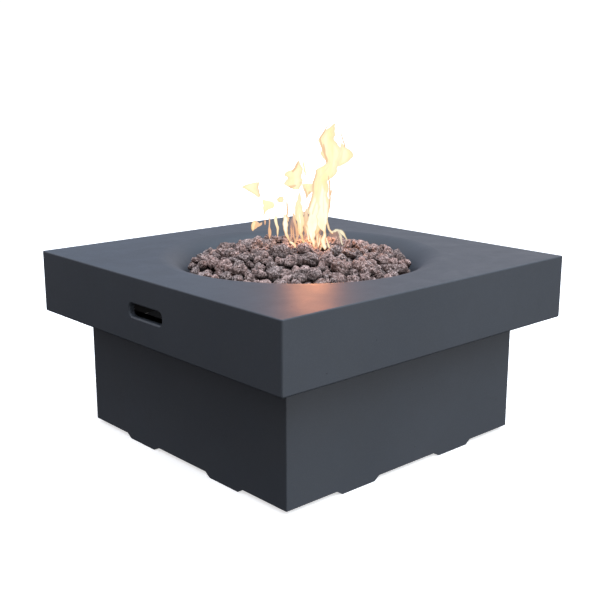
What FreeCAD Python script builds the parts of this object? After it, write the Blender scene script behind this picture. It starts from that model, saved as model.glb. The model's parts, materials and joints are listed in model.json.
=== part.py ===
import FreeCAD, Part
import math, os

V = FreeCAD.Vector
os.makedirs("parts", exist_ok=True)

# ---------------------------------------------------------------------------
# Square cast fire table: a hollow glass-fibre-reinforced concrete top over a
# hollow plinth, with a round gas burner well, a rock grate and lava rock.
# Frame: origin on the ground under the centre, +Z up.  The side with the gas
# controls is +Y; the two hand slots are on -X and +X.  Millimetres.
# ---------------------------------------------------------------------------
HEIGHT = 427.0            # ground to top of the slab
SLAB_W = 864.0            # top slab, square
SLAB_T = 146.0            # top slab, apparent thickness
SLAB_WALL = 13.0          # wall of the hollow slab
DECK_T = 13.0             # deck of the slab
SOFFIT_T = 12.0           # underside of the slab
BASE_W = 706.0            # plinth, square
BASE_WALL = 14.0
FLANGE_T = 14.0           # inward flange at the top of the plinth
WELL_HALF = 297.0         # half width of the opening through flange and soffit
FOOT_H = 10.0
FOOT_TOP = (90.0, 215.0)  # foot span along a face, at the plinth
FOOT_BOT = (105.0, 200.0) # foot span along a face, at the ground
R_VERT = 5.0              # rounding of the slab's vertical and lower edges
R_TOP = 2.5               # rounding of the slab's upper edges
R_BASE = 3.0              # rounding of the plinth's vertical edges

RIM_R = 332.0             # radius where the deck starts to roll into the bowl
ROLL_R = 72.0             # radius of the rolled rim
ROLL_A = 50.0             # slope of the bowl wall, degrees
BOWL_FLOOR = 368.0        # height of the bowl's ledge
BOWL_T = 13.0             # thickness of the bowl shell
FILLET_R = 25.0           # fillet between bowl wall and ledge
FILLET_C = 237.2          # radius of that fillet's centre
PAN_HOLE_R = 186.0        # opening in the ledge that takes the burner pan

SLOT_L = 120.0            # hand slot
SLOT_H = 29.0
SLOT_Z = 354.0
SLOT_R = 12.0
SLOT_BEVEL = 3.0

BOLT_LINE = 317.0         # joint bolts between slab and plinth
BOLT_OFF = 225.0
BOLT_R = 4.0

PAN_R = 178.0             # burner pan
PAN_FLANGE_R = 215.0
PAN_T = 1.5
PAN_FLOOR = 325.0
PAN_SCREW_R = 200.0
RING_OUT = 140.0          # burner rings
RING_IN = 75.0
RING_TUBE = 9.5
RING_Z = 345.5
PILOT_Y = 108.0

GRATE_RINGS = (205.0, 177.0, 149.0, 121.0, 93.0, 65.0, 37.0)
GRATE_ROD = 3.0
GRATE_BAR_Z = 376.0
GRATE_RING_Z = 381.5

SHIELD_R = 225.0
SHIELD_Z = 300.0
SHIELD_T = 1.2
SHIELD_BOLT_R = 212.0

PANEL_W = 210.0           # control panel on the +Y face of the plinth
PANEL_H = 120.0
PANEL_T = 2.0
CTRL_Z = 165.0
VALVE_X = -40.0
VALVE_Y = 312.0
IGN_X = 45.0
KNOB_R = 21.0
KNOB_PUSH = 6.0
BUTTON_TRAVEL = 4.0
INLET_X = -230.0
INLET_Z = 60.0

SLAB_Z = HEIGHT - SLAB_T
HS = SLAB_W / 2.0
HB = BASE_W / 2.0
HBI = HB - BASE_WALL


# --------------------------------------------------------------- helpers ---
def box(x0, x1, y0, y1, z0, z1):
    return Part.makeBox(x1 - x0, y1 - y0, z1 - z0, V(x0, y0, z0))


def cyl(r, p, h, d=(0, 0, 1)):
    return Part.makeCylinder(r, h, V(*p), V(*d))


def tube(ro, ri, p, h, d=(0, 0, 1)):
    return cyl(ro, p, h, d).cut(cyl(ri, p, h, d))


def cone(r0, r1, p, h, d=(0, 0, 1)):
    return Part.makeCone(r0, r1, h, V(*p), V(*d))


def prism(n, r, p, h, d=(0, 0, 1), turn=0.0):
    """n-sided prism, r across the corners, from p along d."""
    d = V(*d).normalize()
    u = V(1, 0, 0) if abs(d.x) < 0.9 else V(0, 1, 0)
    u = d.cross(u).normalize()
    w = d.cross(u)
    pts = []
    for k in range(n):
        a = math.radians(turn + 360.0 * k / n)
        pts.append(V(*p) + u * (r * math.cos(a)) + w * (r * math.sin(a)))
    pts.append(pts[0])
    return Part.Face(Part.makePolygon(pts)).extrude(d * h)


def fuse(shapes, clean=True):
    out = shapes[0].multiFuse(shapes[1:]) if len(shapes) > 1 else shapes[0]
    return out.removeSplitter() if clean else out


def cut(shape, tools):
    return shape.cut(Part.makeCompound(tools))


def lines(points):
    return [Part.LineSegment(V(*a), V(*b)).toShape() for a, b in zip(points[:-1], points[1:])]


def revolve(edges):
    """Full turn about Z of a closed profile given as edges in the XZ plane."""
    wire = Part.Wire(Part.__sortEdges__(edges))
    solid = Part.Face(wire).revolve(V(0, 0, 0), V(0, 0, 1), 360)
    return solid


def arc(c, r, a0, a1, sx, sz):
    """Arc in the XZ plane through three points at angle a (degrees from Z)."""
    pts = []
    for a in (a0, 0.5 * (a0 + a1), a1):
        t = math.radians(a)
        pts.append(V(c[0] + sx * r * math.sin(t), 0, c[1] + sz * r * math.cos(t)))
    return Part.Arc(*pts).toShape(), pts[0], pts[2]


def bent_tube(points, r, ri=0.0):
    """Round tube along straight runs joined by tangent arcs."""
    P = [V(*p) for p in points]
    edges, radii, here = [], [], P[0]
    for i in range(1, len(P) - 1):
        a, b, c = P[i - 1], P[i], P[i + 1]
        u, w = (a - b), (c - b)
        la, lc = u.Length, w.Length
        u.normalize()
        w.normalize()
        turn = math.pi - u.getAngle(w)
        rad = 0.45 * min(la, lc) / math.tan(turn / 2.0)
        t = rad * math.tan(turn / 2.0)
        s, e = b + u * t, b + w * t
        bis = (u + w).normalize()
        mid = b + bis * (rad / math.cos(turn / 2.0) - rad)
        edges.append(Part.LineSegment(here, s).toShape())
        edges.append(Part.Arc(s, mid, e).toShape())
        radii.append(round(rad, 1))
        here = e
    edges.append(Part.LineSegment(here, P[-1]).toShape())
    wire = Part.Wire(edges)
    d0 = (P[1] - P[0]).normalize()

    def sweep(rr):
        prof = Part.Wire([Part.Circle(P[0], d0, rr).toShape()])
        return wire.makePipeShell([prof], True, False)

    s = sweep(r)
    if ri:
        s = s.cut(sweep(ri))
    want = math.pi * (r * r - ri * ri) * wire.Length
    print("  run of tube: length %.0f, bend radii %s, volume ratio %.3f" % (wire.Length, radii, s.Volume / want))
    return s


TOTAL = [0]


def save(name, shapes):
    if not isinstance(shapes, (list, tuple)):
        shapes = [shapes]
    solids = []
    for s in shapes:
        solids += s.Solids
    bad = [s for s in solids if not s.isValid() or s.Volume <= 0]
    out = solids[0] if len(solids) == 1 else Part.makeCompound(solids)
    out.exportStep("parts/%s.step" % name)
    TOTAL[0] += 1
    print("%-24s solids %3d  volume %.1f cm3%s" % (name, len(solids), sum(s.Volume for s in solids) / 1000.0,
                                                   "  BAD %d" % len(bad) if bad else ""))


# --------------------------------------------------------- slab and bowl ---
def bowl_profile(off):
    """Edges of the bowl surface, moved off mm into the material, rim to ledge."""
    cz = HEIGHT - ROLL_R + 0.08
    e1, a0, a1 = arc((RIM_R, cz), ROLL_R - off, 0.0, ROLL_A, -1, 1)
    fz = BOWL_FLOOR + FILLET_R
    e2, b0, b1 = arc((FILLET_C, fz), FILLET_R + off, ROLL_A, 0.0, 1, -1)
    mid = Part.LineSegment(a1, b0).toShape()
    return e1, mid, e2, a0, b1


def bowl_solid(off, top):
    e1, mid, e2, a0, b1 = bowl_profile(off)
    z_low = b1.z
    close = lines([(b1.x, 0, z_low), (0, 0, z_low), (0, 0, top), (a0.x, 0, top), (a0.x, 0, a0.z)])
    return revolve([e1, mid, e2] + close)


slab = box(-HS, HS, -HS, HS, SLAB_Z, HEIGHT)
slab = slab.makeFillet(R_VERT, [e for e in slab.Edges if abs(e.Vertexes[0].Z - e.Vertexes[1].Z) > 1])
slab = slab.makeFillet(R_TOP, [e for e in slab.Edges if all(abs(v.Z - HEIGHT) < 1e-6 for v in e.Vertexes)])
slab = slab.makeFillet(R_VERT - 0.5, [e for e in slab.Edges if all(abs(v.Z - SLAB_Z) < 1e-6 for v in e.Vertexes)])

under = bowl_solid(BOWL_T, HEIGHT - DECK_T + 0.5)
hi = HS - SLAB_WALL
cavity = box(-hi, hi, -hi, hi, SLAB_Z + SOFFIT_T, HEIGHT - DECK_T).cut(under)
slab = slab.cut(cavity)
slab = slab.cut(box(-WELL_HALF, WELL_HALF, -WELL_HALF, WELL_HALF, SLAB_Z - 5, SLAB_Z + SOFFIT_T))
slab = slab.cut(bowl_solid(0.0, HEIGHT + 20))
slab = slab.cut(cyl(PAN_HOLE_R, (0, 0, BOWL_FLOOR - BOWL_T - 5), BOWL_T + 10))


def slot(x0, x1):
    s = box(x0, x1, -SLOT_L / 2, SLOT_L / 2, SLOT_Z - SLOT_H / 2, SLOT_Z + SLOT_H / 2)
    return s.makeFillet(SLOT_R, [e for e in s.Edges if abs(e.Vertexes[0].X - e.Vertexes[1].X) > 1])


slab = slab.cut(slot(-HS - 10, -hi + 10)).cut(slot(hi - 10, HS + 10))
rim_edges = []
for e in slab.Edges:
    bb = e.BoundBox
    if abs(abs(bb.XMin) - HS) < 1e-4 and abs(bb.XMax - bb.XMin) < 1e-4 and bb.YMin > -SLOT_L / 2 - 1 \
            and bb.YMax < SLOT_L / 2 + 1 and bb.ZMin > SLOT_Z - SLOT_H and bb.ZMax < SLOT_Z + SLOT_H:
        rim_edges.append(e)
slab = slab.makeChamfer(SLOT_BEVEL, rim_edges)

bolt_xy = []
for s in (-1, 1):
    for t in (-1, 1):
        bolt_xy += [(s * BOLT_LINE, t * BOLT_OFF), (t * BOLT_OFF, s * BOLT_LINE)]
slab = cut(slab, [cyl(BOLT_R + 0.5, (x, y, SLAB_Z - 2), SOFFIT_T + 4) for x, y in bolt_xy])


def ring_pts(n, r, start=0.0):
    return [(r * math.cos(math.radians(start + 360.0 * k / n)), r * math.sin(math.radians(start + 360.0 * k / n)))
            for k in range(n)]


pan_screw_xy = ring_pts(6, PAN_SCREW_R, 12.0)
shield_xy = ring_pts(4, SHIELD_BOLT_R, 45.0)
slab = cut(slab, [cyl(2.6, (x, y, BOWL_FLOOR - 9.6), 14) for x, y in pan_screw_xy])
slab = cut(slab, [cyl(2.1, (x, y, BOWL_FLOOR - BOWL_T - 2), 10.5) for x, y in shield_xy])
save("tabletop_casting", slab)

# ---------------------------------------------------------------- plinth ---
base = box(-HB, HB, -HB, HB, FOOT_H, SLAB_Z)
base = base.makeFillet(R_BASE, [e for e in base.Edges if abs(e.Vertexes[0].Z - e.Vertexes[1].Z) > 1])
base = base.cut(box(-HBI, HBI, -HBI, HBI, FOOT_H - 5, SLAB_Z - FLANGE_T))
base = base.cut(box(-WELL_HALF, WELL_HALF, -WELL_HALF, WELL_HALF, FOOT_H, SLAB_Z + 5))


def foot(sign, face):
    a, b = FOOT_TOP
    c, d = FOOT_BOT
    pts = [(sign * a, FOOT_H), (sign * b, FOOT_H), (sign * d, 0.0), (sign * c, 0.0), (sign * a, FOOT_H)]
    if face in ("-y", "+y"):
        y = -HB if face == "-y" else HB - BASE_WALL
        return Part.Face(Part.makePolygon([V(u, y, z) for u, z in pts])).extrude(V(0, BASE_WALL, 0))
    x = -HB if face == "-x" else HB - BASE_WALL
    return Part.Face(Part.makePolygon([V(x, u, z) for u, z in pts])).extrude(V(BASE_WALL, 0, 0))


base = fuse([base] + [foot(s, f) for s in (-1, 1) for f in ("-x", "+x", "-y", "+y")])
base = cut(base, [cyl(BOLT_R + 0.5, (x, y, SLAB_Z - FLANGE_T - 2), FLANGE_T + 4) for x, y in bolt_xy])
base = base.cut(box(-90, 90, HBI - 5, HB + 5, CTRL_Z - 45, CTRL_Z + 45))
base = base.cut(cyl(10.6, (INLET_X, HBI - 5, INLET_Z), BASE_WALL + 10, (0, 1, 0)))
panel_xy = [(sx * 97.5, CTRL_Z + sz * 52.0) for sx in (-1, 1) for sz in (-1, 1)]
base = cut(base, [cyl(2.0, (x, HB - 13, z), 14, (0, 1, 0)) for x, z in panel_xy])
save("base_casting", base)

# ------------------------------------------------- slab to plinth joints ---
z_w0 = SLAB_Z - FLANGE_T - 1.6
z_w1 = SLAB_Z + SOFFIT_T
bolts, washers, nuts = [], [], []
for x, y in bolt_xy:
    b = fuse([prism(6, 7.5, (x, y, z_w0 - 5.3), 5.3), cyl(BOLT_R, (x, y, z_w0 - 0.5), z_w1 + 12 - z_w0)])
    bolts.append(b)
    washers.append(tube(8.4, BOLT_R + 0.2, (x, y, z_w0), 1.6))
    washers.append(tube(8.4, BOLT_R + 0.2, (x, y, z_w1), 1.6))
    nuts.append(prism(6, 7.5, (x, y, z_w1 + 1.6), 6.5).cut(cyl(BOLT_R + 0.05, (x, y, z_w1), 12)))
save("joint_bolts", bolts)
save("joint_washers", washers)
save("joint_nuts", nuts)

# ------------------------------------------------------------ burner pan ---
wall = tube(PAN_R, PAN_R - PAN_T, (0, 0, PAN_FLOOR), BOWL_FLOOR + PAN_T - PAN_FLOOR)
floor = cyl(PAN_R, (0, 0, PAN_FLOOR), PAN_T)
flange = tube(PAN_FLANGE_R, PAN_R - PAN_T, (0, 0, BOWL_FLOOR), PAN_T)
pan = fuse([wall, floor, flange])
holes = [cyl(8.8, (0, 0, PAN_FLOOR - 2), 6)]
holes += [cyl(4.0, (x, y, PAN_FLOOR - 2), 6) for x, y in ring_pts(12, 108.0, 15.0)]
holes += [cyl(4.0, (x, y, PAN_FLOOR - 2), 6) for x, y in ring_pts(12, 162.0, 0.0)]
holes += [cyl(2.8, (x, y, BOWL_FLOOR - 2), 6) for x, y in pan_screw_xy]
holes += [cyl(3.7, (10, PILOT_Y, PAN_FLOOR - 2), 6), cyl(3.4, (-10, PILOT_Y, PAN_FLOOR - 2), 6)]
pan = cut(pan, holes)
save("burner_pan", pan)

top_z = BOWL_FLOOR + PAN_T
screws = []
for x, y in pan_screw_xy:
    s = fuse([cyl(2.5, (x, y, top_z - 10.5), 10.8), cone(4.6, 3.2, (x, y, top_z), 2.4)])
    screws.append(s.cut(box(x - 5, x + 5, y - 0.6, y + 0.6, top_z + 1.4, top_z + 3)))
save("pan_screws", screws)

# ---------------------------------------------------------------- burner ---
parts = [Part.makeTorus(RING_OUT, RING_TUBE, V(0, 0, RING_Z)), Part.makeTorus(RING_IN, RING_TUBE, V(0, 0, RING_Z)),
         cyl(22, (0, 0, 333), 24)]
for a in (45, 135, 225, 315):
    t = math.radians(a)
    parts.append(cyl(7.5, (10 * math.cos(t), 10 * math.sin(t), RING_Z), RING_OUT - 10, (math.cos(t), math.sin(t), 0)))
burner = fuse(parts, clean=False)
ports = [cyl(1.6, (x, y, RING_Z + 5), 8) for x, y in ring_pts(24, RING_OUT, 7.5)]
ports += [cyl(1.6, (x, y, RING_Z + 5), 8) for x, y in ring_pts(12, RING_IN, 15.0)]
burner = cut(burner, ports)
save("ring_burner", burner)
save("burner_standoffs", [cyl(5.0, (x, y, PAN_FLOOR + PAN_T), RING_Z - RING_TUBE + 0.6 - PAN_FLOOR - PAN_T).cut(
    Part.makeTorus(RING_OUT, RING_TUBE + 0.02, V(0, 0, RING_Z))) for x, y in ring_pts(4, RING_OUT, 0.0)])
save("burner_inlet_nipple", tube(8.5, 5.5, (0, 0, 290), 43))
save("pan_lock_nuts", [prism(6, 15, (0, 0, PAN_FLOOR + PAN_T), 6.0).cut(cyl(8.55, (0, 0, 320), 20)),
                       prism(6, 15, (0, 0, PAN_FLOOR - 8), 8.0).cut(cyl(8.55, (0, 0, 310), 20))])

# --------------------------------------------------- air mixer and jet ---
MIX_R = 14.0
mix = cyl(MIX_R, (0, 0, 235), 55).cut(cyl(11.0, (0, 0, 239), 46)).cut(cyl(5.5, (0, 0, 280), 15))
mix = fuse([mix, tube(19, 13, (0, 0, 235), 4)])
mix = mix.cut(cyl(5.0, (0, 0, 230), 12))
windows = []
for a in (0, 120, 240):
    w = box(5, 30, -6, 6, 244, 264)
    w.rotate(V(0, 0, 0), V(0, 0, 1), a + 30)
    windows.append(w)
mix = cut(mix, windows)
save("air_mixer", mix)

shutter = tube(16.6, 14.35, (0, 0, 239.4), 31)
windows = []
for a in (0, 120, 240):
    w = box(5, 30, -6.5, 6.5, 243.5, 264.5)
    w.rotate(V(0, 0, 0), V(0, 0, 1), a + 30)
    windows.append(w)
shutter = cut(shutter, windows)
tab = box(15.8, 27, -1.2, 1.2, 248, 262)
tab.rotate(V(0, 0, 0), V(0, 0, 1), -30)
shutter = fuse([shutter, tab])
save("air_shutter", shutter)

jet = fuse([prism(6, 11.5, (0, 0, 221), 14), cyl(4.9, (0, 0, 230), 13), cone(4.9, 2.2, (0, 0, 243), 5), cyl(7.8, (0, 0, 213), 9)])
jet = jet.cut(cyl(1.0, (0, 0, 210), 45))
save("orifice_holder", jet)

# ----------------------------------------------------------- heat shield ---
shield = cyl(SHIELD_R, (0, 0, SHIELD_Z), SHIELD_T)
shield = cut(shield, [cyl(9.2, (0, 0, SHIELD_Z - 2), 6)] + [cyl(2.3, (x, y, SHIELD_Z - 2), 6) for x, y in shield_xy] +
             [cyl(7.0, (10, PILOT_Y, SHIELD_Z - 2), 6), cyl(5.0, (-10, PILOT_Y, SHIELD_Z - 2), 6)])
save("heat_shield", shield)
sp_z = SHIELD_Z + SHIELD_T
sp_h = BOWL_FLOOR - BOWL_T - sp_z
save("heat_shield_spacers", [tube(5.0, 2.4, (x, y, sp_z), sp_h) for x, y in shield_xy])
save("heat_shield_screws", [fuse([prism(6, 4.6, (x, y, SHIELD_Z - 3.2), 3.2), cyl(2.0, (x, y, SHIELD_Z - 1), sp_h + 9)])
                            for x, y in shield_xy])

# ------------------------------------------------------------ pilot unit ---
pz = PAN_FLOOR + PAN_T
brk = fuse([box(-22, 22, PILOT_Y - 12, PILOT_Y + 12, pz, pz + 1.5),
            box(-22, 22, PILOT_Y - 12, PILOT_Y - 10.5, pz, 363),
            box(-22, 22, PILOT_Y - 12, PILOT_Y + 8, 361.5, 363)])
brk = cut(brk, [cyl(3.7, (10, PILOT_Y, pz - 1), 4), cyl(3.4, (-10, PILOT_Y, pz - 1), 4),
                cyl(1.7, (0, PILOT_Y - 5, pz - 1), 4), cyl(1.7, (0, PILOT_Y + 7, pz - 1), 4)])
save("pilot_bracket", brk)
save("pilot_rivets", [cone(3.0, 2.0, (0, PILOT_Y + d, pz + 1.5), 1.3) for d in (-5, 7)])
save("spark_electrode", fuse([cyl(3.4, (10, PILOT_Y, 318), 30), cyl(5.0, (10, PILOT_Y, 329), 3),
                              cyl(1.1, (10, PILOT_Y, 314), 43)]))
save("thermocouple", fuse([cyl(3.0, (-10, PILOT_Y, 314), 36), cone(3.0, 1.6, (-10, PILOT_Y, 350), 6),
                           prism(6, 5.4, (-10, PILOT_Y, 329), 4)]))

# -------------------------------------------------------------- grate -----
rods = [Part.makeTorus(r, GRATE_ROD, V(0, 0, GRATE_RING_Z)) for r in GRATE_RINGS]
for x, y in ring_pts(8, 1.0, 0.0):
    rods.append(cyl(GRATE_ROD, (34.5 * x, 34.5 * y, GRATE_BAR_Z), 178.0, (x, y, 0)))
    rods.append(cyl(GRATE_ROD - 0.2, (209.0 * x, 209.0 * y, top_z + 0.3), GRATE_BAR_Z - top_z - 0.3))
grate = fuse(rods, clean=False)
save("rock_grate", grate)

# ---------------------------------------------------------- lava rock ------
# Each stone is a convex block: a template shape, half sizes along its own
# axes, a centre and an orientation (quaternion x, y, z, w).
TEMPLATES = [
    ([(-0.559, -0.809, 0.062), (0.384, 0.629, 0.654), (-0.085, -0.094, 0.977), (0.957, 0.217, -0.083), (-0.383, 0.907, 0.002), (-0.817, 0.307, -0.457), (-0.391, -0.367, -0.826), (0.66, -0.513, -0.521), (0.254, 0.791, -0.529), (0.565, -0.794, 0.144), (-0.853, 0.245, 0.427)],
     [(10, 0, 2), (0, 6, 7), (7, 8, 3), (6, 8, 7), (5, 8, 6), (5, 0, 10), (5, 6, 0), (3, 8, 1), (10, 2, 1), (9, 2, 0), (0, 7, 9), (9, 7, 3), (3, 1, 9), (9, 1, 2), (10, 1, 4), (4, 1, 8), (4, 5, 10), (8, 5, 4)]),
    ([(0.584, 0.198, 0.768), (-0.771, 0.089, 0.607), (0.714, -0.567, 0.373), (-0.811, -0.126, -0.545), (0.914, -0.211, -0.299), (-0.002, -0.898, -0.404), (-0.009, 0.747, 0.642), (-0.015, -0.161, -0.972), (-0.157, 0.866, -0.442), (-0.495, -0.757, 0.39), (0.544, 0.543, -0.616)],
     [(3, 8, 7), (4, 0, 2), (0, 9, 2), (1, 9, 0), (1, 8, 3), (3, 9, 1), (4, 7, 10), (10, 7, 8), (10, 0, 4), (5, 2, 9), (5, 9, 3), (3, 7, 5), (5, 7, 4), (4, 2, 5), (8, 1, 6), (6, 1, 0), (6, 10, 8), (0, 10, 6)]),
    ([(0.252, 0.094, 0.947), (-0.528, -0.832, 0.01), (0.347, 0.589, -0.71), (0.938, 0.245, 0.172), (-0.325, 0.527, -0.766), (0.238, -0.805, 0.515), (-0.262, 0.87, 0.381), (-0.953, -0.203, 0.146), (-0.025, -0.342, -0.923), (0.806, -0.445, -0.351), (-0.725, -0.012, 0.667)],
     [(3, 6, 0), (7, 6, 4), (4, 8, 7), (10, 6, 7), (10, 0, 6), (3, 0, 5), (0, 10, 5), (2, 6, 3), (2, 4, 6), (8, 4, 2), (3, 5, 9), (9, 2, 3), (8, 2, 9), (7, 8, 1), (1, 10, 7), (1, 5, 10), (8, 9, 1), (1, 9, 5)]),
    ([(-0.936, 0.213, 0.22), (-0.211, 0.345, -0.898), (-0.19, 0.85, 0.461), (0.643, 0.512, 0.542), (0.837, -0.519, 0.002), (-0.009, -0.967, -0.189), (-0.422, -0.716, 0.528), (0.245, -0.43, -0.852), (-0.799, -0.042, -0.574), (0.348, -0.155, 0.909), (0.686, 0.57, -0.418)],
     [(0, 2, 1), (9, 2, 0), (10, 1, 2), (0, 1, 8), (4, 5, 7), (7, 10, 4), (1, 10, 7), (7, 8, 1), (5, 8, 7), (6, 5, 4), (4, 9, 6), (6, 9, 0), (0, 8, 6), (6, 8, 5), (2, 9, 3), (3, 10, 2), (3, 9, 4), (4, 10, 3)]),
    ([(0.373, -0.894, 0.177), (0.05, 0.692, -0.699), (-0.1, 0.617, 0.761), (0.555, 0.812, -0.051), (-0.909, -0.017, 0.38), (0.822, -0.349, -0.415), (0.795, 0.183, 0.552), (-0.036, -0.412, 0.894), (-0.125, -0.099, -0.972), (-0.519, -0.834, -0.075), (-0.909, 0.377, -0.043)],
     [(4, 7, 2), (2, 10, 4), (5, 3, 6), (3, 2, 6), (6, 2, 7), (9, 7, 4), (4, 10, 9), (9, 10, 8), (8, 10, 1), (1, 3, 5), (5, 8, 1), (1, 2, 3), (10, 2, 1), (7, 9, 0), (5, 6, 0), (0, 6, 7), (0, 8, 5), (0, 9, 8)]),
]
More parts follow.
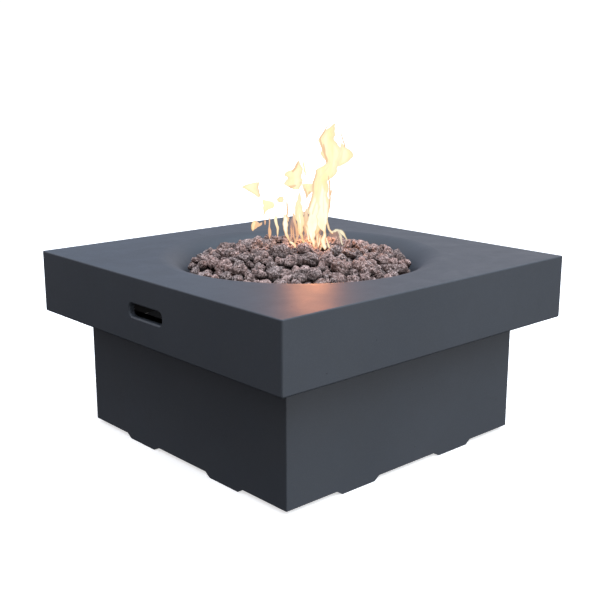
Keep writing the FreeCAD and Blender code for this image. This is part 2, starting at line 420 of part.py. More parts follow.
STONES = [
    (0, -57.30, -108.92, 401.68, 19.14, 19.33, 14.43, 0.7932, -0.4997, 0.1394, -0.3190),
    (1, 6.28, -186.50, 416.71, 18.61, 18.42, 15.49, 0.6692, 0.4065, -0.3982, 0.4779),
    (2, -189.33, -149.11, 398.85, 18.89, 17.58, 15.95, -0.8917, 0.2047, 0.3934, 0.0899),
    (3, -65.24, -197.78, 401.80, 19.87, 17.16, 15.33, -0.4198, 0.0141, 0.4564, -0.7844),
    (4, 109.60, 90.77, 419.15, 18.90, 19.64, 13.94, 0.1155, -0.9854, -0.0522, 0.1138),
    (0, -46.99, -180.85, 423.41, 21.20, 18.06, 13.42, -0.2463, 0.2806, -0.7070, 0.6007),
    (1, -200.43, 126.11, 385.91, 19.38, 16.59, 14.90, 0.8606, 0.3110, 0.3379, -0.2203),
    (2, 59.02, 60.49, 401.26, 22.51, 16.11, 13.91, 0.2015, 0.2601, 0.1367, 0.9344),
    (3, 205.53, -128.50, 400.23, 19.83, 17.02, 14.90, 0.0384, 0.5660, -0.3096, -0.7631),
    (4, -61.05, 176.79, 399.60, 17.80, 19.35, 14.54, -0.9974, 0.0198, -0.0642, -0.0269),
    (0, 88.90, -143.31, 398.10, 21.55, 17.79, 13.03, -0.0113, 0.0539, 0.9422, 0.3304),
    (1, 127.82, -202.45, 398.50, 21.96, 17.55, 12.95, -0.7164, 0.6332, -0.2898, -0.0423),
    (2, 175.76, 164.88, 400.83, 19.62, 16.78, 15.06, 0.2542, 0.3348, -0.8609, 0.2867),
    (3, -28.19, -120.57, 432.39, 20.92, 17.77, 13.32, 0.3560, -0.1207, -0.8977, 0.2297),
    (4, -109.46, 148.13, 404.36, 20.03, 16.19, 15.09, 0.2020, -0.5176, 0.3460, 0.7560),
    (0, -87.65, -115.75, 412.49, 20.33, 17.94, 13.36, -0.5900, -0.3913, -0.3125, -0.6333),
    (1, -94.56, 71.61, 402.52, 20.78, 16.88, 13.86, -0.4150, 0.7269, 0.2467, -0.4884),
    (2, -142.40, 39.92, 408.91, 19.09, 16.90, 15.00, -0.2753, -0.6885, -0.5834, -0.3314),
    (3, 117.96, -32.79, 409.54, 19.77, 16.00, 15.26, -0.9486, 0.0629, -0.2259, 0.2127),
    (4, 155.45, -4.21, 420.55, 20.92, 15.74, 14.64, -0.0861, 0.6632, 0.7399, 0.0733),
    (0, -14.21, -20.57, 407.73, 20.38, 17.41, 13.56, 0.1414, 0.4150, -0.1296, 0.8894),
    (1, 19.91, 1.88, 447.87, 21.48, 15.87, 14.09, -0.8635, 0.4816, -0.0314, 0.1464),
    (2, -175.97, -10.47, 401.85, 19.87, 16.55, 14.59, 0.0529, 0.2090, -0.0933, -0.9720),
    (3, -19.20, 61.68, 404.31, 20.20, 17.71, 13.39, 0.1444, 0.2605, -0.6236, 0.7228),
    (4, -12.98, 238.31, 385.84, 18.17, 17.72, 14.81, 0.5008, 0.3556, 0.5899, 0.5242),
    (0, 51.06, -90.30, 399.85, 18.97, 18.32, 13.62, 0.2943, -0.9271, -0.0444, -0.2278),
    (1, -35.97, 140.53, 428.07, 20.94, 15.96, 14.17, -0.0875, 0.0247, -0.6555, -0.7497),
    (2, 82.44, -212.78, 406.10, 19.34, 17.49, 13.96, 0.9554, -0.2840, -0.0062, 0.0812),
    (3, 18.40, 15.67, 420.53, 21.19, 15.96, 13.87, -0.4135, 0.0275, -0.1968, 0.8885),
    (4, 202.64, 36.82, 398.66, 19.65, 17.62, 13.52, -0.0677, 0.0211, -0.9759, -0.2065),
    (0, 65.02, -234.63, 388.93, 18.82, 16.67, 14.89, -0.5682, 0.4359, -0.4178, -0.5591),
    (1, 152.87, 187.73, 399.46, 20.80, 16.29, 13.79, 0.1751, 0.7505, 0.5985, -0.2187),
    (2, 58.77, 82.43, 424.88, 18.28, 17.18, 14.75, 0.2608, 0.0990, -0.9387, -0.2024),
    (3, 26.47, 189.58, 398.40, 19.55, 17.89, 13.21, -0.0909, -0.0259, -0.2603, 0.9609),
    (4, -136.47, 168.12, 401.42, 20.04, 18.07, 12.73, 0.0543, -0.3785, 0.4068, -0.8296),
    (0, -168.95, -176.10, 398.46, 20.16, 17.09, 13.38, 0.6505, 0.0792, 0.7474, -0.1095),
    (1, -42.36, 197.92, 416.01, 19.73, 16.82, 13.71, 0.8777, 0.3735, -0.2891, -0.0815),
    (2, 87.77, -58.77, 424.24, 18.64, 17.05, 14.29, -0.0143, -0.1405, -0.7389, -0.6588),
    (3, -79.65, -34.33, 443.08, 19.89, 15.72, 14.47, 0.6647, -0.2021, 0.0463, -0.7178),
    (4, 226.57, 20.44, 384.04, 21.42, 16.12, 13.09, -0.6175, -0.4973, -0.3074, -0.5262),
    (0, -123.26, -30.55, 400.06, 20.58, 15.08, 14.45, 0.3356, -0.6541, 0.5993, -0.3169),
    (1, -83.17, -22.36, 401.14, 19.33, 16.58, 13.94, -0.2838, -0.8504, -0.4335, 0.0910),
    (2, -160.71, -95.57, 412.51, 19.46, 15.12, 15.05, -0.3245, 0.8851, -0.1095, 0.3152),
    (3, -27.91, 159.47, 401.07, 20.46, 16.09, 13.44, 0.0049, -0.7600, 0.6465, 0.0667),
    (4, 36.92, -52.31, 443.15, 18.56, 18.25, 13.04, 0.1682, -0.0030, -0.2124, -0.9626),
    (0, 99.20, 18.91, 429.11, 21.15, 16.50, 12.66, -0.1621, 0.1302, 0.1414, -0.9679),
    (1, 77.31, 37.22, 410.37, 19.92, 15.36, 14.24, -0.3590, 0.5554, -0.4128, 0.6263),
    (2, -13.64, 186.38, 400.20, 19.61, 15.94, 13.87, -0.7872, 0.4700, 0.0944, -0.3880),
    (3, -63.98, 213.74, 396.95, 17.94, 17.18, 14.02, -0.1569, 0.0843, -0.2304, -0.9567),
    (4, 148.35, -165.33, 398.86, 18.55, 16.95, 13.68, 0.4369, 0.6245, 0.0410, 0.6461),
    (0, 81.52, 149.23, 399.31, 18.93, 16.30, 13.92, -0.1019, 0.1737, 0.7859, -0.5847),
    (1, 61.76, -35.77, 420.63, 19.11, 16.28, 13.78, -0.7464, -0.6613, 0.0069, -0.0741),
    (2, 23.12, -80.65, 414.43, 18.00, 16.59, 14.28, 0.2380, -0.1003, -0.1672, 0.9515),
    (3, 4.15, 86.87, 404.48, 19.13, 16.56, 13.43, 0.4800, 0.1042, -0.0914, 0.8663),
    (4, 82.64, -81.92, 399.04, 20.59, 15.41, 13.40, 0.7250, 0.6547, 0.2034, 0.0663),
    (0, 112.05, 54.82, 414.42, 18.11, 16.68, 14.03, -0.9836, -0.1103, -0.1366, 0.0403),
    (1, 192.28, 89.13, 398.66, 19.55, 16.71, 12.95, 0.9778, -0.0783, -0.1943, -0.0078),
    (2, 105.04, -111.51, 401.86, 17.89, 17.71, 13.31, 0.3482, 0.7798, 0.5037, 0.1303),
    (3, -79.27, 147.27, 402.21, 18.67, 17.95, 12.55, -0.4879, 0.1710, 0.7637, -0.3867),
    (4, 24.51, -208.50, 400.78, 17.07, 17.13, 14.28, -0.0578, 0.3827, 0.8435, 0.3723),
    (0, -108.67, 3.92, 400.75, 18.77, 18.10, 12.28, -0.9145, 0.0552, -0.1480, -0.3725),
    (1, 102.35, 169.07, 417.04, 17.79, 18.49, 12.65, -0.2225, 0.0734, 0.5522, 0.8001),
    (2, 131.92, -118.35, 422.34, 19.67, 15.25, 13.84, 0.2940, 0.7544, 0.1038, 0.5776),
    (3, -40.72, 12.70, 435.99, 18.32, 16.07, 14.01, -0.3239, -0.6664, -0.3414, -0.5784),
    (4, 76.81, 111.07, 401.13, 17.56, 16.07, 14.60, 0.5883, 0.1839, -0.4737, -0.6290),
    (0, 50.67, 220.86, 396.12, 19.48, 15.41, 13.71, -0.2038, 0.0266, 0.6166, -0.7600),
    (1, -6.09, -161.03, 398.16, 19.45, 16.10, 13.12, 0.9642, -0.2588, -0.0182, -0.0556),
    (2, -203.78, -24.46, 417.88, 18.67, 15.88, 13.83, -0.9183, -0.1435, 0.2025, -0.3085),
    (3, 8.70, 228.14, 405.47, 19.94, 16.04, 12.67, -0.1233, -0.6194, -0.3522, -0.6907),
    (4, -14.36, -79.58, 424.87, 20.08, 16.98, 11.82, -0.2173, 0.4077, -0.7261, -0.5092),
    (0, -41.96, -88.53, 431.43, 18.68, 16.23, 13.28, 0.3051, -0.4914, -0.3382, 0.7424),
    (1, 90.84, -175.93, 425.02, 17.86, 17.11, 13.01, 0.0596, 0.0175, 0.6430, 0.7633),
    (2, -156.79, 119.59, 411.30, 16.84, 17.51, 13.44, 0.4826, -0.3177, 0.6887, -0.4380),
    (3, -99.47, -181.75, 397.84, 18.09, 17.29, 12.67, -0.0096, 0.0937, -0.9595, 0.2654),
    (4, 20.49, 63.74, 441.67, 20.79, 15.17, 12.52, 0.2282, -0.5328, 0.8000, -0.1552),
    (0, 85.36, -42.53, 398.60, 18.07, 16.18, 13.49, 0.0887, -0.0493, 0.0056, -0.9948),
    (1, 119.80, 197.42, 404.31, 19.62, 15.49, 12.88, 0.9181, 0.2868, 0.1427, 0.2333),
    (2, -47.03, 73.44, 417.84, 16.87, 17.40, 13.27, 0.9483, 0.0833, 0.2858, 0.1098),
    (3, -138.79, -178.98, 394.94, 18.42, 16.36, 12.87, -0.6871, 0.6114, -0.2639, -0.2906),
    (4, -68.55, -99.42, 430.86, 17.44, 17.85, 12.41, 0.0678, -0.9010, 0.2803, 0.3240),
    (0, 143.28, -34.40, 430.26, 18.50, 15.60, 13.38, 0.2398, 0.2978, 0.4885, 0.7843),
    (1, 221.10, -95.93, 403.77, 18.88, 15.08, 13.56, -0.3549, 0.2396, -0.1062, -0.8974),
    (2, 78.68, -174.51, 399.76, 19.60, 14.70, 13.32, 0.7956, -0.0091, -0.1015, -0.5972),
    (3, 87.77, -95.78, 424.93, 18.64, 14.97, 13.76, 0.4307, -0.3613, 0.5742, -0.5952),
    (4, -150.48, -132.72, 399.97, 18.26, 15.17, 13.81, -0.8216, 0.2456, 0.0469, -0.5123),
    (0, -33.57, -58.10, 448.04, 19.35, 16.04, 12.05, -0.7766, -0.5943, -0.1032, 0.1818),
    (1, 173.49, -90.55, 400.16, 18.41, 15.61, 12.93, -0.0584, -0.5383, -0.8362, -0.0869),
    (2, -100.76, 121.17, 404.01, 19.69, 15.80, 11.88, 0.3615, 0.5685, -0.6198, 0.4025),
    (3, -114.09, 45.26, 398.34, 17.92, 15.72, 13.09, -0.0789, 0.1179, 0.4409, -0.8863),
    (4, -75.98, -226.59, 382.63, 18.03, 14.26, 14.28, -0.8624, -0.4865, 0.1203, -0.0710),
    (0, 118.30, 21.11, 409.09, 18.32, 15.97, 12.38, 0.0119, 0.0314, 0.7397, 0.6721),
    (1, -4.43, 116.59, 416.10, 17.16, 17.46, 12.09, -0.4520, 0.7803, -0.4238, 0.0852),
    (2, -23.32, -50.81, 424.52, 18.92, 14.61, 13.01, 0.3933, 0.0329, 0.5728, 0.7184),
    (3, -183.25, 154.57, 380.51, 17.89, 16.75, 12.00, -0.5731, 0.8061, 0.1376, -0.0523),
    (4, 128.61, -145.46, 400.33, 17.01, 17.67, 11.94, 0.8997, -0.1253, 0.2100, 0.3616),
    (0, 25.78, -96.02, 439.85, 16.91, 15.19, 13.86, -0.0815, -0.0517, -0.6663, 0.7394),
    (1, 157.09, -129.82, 412.11, 17.69, 14.27, 14.07, 0.1889, -0.4146, -0.7092, 0.5381),
    (2, -222.08, -10.88, 396.06, 16.48, 15.22, 14.07, -0.8020, 0.0536, -0.1997, 0.5604),
    (3, -47.44, -237.79, 384.17, 17.33, 14.40, 14.12, -0.5141, 0.4129, 0.1606, -0.7344),
    (4, 32.09, -57.88, 397.00, 18.76, 15.55, 12.01, -0.7662, -0.6420, -0.0209, 0.0179),
    (0, -193.62, 73.58, 416.02, 17.69, 14.95, 13.23, -0.3863, -0.6073, 0.0486, -0.6925),
    (1, -235.74, 50.23, 396.09, 18.48, 16.20, 11.68, -0.1094, 0.0518, -0.9890, 0.0854),
    (2, -92.75, 169.23, 423.31, 18.15, 14.46, 13.30, 0.3814, 0.7724, 0.0092, 0.5078),
    (3, 40.61, -25.07, 399.44, 19.57, 14.71, 12.08, -0.0367, -0.5786, 0.8100, 0.0875),
    (4, 40.46, 2.19, 401.43, 17.22, 16.12, 12.41, -0.6995, -0.0562, -0.4364, -0.5632),
    (0, -2.48, 49.71, 423.25, 16.48, 15.48, 13.43, 0.2316, 0.1730, -0.4816, 0.8273),
    (1, -66.65, -0.06, 416.67, 18.63, 16.16, 11.32, 0.1528, -0.0408, -0.5281, -0.8343),
    (2, 73.88, 230.68, 383.53, 18.04, 13.86, 13.54, 0.6899, -0.3785, -0.5355, 0.3065),
    (3, 51.14, 26.07, 420.05, 16.24, 15.26, 13.64, -0.1181, 0.9252, -0.2737, 0.2347),
    (4, 30.74, 74.04, 412.67, 18.88, 13.39, 13.36, -0.0528, 0.6295, -0.3838, -0.6735),
    (0, -175.86, 41.05, 399.96, 16.87, 15.10, 13.16, -0.3469, 0.4121, 0.4040, -0.7393),
    (1, -33.19, -216.69, 398.67, 16.95, 15.34, 12.80, 0.5054, 0.2216, -0.8325, 0.0480),
    (2, 222.44, 104.35, 396.12, 18.87, 13.86, 12.73, 0.2952, 0.5354, 0.5472, 0.5717),
    (3, -143.19, -69.90, 422.71, 17.69, 14.54, 12.94, 0.3363, -0.3358, -0.4651, -0.7469),
    (4, 151.69, -96.81, 419.43, 18.02, 14.48, 12.73, -0.2677, -0.4899, 0.5794, 0.5938),
    (0, 228.03, -69.60, 380.39, 18.83, 14.54, 12.10, -0.0445, 0.9928, 0.0740, 0.0832),
    (1, -140.37, 195.23, 382.12, 17.43, 14.55, 13.05, 0.1973, -0.3721, 0.7120, -0.5619),
    (2, -19.01, -164.76, 421.27, 19.31, 14.72, 11.62, 0.8761, -0.3876, 0.2851, -0.0320),
    (3, -188.56, 103.78, 416.18, 16.39, 14.33, 14.05, 0.4996, 0.3932, 0.7151, 0.2904),
    (4, -158.61, 85.08, 407.87, 17.38, 14.48, 13.03, 0.5384, 0.1846, 0.2972, -0.7666),
    (0, 112.79, -83.71, 416.07, 18.45, 15.35, 11.50, 0.3485, 0.8414, -0.2819, -0.3018),
    (1, 32.24, -158.70, 398.31, 15.86, 15.73, 12.81, -0.2032, 0.0102, -0.4338, -0.8777),
    (2, 49.48, 134.98, 395.58, 18.76, 16.04, 10.56, -0.0419, -0.0088, 0.4186, 0.9071),
    (3, 229.99, 74.90, 382.98, 16.85, 15.50, 11.36, -0.1040, 0.9075, 0.3964, 0.0920),
    (4, -7.37, -109.45, 415.48, 16.41, 14.05, 13.56, 0.0892, -0.4373, 0.3311, -0.8314),
    (0, 58.52, -106.33, 430.84, 17.74, 16.37, 10.74, -0.2936, 0.9359, 0.0624, -0.1846),
    (1, 112.51, 112.59, 397.49, 18.81, 14.06, 11.73, 0.3162, 0.9284, -0.1800, 0.0756),
    (2, 203.05, -2.59, 416.97, 17.48, 15.09, 11.70, 0.5081, 0.1175, -0.2811, 0.8056),
    (3, -188.02, -93.82, 396.57, 17.12, 15.48, 11.53, -0.0450, 0.0251, -0.9428, 0.3295),
    (4, -18.22, 217.29, 406.47, 16.29, 15.81, 11.86, -0.4703, 0.1456, 0.0844, -0.8663),
    (0, -88.94, 196.30, 400.50, 17.45, 15.29, 11.43, 0.8594, -0.0203, -0.4203, 0.2904),
    (1, 238.74, 50.90, 390.61, 16.29, 15.21, 12.26, -0.7236, 0.2038, -0.1198, 0.6485),
    (2, 171.95, -168.97, 381.24, 17.23, 14.30, 12.32, 0.5770, 0.7667, 0.1189, 0.2551),
    (3, -156.01, 14.88, 397.08, 16.66, 14.95, 12.07, 0.5351, 0.8430, 0.0327, 0.0435),
    (4, 136.61, -69.77, 432.19, 17.28, 16.21, 10.71, 0.2633, -0.0779, 0.1216, -0.9538),
    (0, -32.15, 12.93, 396.75, 16.54, 15.48, 11.65, -0.5668, -0.8193, 0.0826, 0.0240),
    (1, 186.25, 22.84, 417.76, 17.65, 14.05, 11.95, -0.5589, 0.0689, 0.3929, -0.7270),
    (2, 183.09, 136.74, 401.21, 17.99, 13.05, 12.60, 0.0600, -0.9651, 0.2431, -0.0765),
    (3, -105.95, -60.88, 422.03, 16.00, 15.16, 12.17, 0.1723, 0.1088, -0.7848, -0.5852),
    (4, 73.31, -23.12, 442.99, 17.22, 13.69, 12.48, 0.6639, 0.6283, -0.3413, 0.2188),
    (0, -168.02, 61.40, 415.97, 17.98, 14.33, 11.37, 0.3764, -0.4241, -0.2956, -0.7688),
    (1, 55.60, -127.82, 397.19, 15.46, 16.52, 11.29, -0.8522, 0.4720, -0.1706, -0.1477),
    (2, 60.87, -60.36, 401.33, 16.90, 13.12, 12.86, -0.4187, -0.3444, -0.5135, 0.6651),
    (3, -123.29, -180.98, 420.64, 16.93, 14.94, 11.22, -0.1647, -0.0350, 0.8868, -0.4304),
    (4, -27.62, 97.52, 406.03, 14.93, 14.66, 12.87, 0.0930, -0.4438, -0.8339, -0.3146),
    (0, -15.12, 10.00, 415.27, 17.40, 14.65, 10.99, -0.2913, 0.1342, -0.2457, 0.9147),
    (1, -110.11, 9.51, 433.96, 15.18, 14.64, 12.58, 0.2561, -0.9507, -0.1552, 0.0807),
    (2, -79.05, 46.25, 408.75, 16.47, 14.10, 12.00, -0.5647, -0.0784, 0.2981, 0.7656),
    (3, -227.61, 21.48, 385.85, 15.52, 13.62, 12.88, -0.8145, -0.4775, 0.1773, -0.2778),
    (4, 184.57, -112.23, 416.43, 15.41, 14.33, 12.31, 0.5994, -0.6615, -0.4101, 0.1872),
    (0, -220.28, -38.94, 402.80, 15.94, 15.50, 10.86, -0.2538, -0.2829, -0.6558, 0.6523),
    (1, -7.60, 94.84, 436.16, 15.54, 15.01, 11.42, 0.3046, 0.1579, -0.9388, 0.0296),
    (2, -230.89, -65.98, 379.15, 18.16, 14.18, 10.30, 0.9374, 0.3036, -0.0847, 0.1483),
    (3, 5.39, -97.10, 396.21, 17.17, 13.96, 10.99, -0.1153, 0.0806, 0.4948, -0.8575),
    (4, -118.45, 192.72, 398.84, 14.77, 14.45, 12.34, 0.4485, 0.6426, 0.6114, -0.1101),
    (0, -115.57, 213.54, 384.05, 17.03, 13.53, 11.42, 0.1962, 0.9734, 0.0523, 0.1064),
    (1, 88.44, 66.10, 439.83, 17.25, 13.34, 11.41, 0.5700, 0.1127, 0.0938, 0.8084),
    (2, -123.24, 97.17, 410.33, 15.87, 14.44, 11.42, -0.9169, 0.3815, -0.0230, 0.1146),
    (3, -241.44, -41.25, 385.24, 15.57, 13.72, 12.23, 0.2474, 0.6831, 0.4139, 0.5486),
    (4, 25.07, 188.04, 424.71, 15.88, 14.25, 11.53, -0.8374, 0.4383, -0.3158, -0.0832),
    (0, 75.23, -112.14, 407.27, 16.70, 13.53, 11.48, -0.8948, 0.2816, 0.2726, -0.2138),
    (1, -37.54, -64.78, 400.06, 18.34, 13.60, 10.37, -0.3170, 0.5533, 0.3441, -0.6892),
    (2, -199.56, 25.66, 417.90, 15.14, 16.19, 10.54, -0.5640, -0.0858, 0.8035, 0.1702),
    (3, -204.45, -110.32, 379.53, 18.08, 12.76, 11.16, -0.9805, -0.0628, -0.0654, 0.1743),
    (4, -61.28, -234.22, 405.90, 16.43, 14.23, 11.00, -0.2992, 0.4082, 0.7116, -0.4873),
    (0, 9.52, -39.91, 397.12, 17.53, 12.77, 11.48, 0.5893, -0.7239, 0.3126, -0.1759),
    (1, 160.83, 42.88, 421.55, 15.21, 14.80, 11.41, 0.3331, -0.0308, -0.0890, -0.9382),
    (2, -70.82, 89.77, 423.96, 15.08, 14.72, 11.50, -0.8541, -0.5100, -0.0833, 0.0589),
    (3, -71.66, -9.63, 442.23, 16.12, 14.43, 10.95, 0.0408, 0.6585, -0.7496, 0.0530),
    (4, -104.76, -87.67, 433.15, 15.34, 13.65, 12.15, 0.6716, 0.2280, 0.2752, 0.6490),
    (0, 69.21, 6.75, 395.95, 16.08, 14.44, 10.95, 0.0191, 0.0421, -0.7476, 0.6626),
    (1, -121.31, -87.00, 411.97, 16.98, 14.84, 10.08, -0.0567, -0.4094, 0.6215, -0.6655),
    (2, -139.43, -203.91, 386.74, 16.93, 12.96, 11.51, -0.2926, 0.7116, -0.1789, -0.6132),
    (3, -111.31, 50.10, 425.43, 14.83, 14.51, 11.70, 0.3045, 0.3408, -0.6818, 0.5712),
    (4, 145.04, 93.85, 396.56, 16.66, 13.40, 11.20, -0.4560, 0.8659, 0.1822, -0.0955),
    (0, 45.62, 30.88, 395.55, 15.85, 14.88, 10.55, 0.2440, -0.9685, -0.0421, 0.0266),
    (1, -115.65, -217.61, 383.90, 16.82, 14.29, 10.34, 0.5866, 0.6116, -0.5306, -0.0170),
    (2, -93.37, -91.05, 397.59, 15.86, 12.97, 12.01, 0.4349, 0.0292, 0.0623, 0.8978),
    (3, 38.93, 136.16, 416.50, 16.36, 12.48, 12.07, -0.1052, 0.0221, 0.9205, 0.3757),
    (4, 1.12, -10.25, 430.04, 15.26, 13.29, 12.13, -0.5457, -0.3116, -0.6793, 0.3790),
    (0, -50.53, 135.97, 396.24, 17.68, 12.41, 11.16, -0.0367, 0.1335, -0.9251, 0.3535),
    (1, -39.41, -17.26, 397.64, 15.38, 12.58, 12.65, 0.4341, -0.8912, 0.0781, -0.1062),
    (2, 137.05, -16.28, 397.07, 15.22, 13.66, 11.76, -0.1513, 0.1230, 0.3288, -0.9240),
    (3, 131.40, 186.53, 380.43, 16.20, 12.31, 12.24, 0.5443, -0.7415, -0.2408, 0.3097),
    (4, -87.19, 26.86, 427.45, 15.71, 14.87, 10.41, 0.8490, -0.4987, -0.0984, -0.1444),
    (0, 168.33, -65.55, 413.47, 16.00, 14.47, 10.45, 0.6664, 0.5381, 0.3780, 0.3515),
    (1, 159.03, 40.65, 397.10, 15.33, 12.96, 12.01, -0.7754, -0.6083, 0.1020, 0.1355),
    (2, 142.46, 24.15, 430.12, 17.16, 14.16, 9.76, -0.7423, -0.5956, -0.2971, -0.0778),
    (3, 225.69, 8.84, 411.83, 15.94, 14.12, 10.52, -0.1956, -0.4739, 0.6134, 0.6007),
    (4, -126.31, 67.43, 414.77, 15.72, 13.73, 10.93, 0.0564, 0.1514, -0.7783, 0.6067),
    (0, -86.82, -66.45, 405.61, 14.58, 14.07, 11.50, -0.8090, -0.0854, -0.1989, -0.5465),
    (1, 167.80, -2.03, 396.05, 16.56, 13.24, 10.74, 0.9836, 0.0306, 0.0159, -0.1773),
    (2, -14.03, 167.37, 424.21, 15.94, 12.81, 11.48, -0.0390, -0.2571, -0.9189, 0.2968),
    (3, 130.19, 137.18, 403.17, 16.12, 13.81, 10.52, -0.8834, -0.4258, -0.1610, -0.1109),
    (4, -229.56, -84.77, 396.82, 16.36, 13.70, 10.43, -0.0052, -0.1395, 0.9117, 0.3865),
    (0, -54.86, -133.58, 417.14, 14.62, 14.18, 11.24, 0.7671, -0.1450, 0.2515, -0.5721),
    (1, -217.07, 64.06, 378.86, 14.25, 15.07, 10.83, 0.0142, 0.0614, 0.3291, -0.9422),
    (2, -55.83, -55.98, 431.63, 15.43, 13.76, 10.95, -0.9605, 0.1926, 0.0252, 0.1993),
    (3, -135.92, -111.82, 412.39, 14.78, 14.08, 11.11, 0.2066, 0.0552, -0.5857, 0.7818),
    (4, 33.21, 109.79, 409.82, 16.66, 12.27, 11.22, -0.4459, 0.6120, -0.6230, 0.1963),
    (0, -153.01, 17.83, 431.84, 16.66, 13.33, 10.25, 0.1999, -0.3290, 0.8163, -0.4307),
    (1, 0.55, -55.28, 434.98, 14.77, 13.48, 11.41, -0.4301, 0.5040, -0.7214, -0.2015),
    (2, 79.20, -211.48, 380.22, 16.15, 13.67, 10.29, 0.8079, 0.5158, 0.1842, -0.2177),
    (3, -62.02, -70.29, 395.27, 16.88, 13.83, 9.71, 0.9215, -0.3473, 0.0995, -0.1424),
    (4, -69.28, -153.79, 421.82, 15.42, 13.05, 11.25, 0.9903, -0.0868, -0.0777, -0.0764),
    (0, 132.48, 171.31, 414.51, 14.83, 14.21, 10.64, 0.0128, -0.3510, 0.2027, 0.9141),
    (1, 47.32, -7.04, 427.34, 15.68, 13.05, 10.96, 0.1638, 0.8270, -0.3860, -0.3744),
    (2, 122.85, 68.39, 436.64, 15.54, 13.01, 11.07, -0.3064, -0.7631, 0.5685, 0.0245),
    (3, 42.21, -117.12, 413.29, 17.05, 12.27, 10.68, 0.4984, 0.0968, 0.0070, -0.8615),
    (4, -109.86, -107.26, 414.63, 15.34, 14.36, 10.12, -0.4385, -0.6158, 0.0298, -0.6540),
    (0, 30.69, 245.15, 400.34, 14.40, 14.56, 10.62, 0.5446, 0.2040, 0.1484, -0.7999),
    (1, 201.74, -33.17, 396.88, 15.78, 12.23, 11.52, 0.1474, -0.0019, 0.9206, -0.3615),
    (2, -21.44, 130.90, 396.39, 15.40, 12.71, 11.34, 0.9856, 0.1235, -0.0071, -0.1156),
    (3, -59.17, 236.56, 382.04, 14.40, 12.77, 12.05, 0.9393, -0.2469, -0.2377, 0.0166),
    (4, 237.33, -31.29, 382.93, 15.14, 12.25, 11.94, 0.0540, 0.6431, 0.3188, -0.6941),
    (0, -118.05, -203.43, 404.33, 16.08, 13.19, 10.39, -0.2373, -0.9512, -0.1823, -0.0749),
    (1, -244.35, -32.11, 408.43, 16.41, 12.55, 10.68, -0.1247, 0.4169, 0.6200, -0.6529),
    (2, 80.59, 82.28, 406.48, 14.59, 12.68, 11.85, -0.8809, 0.1957, 0.1150, -0.4154),
    (3, -38.29, 243.70, 393.58, 16.11, 12.48, 10.87, -0.3249, -0.6427, 0.1351, -0.6805),
    (4, 215.47, -101.38, 378.34, 16.57, 12.79, 10.27, -0.9118, 0.4064, -0.0264, -0.0527),
    (0, -146.67, -53.97, 397.07, 14.99, 13.05, 11.12, 0.7485, 0.6058, -0.2688, 0.0220),
    (1, 140.34, 19.38, 395.50, 17.29, 12.17, 10.31, -0.6430, -0.7482, -0.1055, -0.1252),
    (2, -208.82, 99.35, 393.33, 13.94, 13.35, 11.63, -0.1856, -0.3642, -0.8841, -0.2265),
    (3, -167.52, -38.63, 397.61, 15.32, 12.34, 11.42, 0.4050, -0.8654, -0.0119, -0.2950),
    (4, 190.57, -115.99, 379.86, 16.58, 12.24, 10.60, 0.7720, 0.3775, -0.2059, -0.4681),
    (0, 18.51, 131.38, 401.70, 15.16, 12.54, 11.30, -0.2795, 0.2192, -0.9255, -0.1318),
    (1, 39.52, -223.74, 381.63, 13.84, 13.37, 11.55, -0.1654, 0.7546, 0.1855, -0.6073),
    (2, -148.73, 68.23, 430.66, 14.37, 14.51, 10.23, 0.0628, 0.6493, 0.7498, 0.1104),
    (3, 29.91, 120.75, 435.50, 14.67, 12.95, 11.17, -0.7365, 0.2633, -0.5831, 0.2194),
    (4, 40.55, 91.40, 396.36, 16.31, 11.37, 11.40, 0.0093, 0.3639, 0.9314, -0.0062),
    (0, -16.66, -48.64, 397.68, 15.43, 11.81, 11.53, -0.5936, 0.0107, 0.3981, 0.6993),
    (1, 35.79, -186.47, 419.91, 15.25, 12.78, 10.74, -0.4109, 0.3384, 0.5547, -0.6395),
    (2, -28.46, -137.27, 407.67, 14.12, 12.60, 11.76, -0.8716, 0.2816, 0.1305, -0.3794),
    (3, -22.75, -194.87, 410.39, 17.26, 12.43, 9.72, 0.5042, -0.2359, 0.5592, -0.6144),
    (4, 41.00, -183.85, 397.00, 15.80, 12.05, 10.96, -0.1845, 0.4437, 0.8731, -0.0825),
    (0, 14.92, 239.28, 378.59, 14.83, 12.63, 9.86, -0.7261, -0.6787, -0.0874, 0.0669),
    (1, -22.76, 32.97, 430.11, 15.31, 12.91, 10.44, -0.3278, -0.8194, 0.2443, 0.4018),
    (2, 143.28, -185.21, 378.27, 15.96, 12.75, 10.10, 0.1084, -0.0685, 0.6701, -0.7311),
    (3, -99.05, 172.17, 395.94, 14.37, 13.82, 10.34, -0.1570, 0.1195, 0.0037, -0.9803),
    (4, 183.25, -18.33, 411.53, 15.20, 12.18, 10.95, 0.1537, 0.5603, 0.4900, 0.6498),
    (0, 124.78, 73.14, 397.28, 15.39, 12.19, 10.80, 0.0464, -0.2864, 0.1203, -0.9494),
    (1, 237.12, -57.70, 401.95, 14.34, 13.64, 10.32, 0.2900, 0.4429, 0.7420, 0.4113),
    (2, 137.34, -83.35, 397.16, 14.45, 14.16, 9.87, -0.8032, 0.4717, -0.2245, -0.2864),
    (3, 138.92, 76.02, 416.31, 14.22, 13.32, 10.60, -0.4387, 0.3730, 0.4805, 0.6615),
    (4, 46.80, 164.57, 399.60, 14.65, 12.81, 10.63, -0.5623, -0.1326, 0.6872, -0.4404),
    (0, -202.91, 38.27, 395.54, 13.84, 14.37, 10.00, 0.2940, -0.9390, -0.0222, -0.1770),
    (1, -53.39, 90.37, 442.30, 14.53, 12.33, 11.10, -0.2223, -0.8136, -0.3925, 0.3670),
    (2, -146.97, -29.79, 414.16, 13.24, 13.42, 11.15, -0.0288, 0.2270, -0.2292, -0.9461),
    (3, 31.12, 42.32, 413.81, 15.35, 12.69, 10.13, 0.5553, -0.6511, -0.4047, 0.3222),
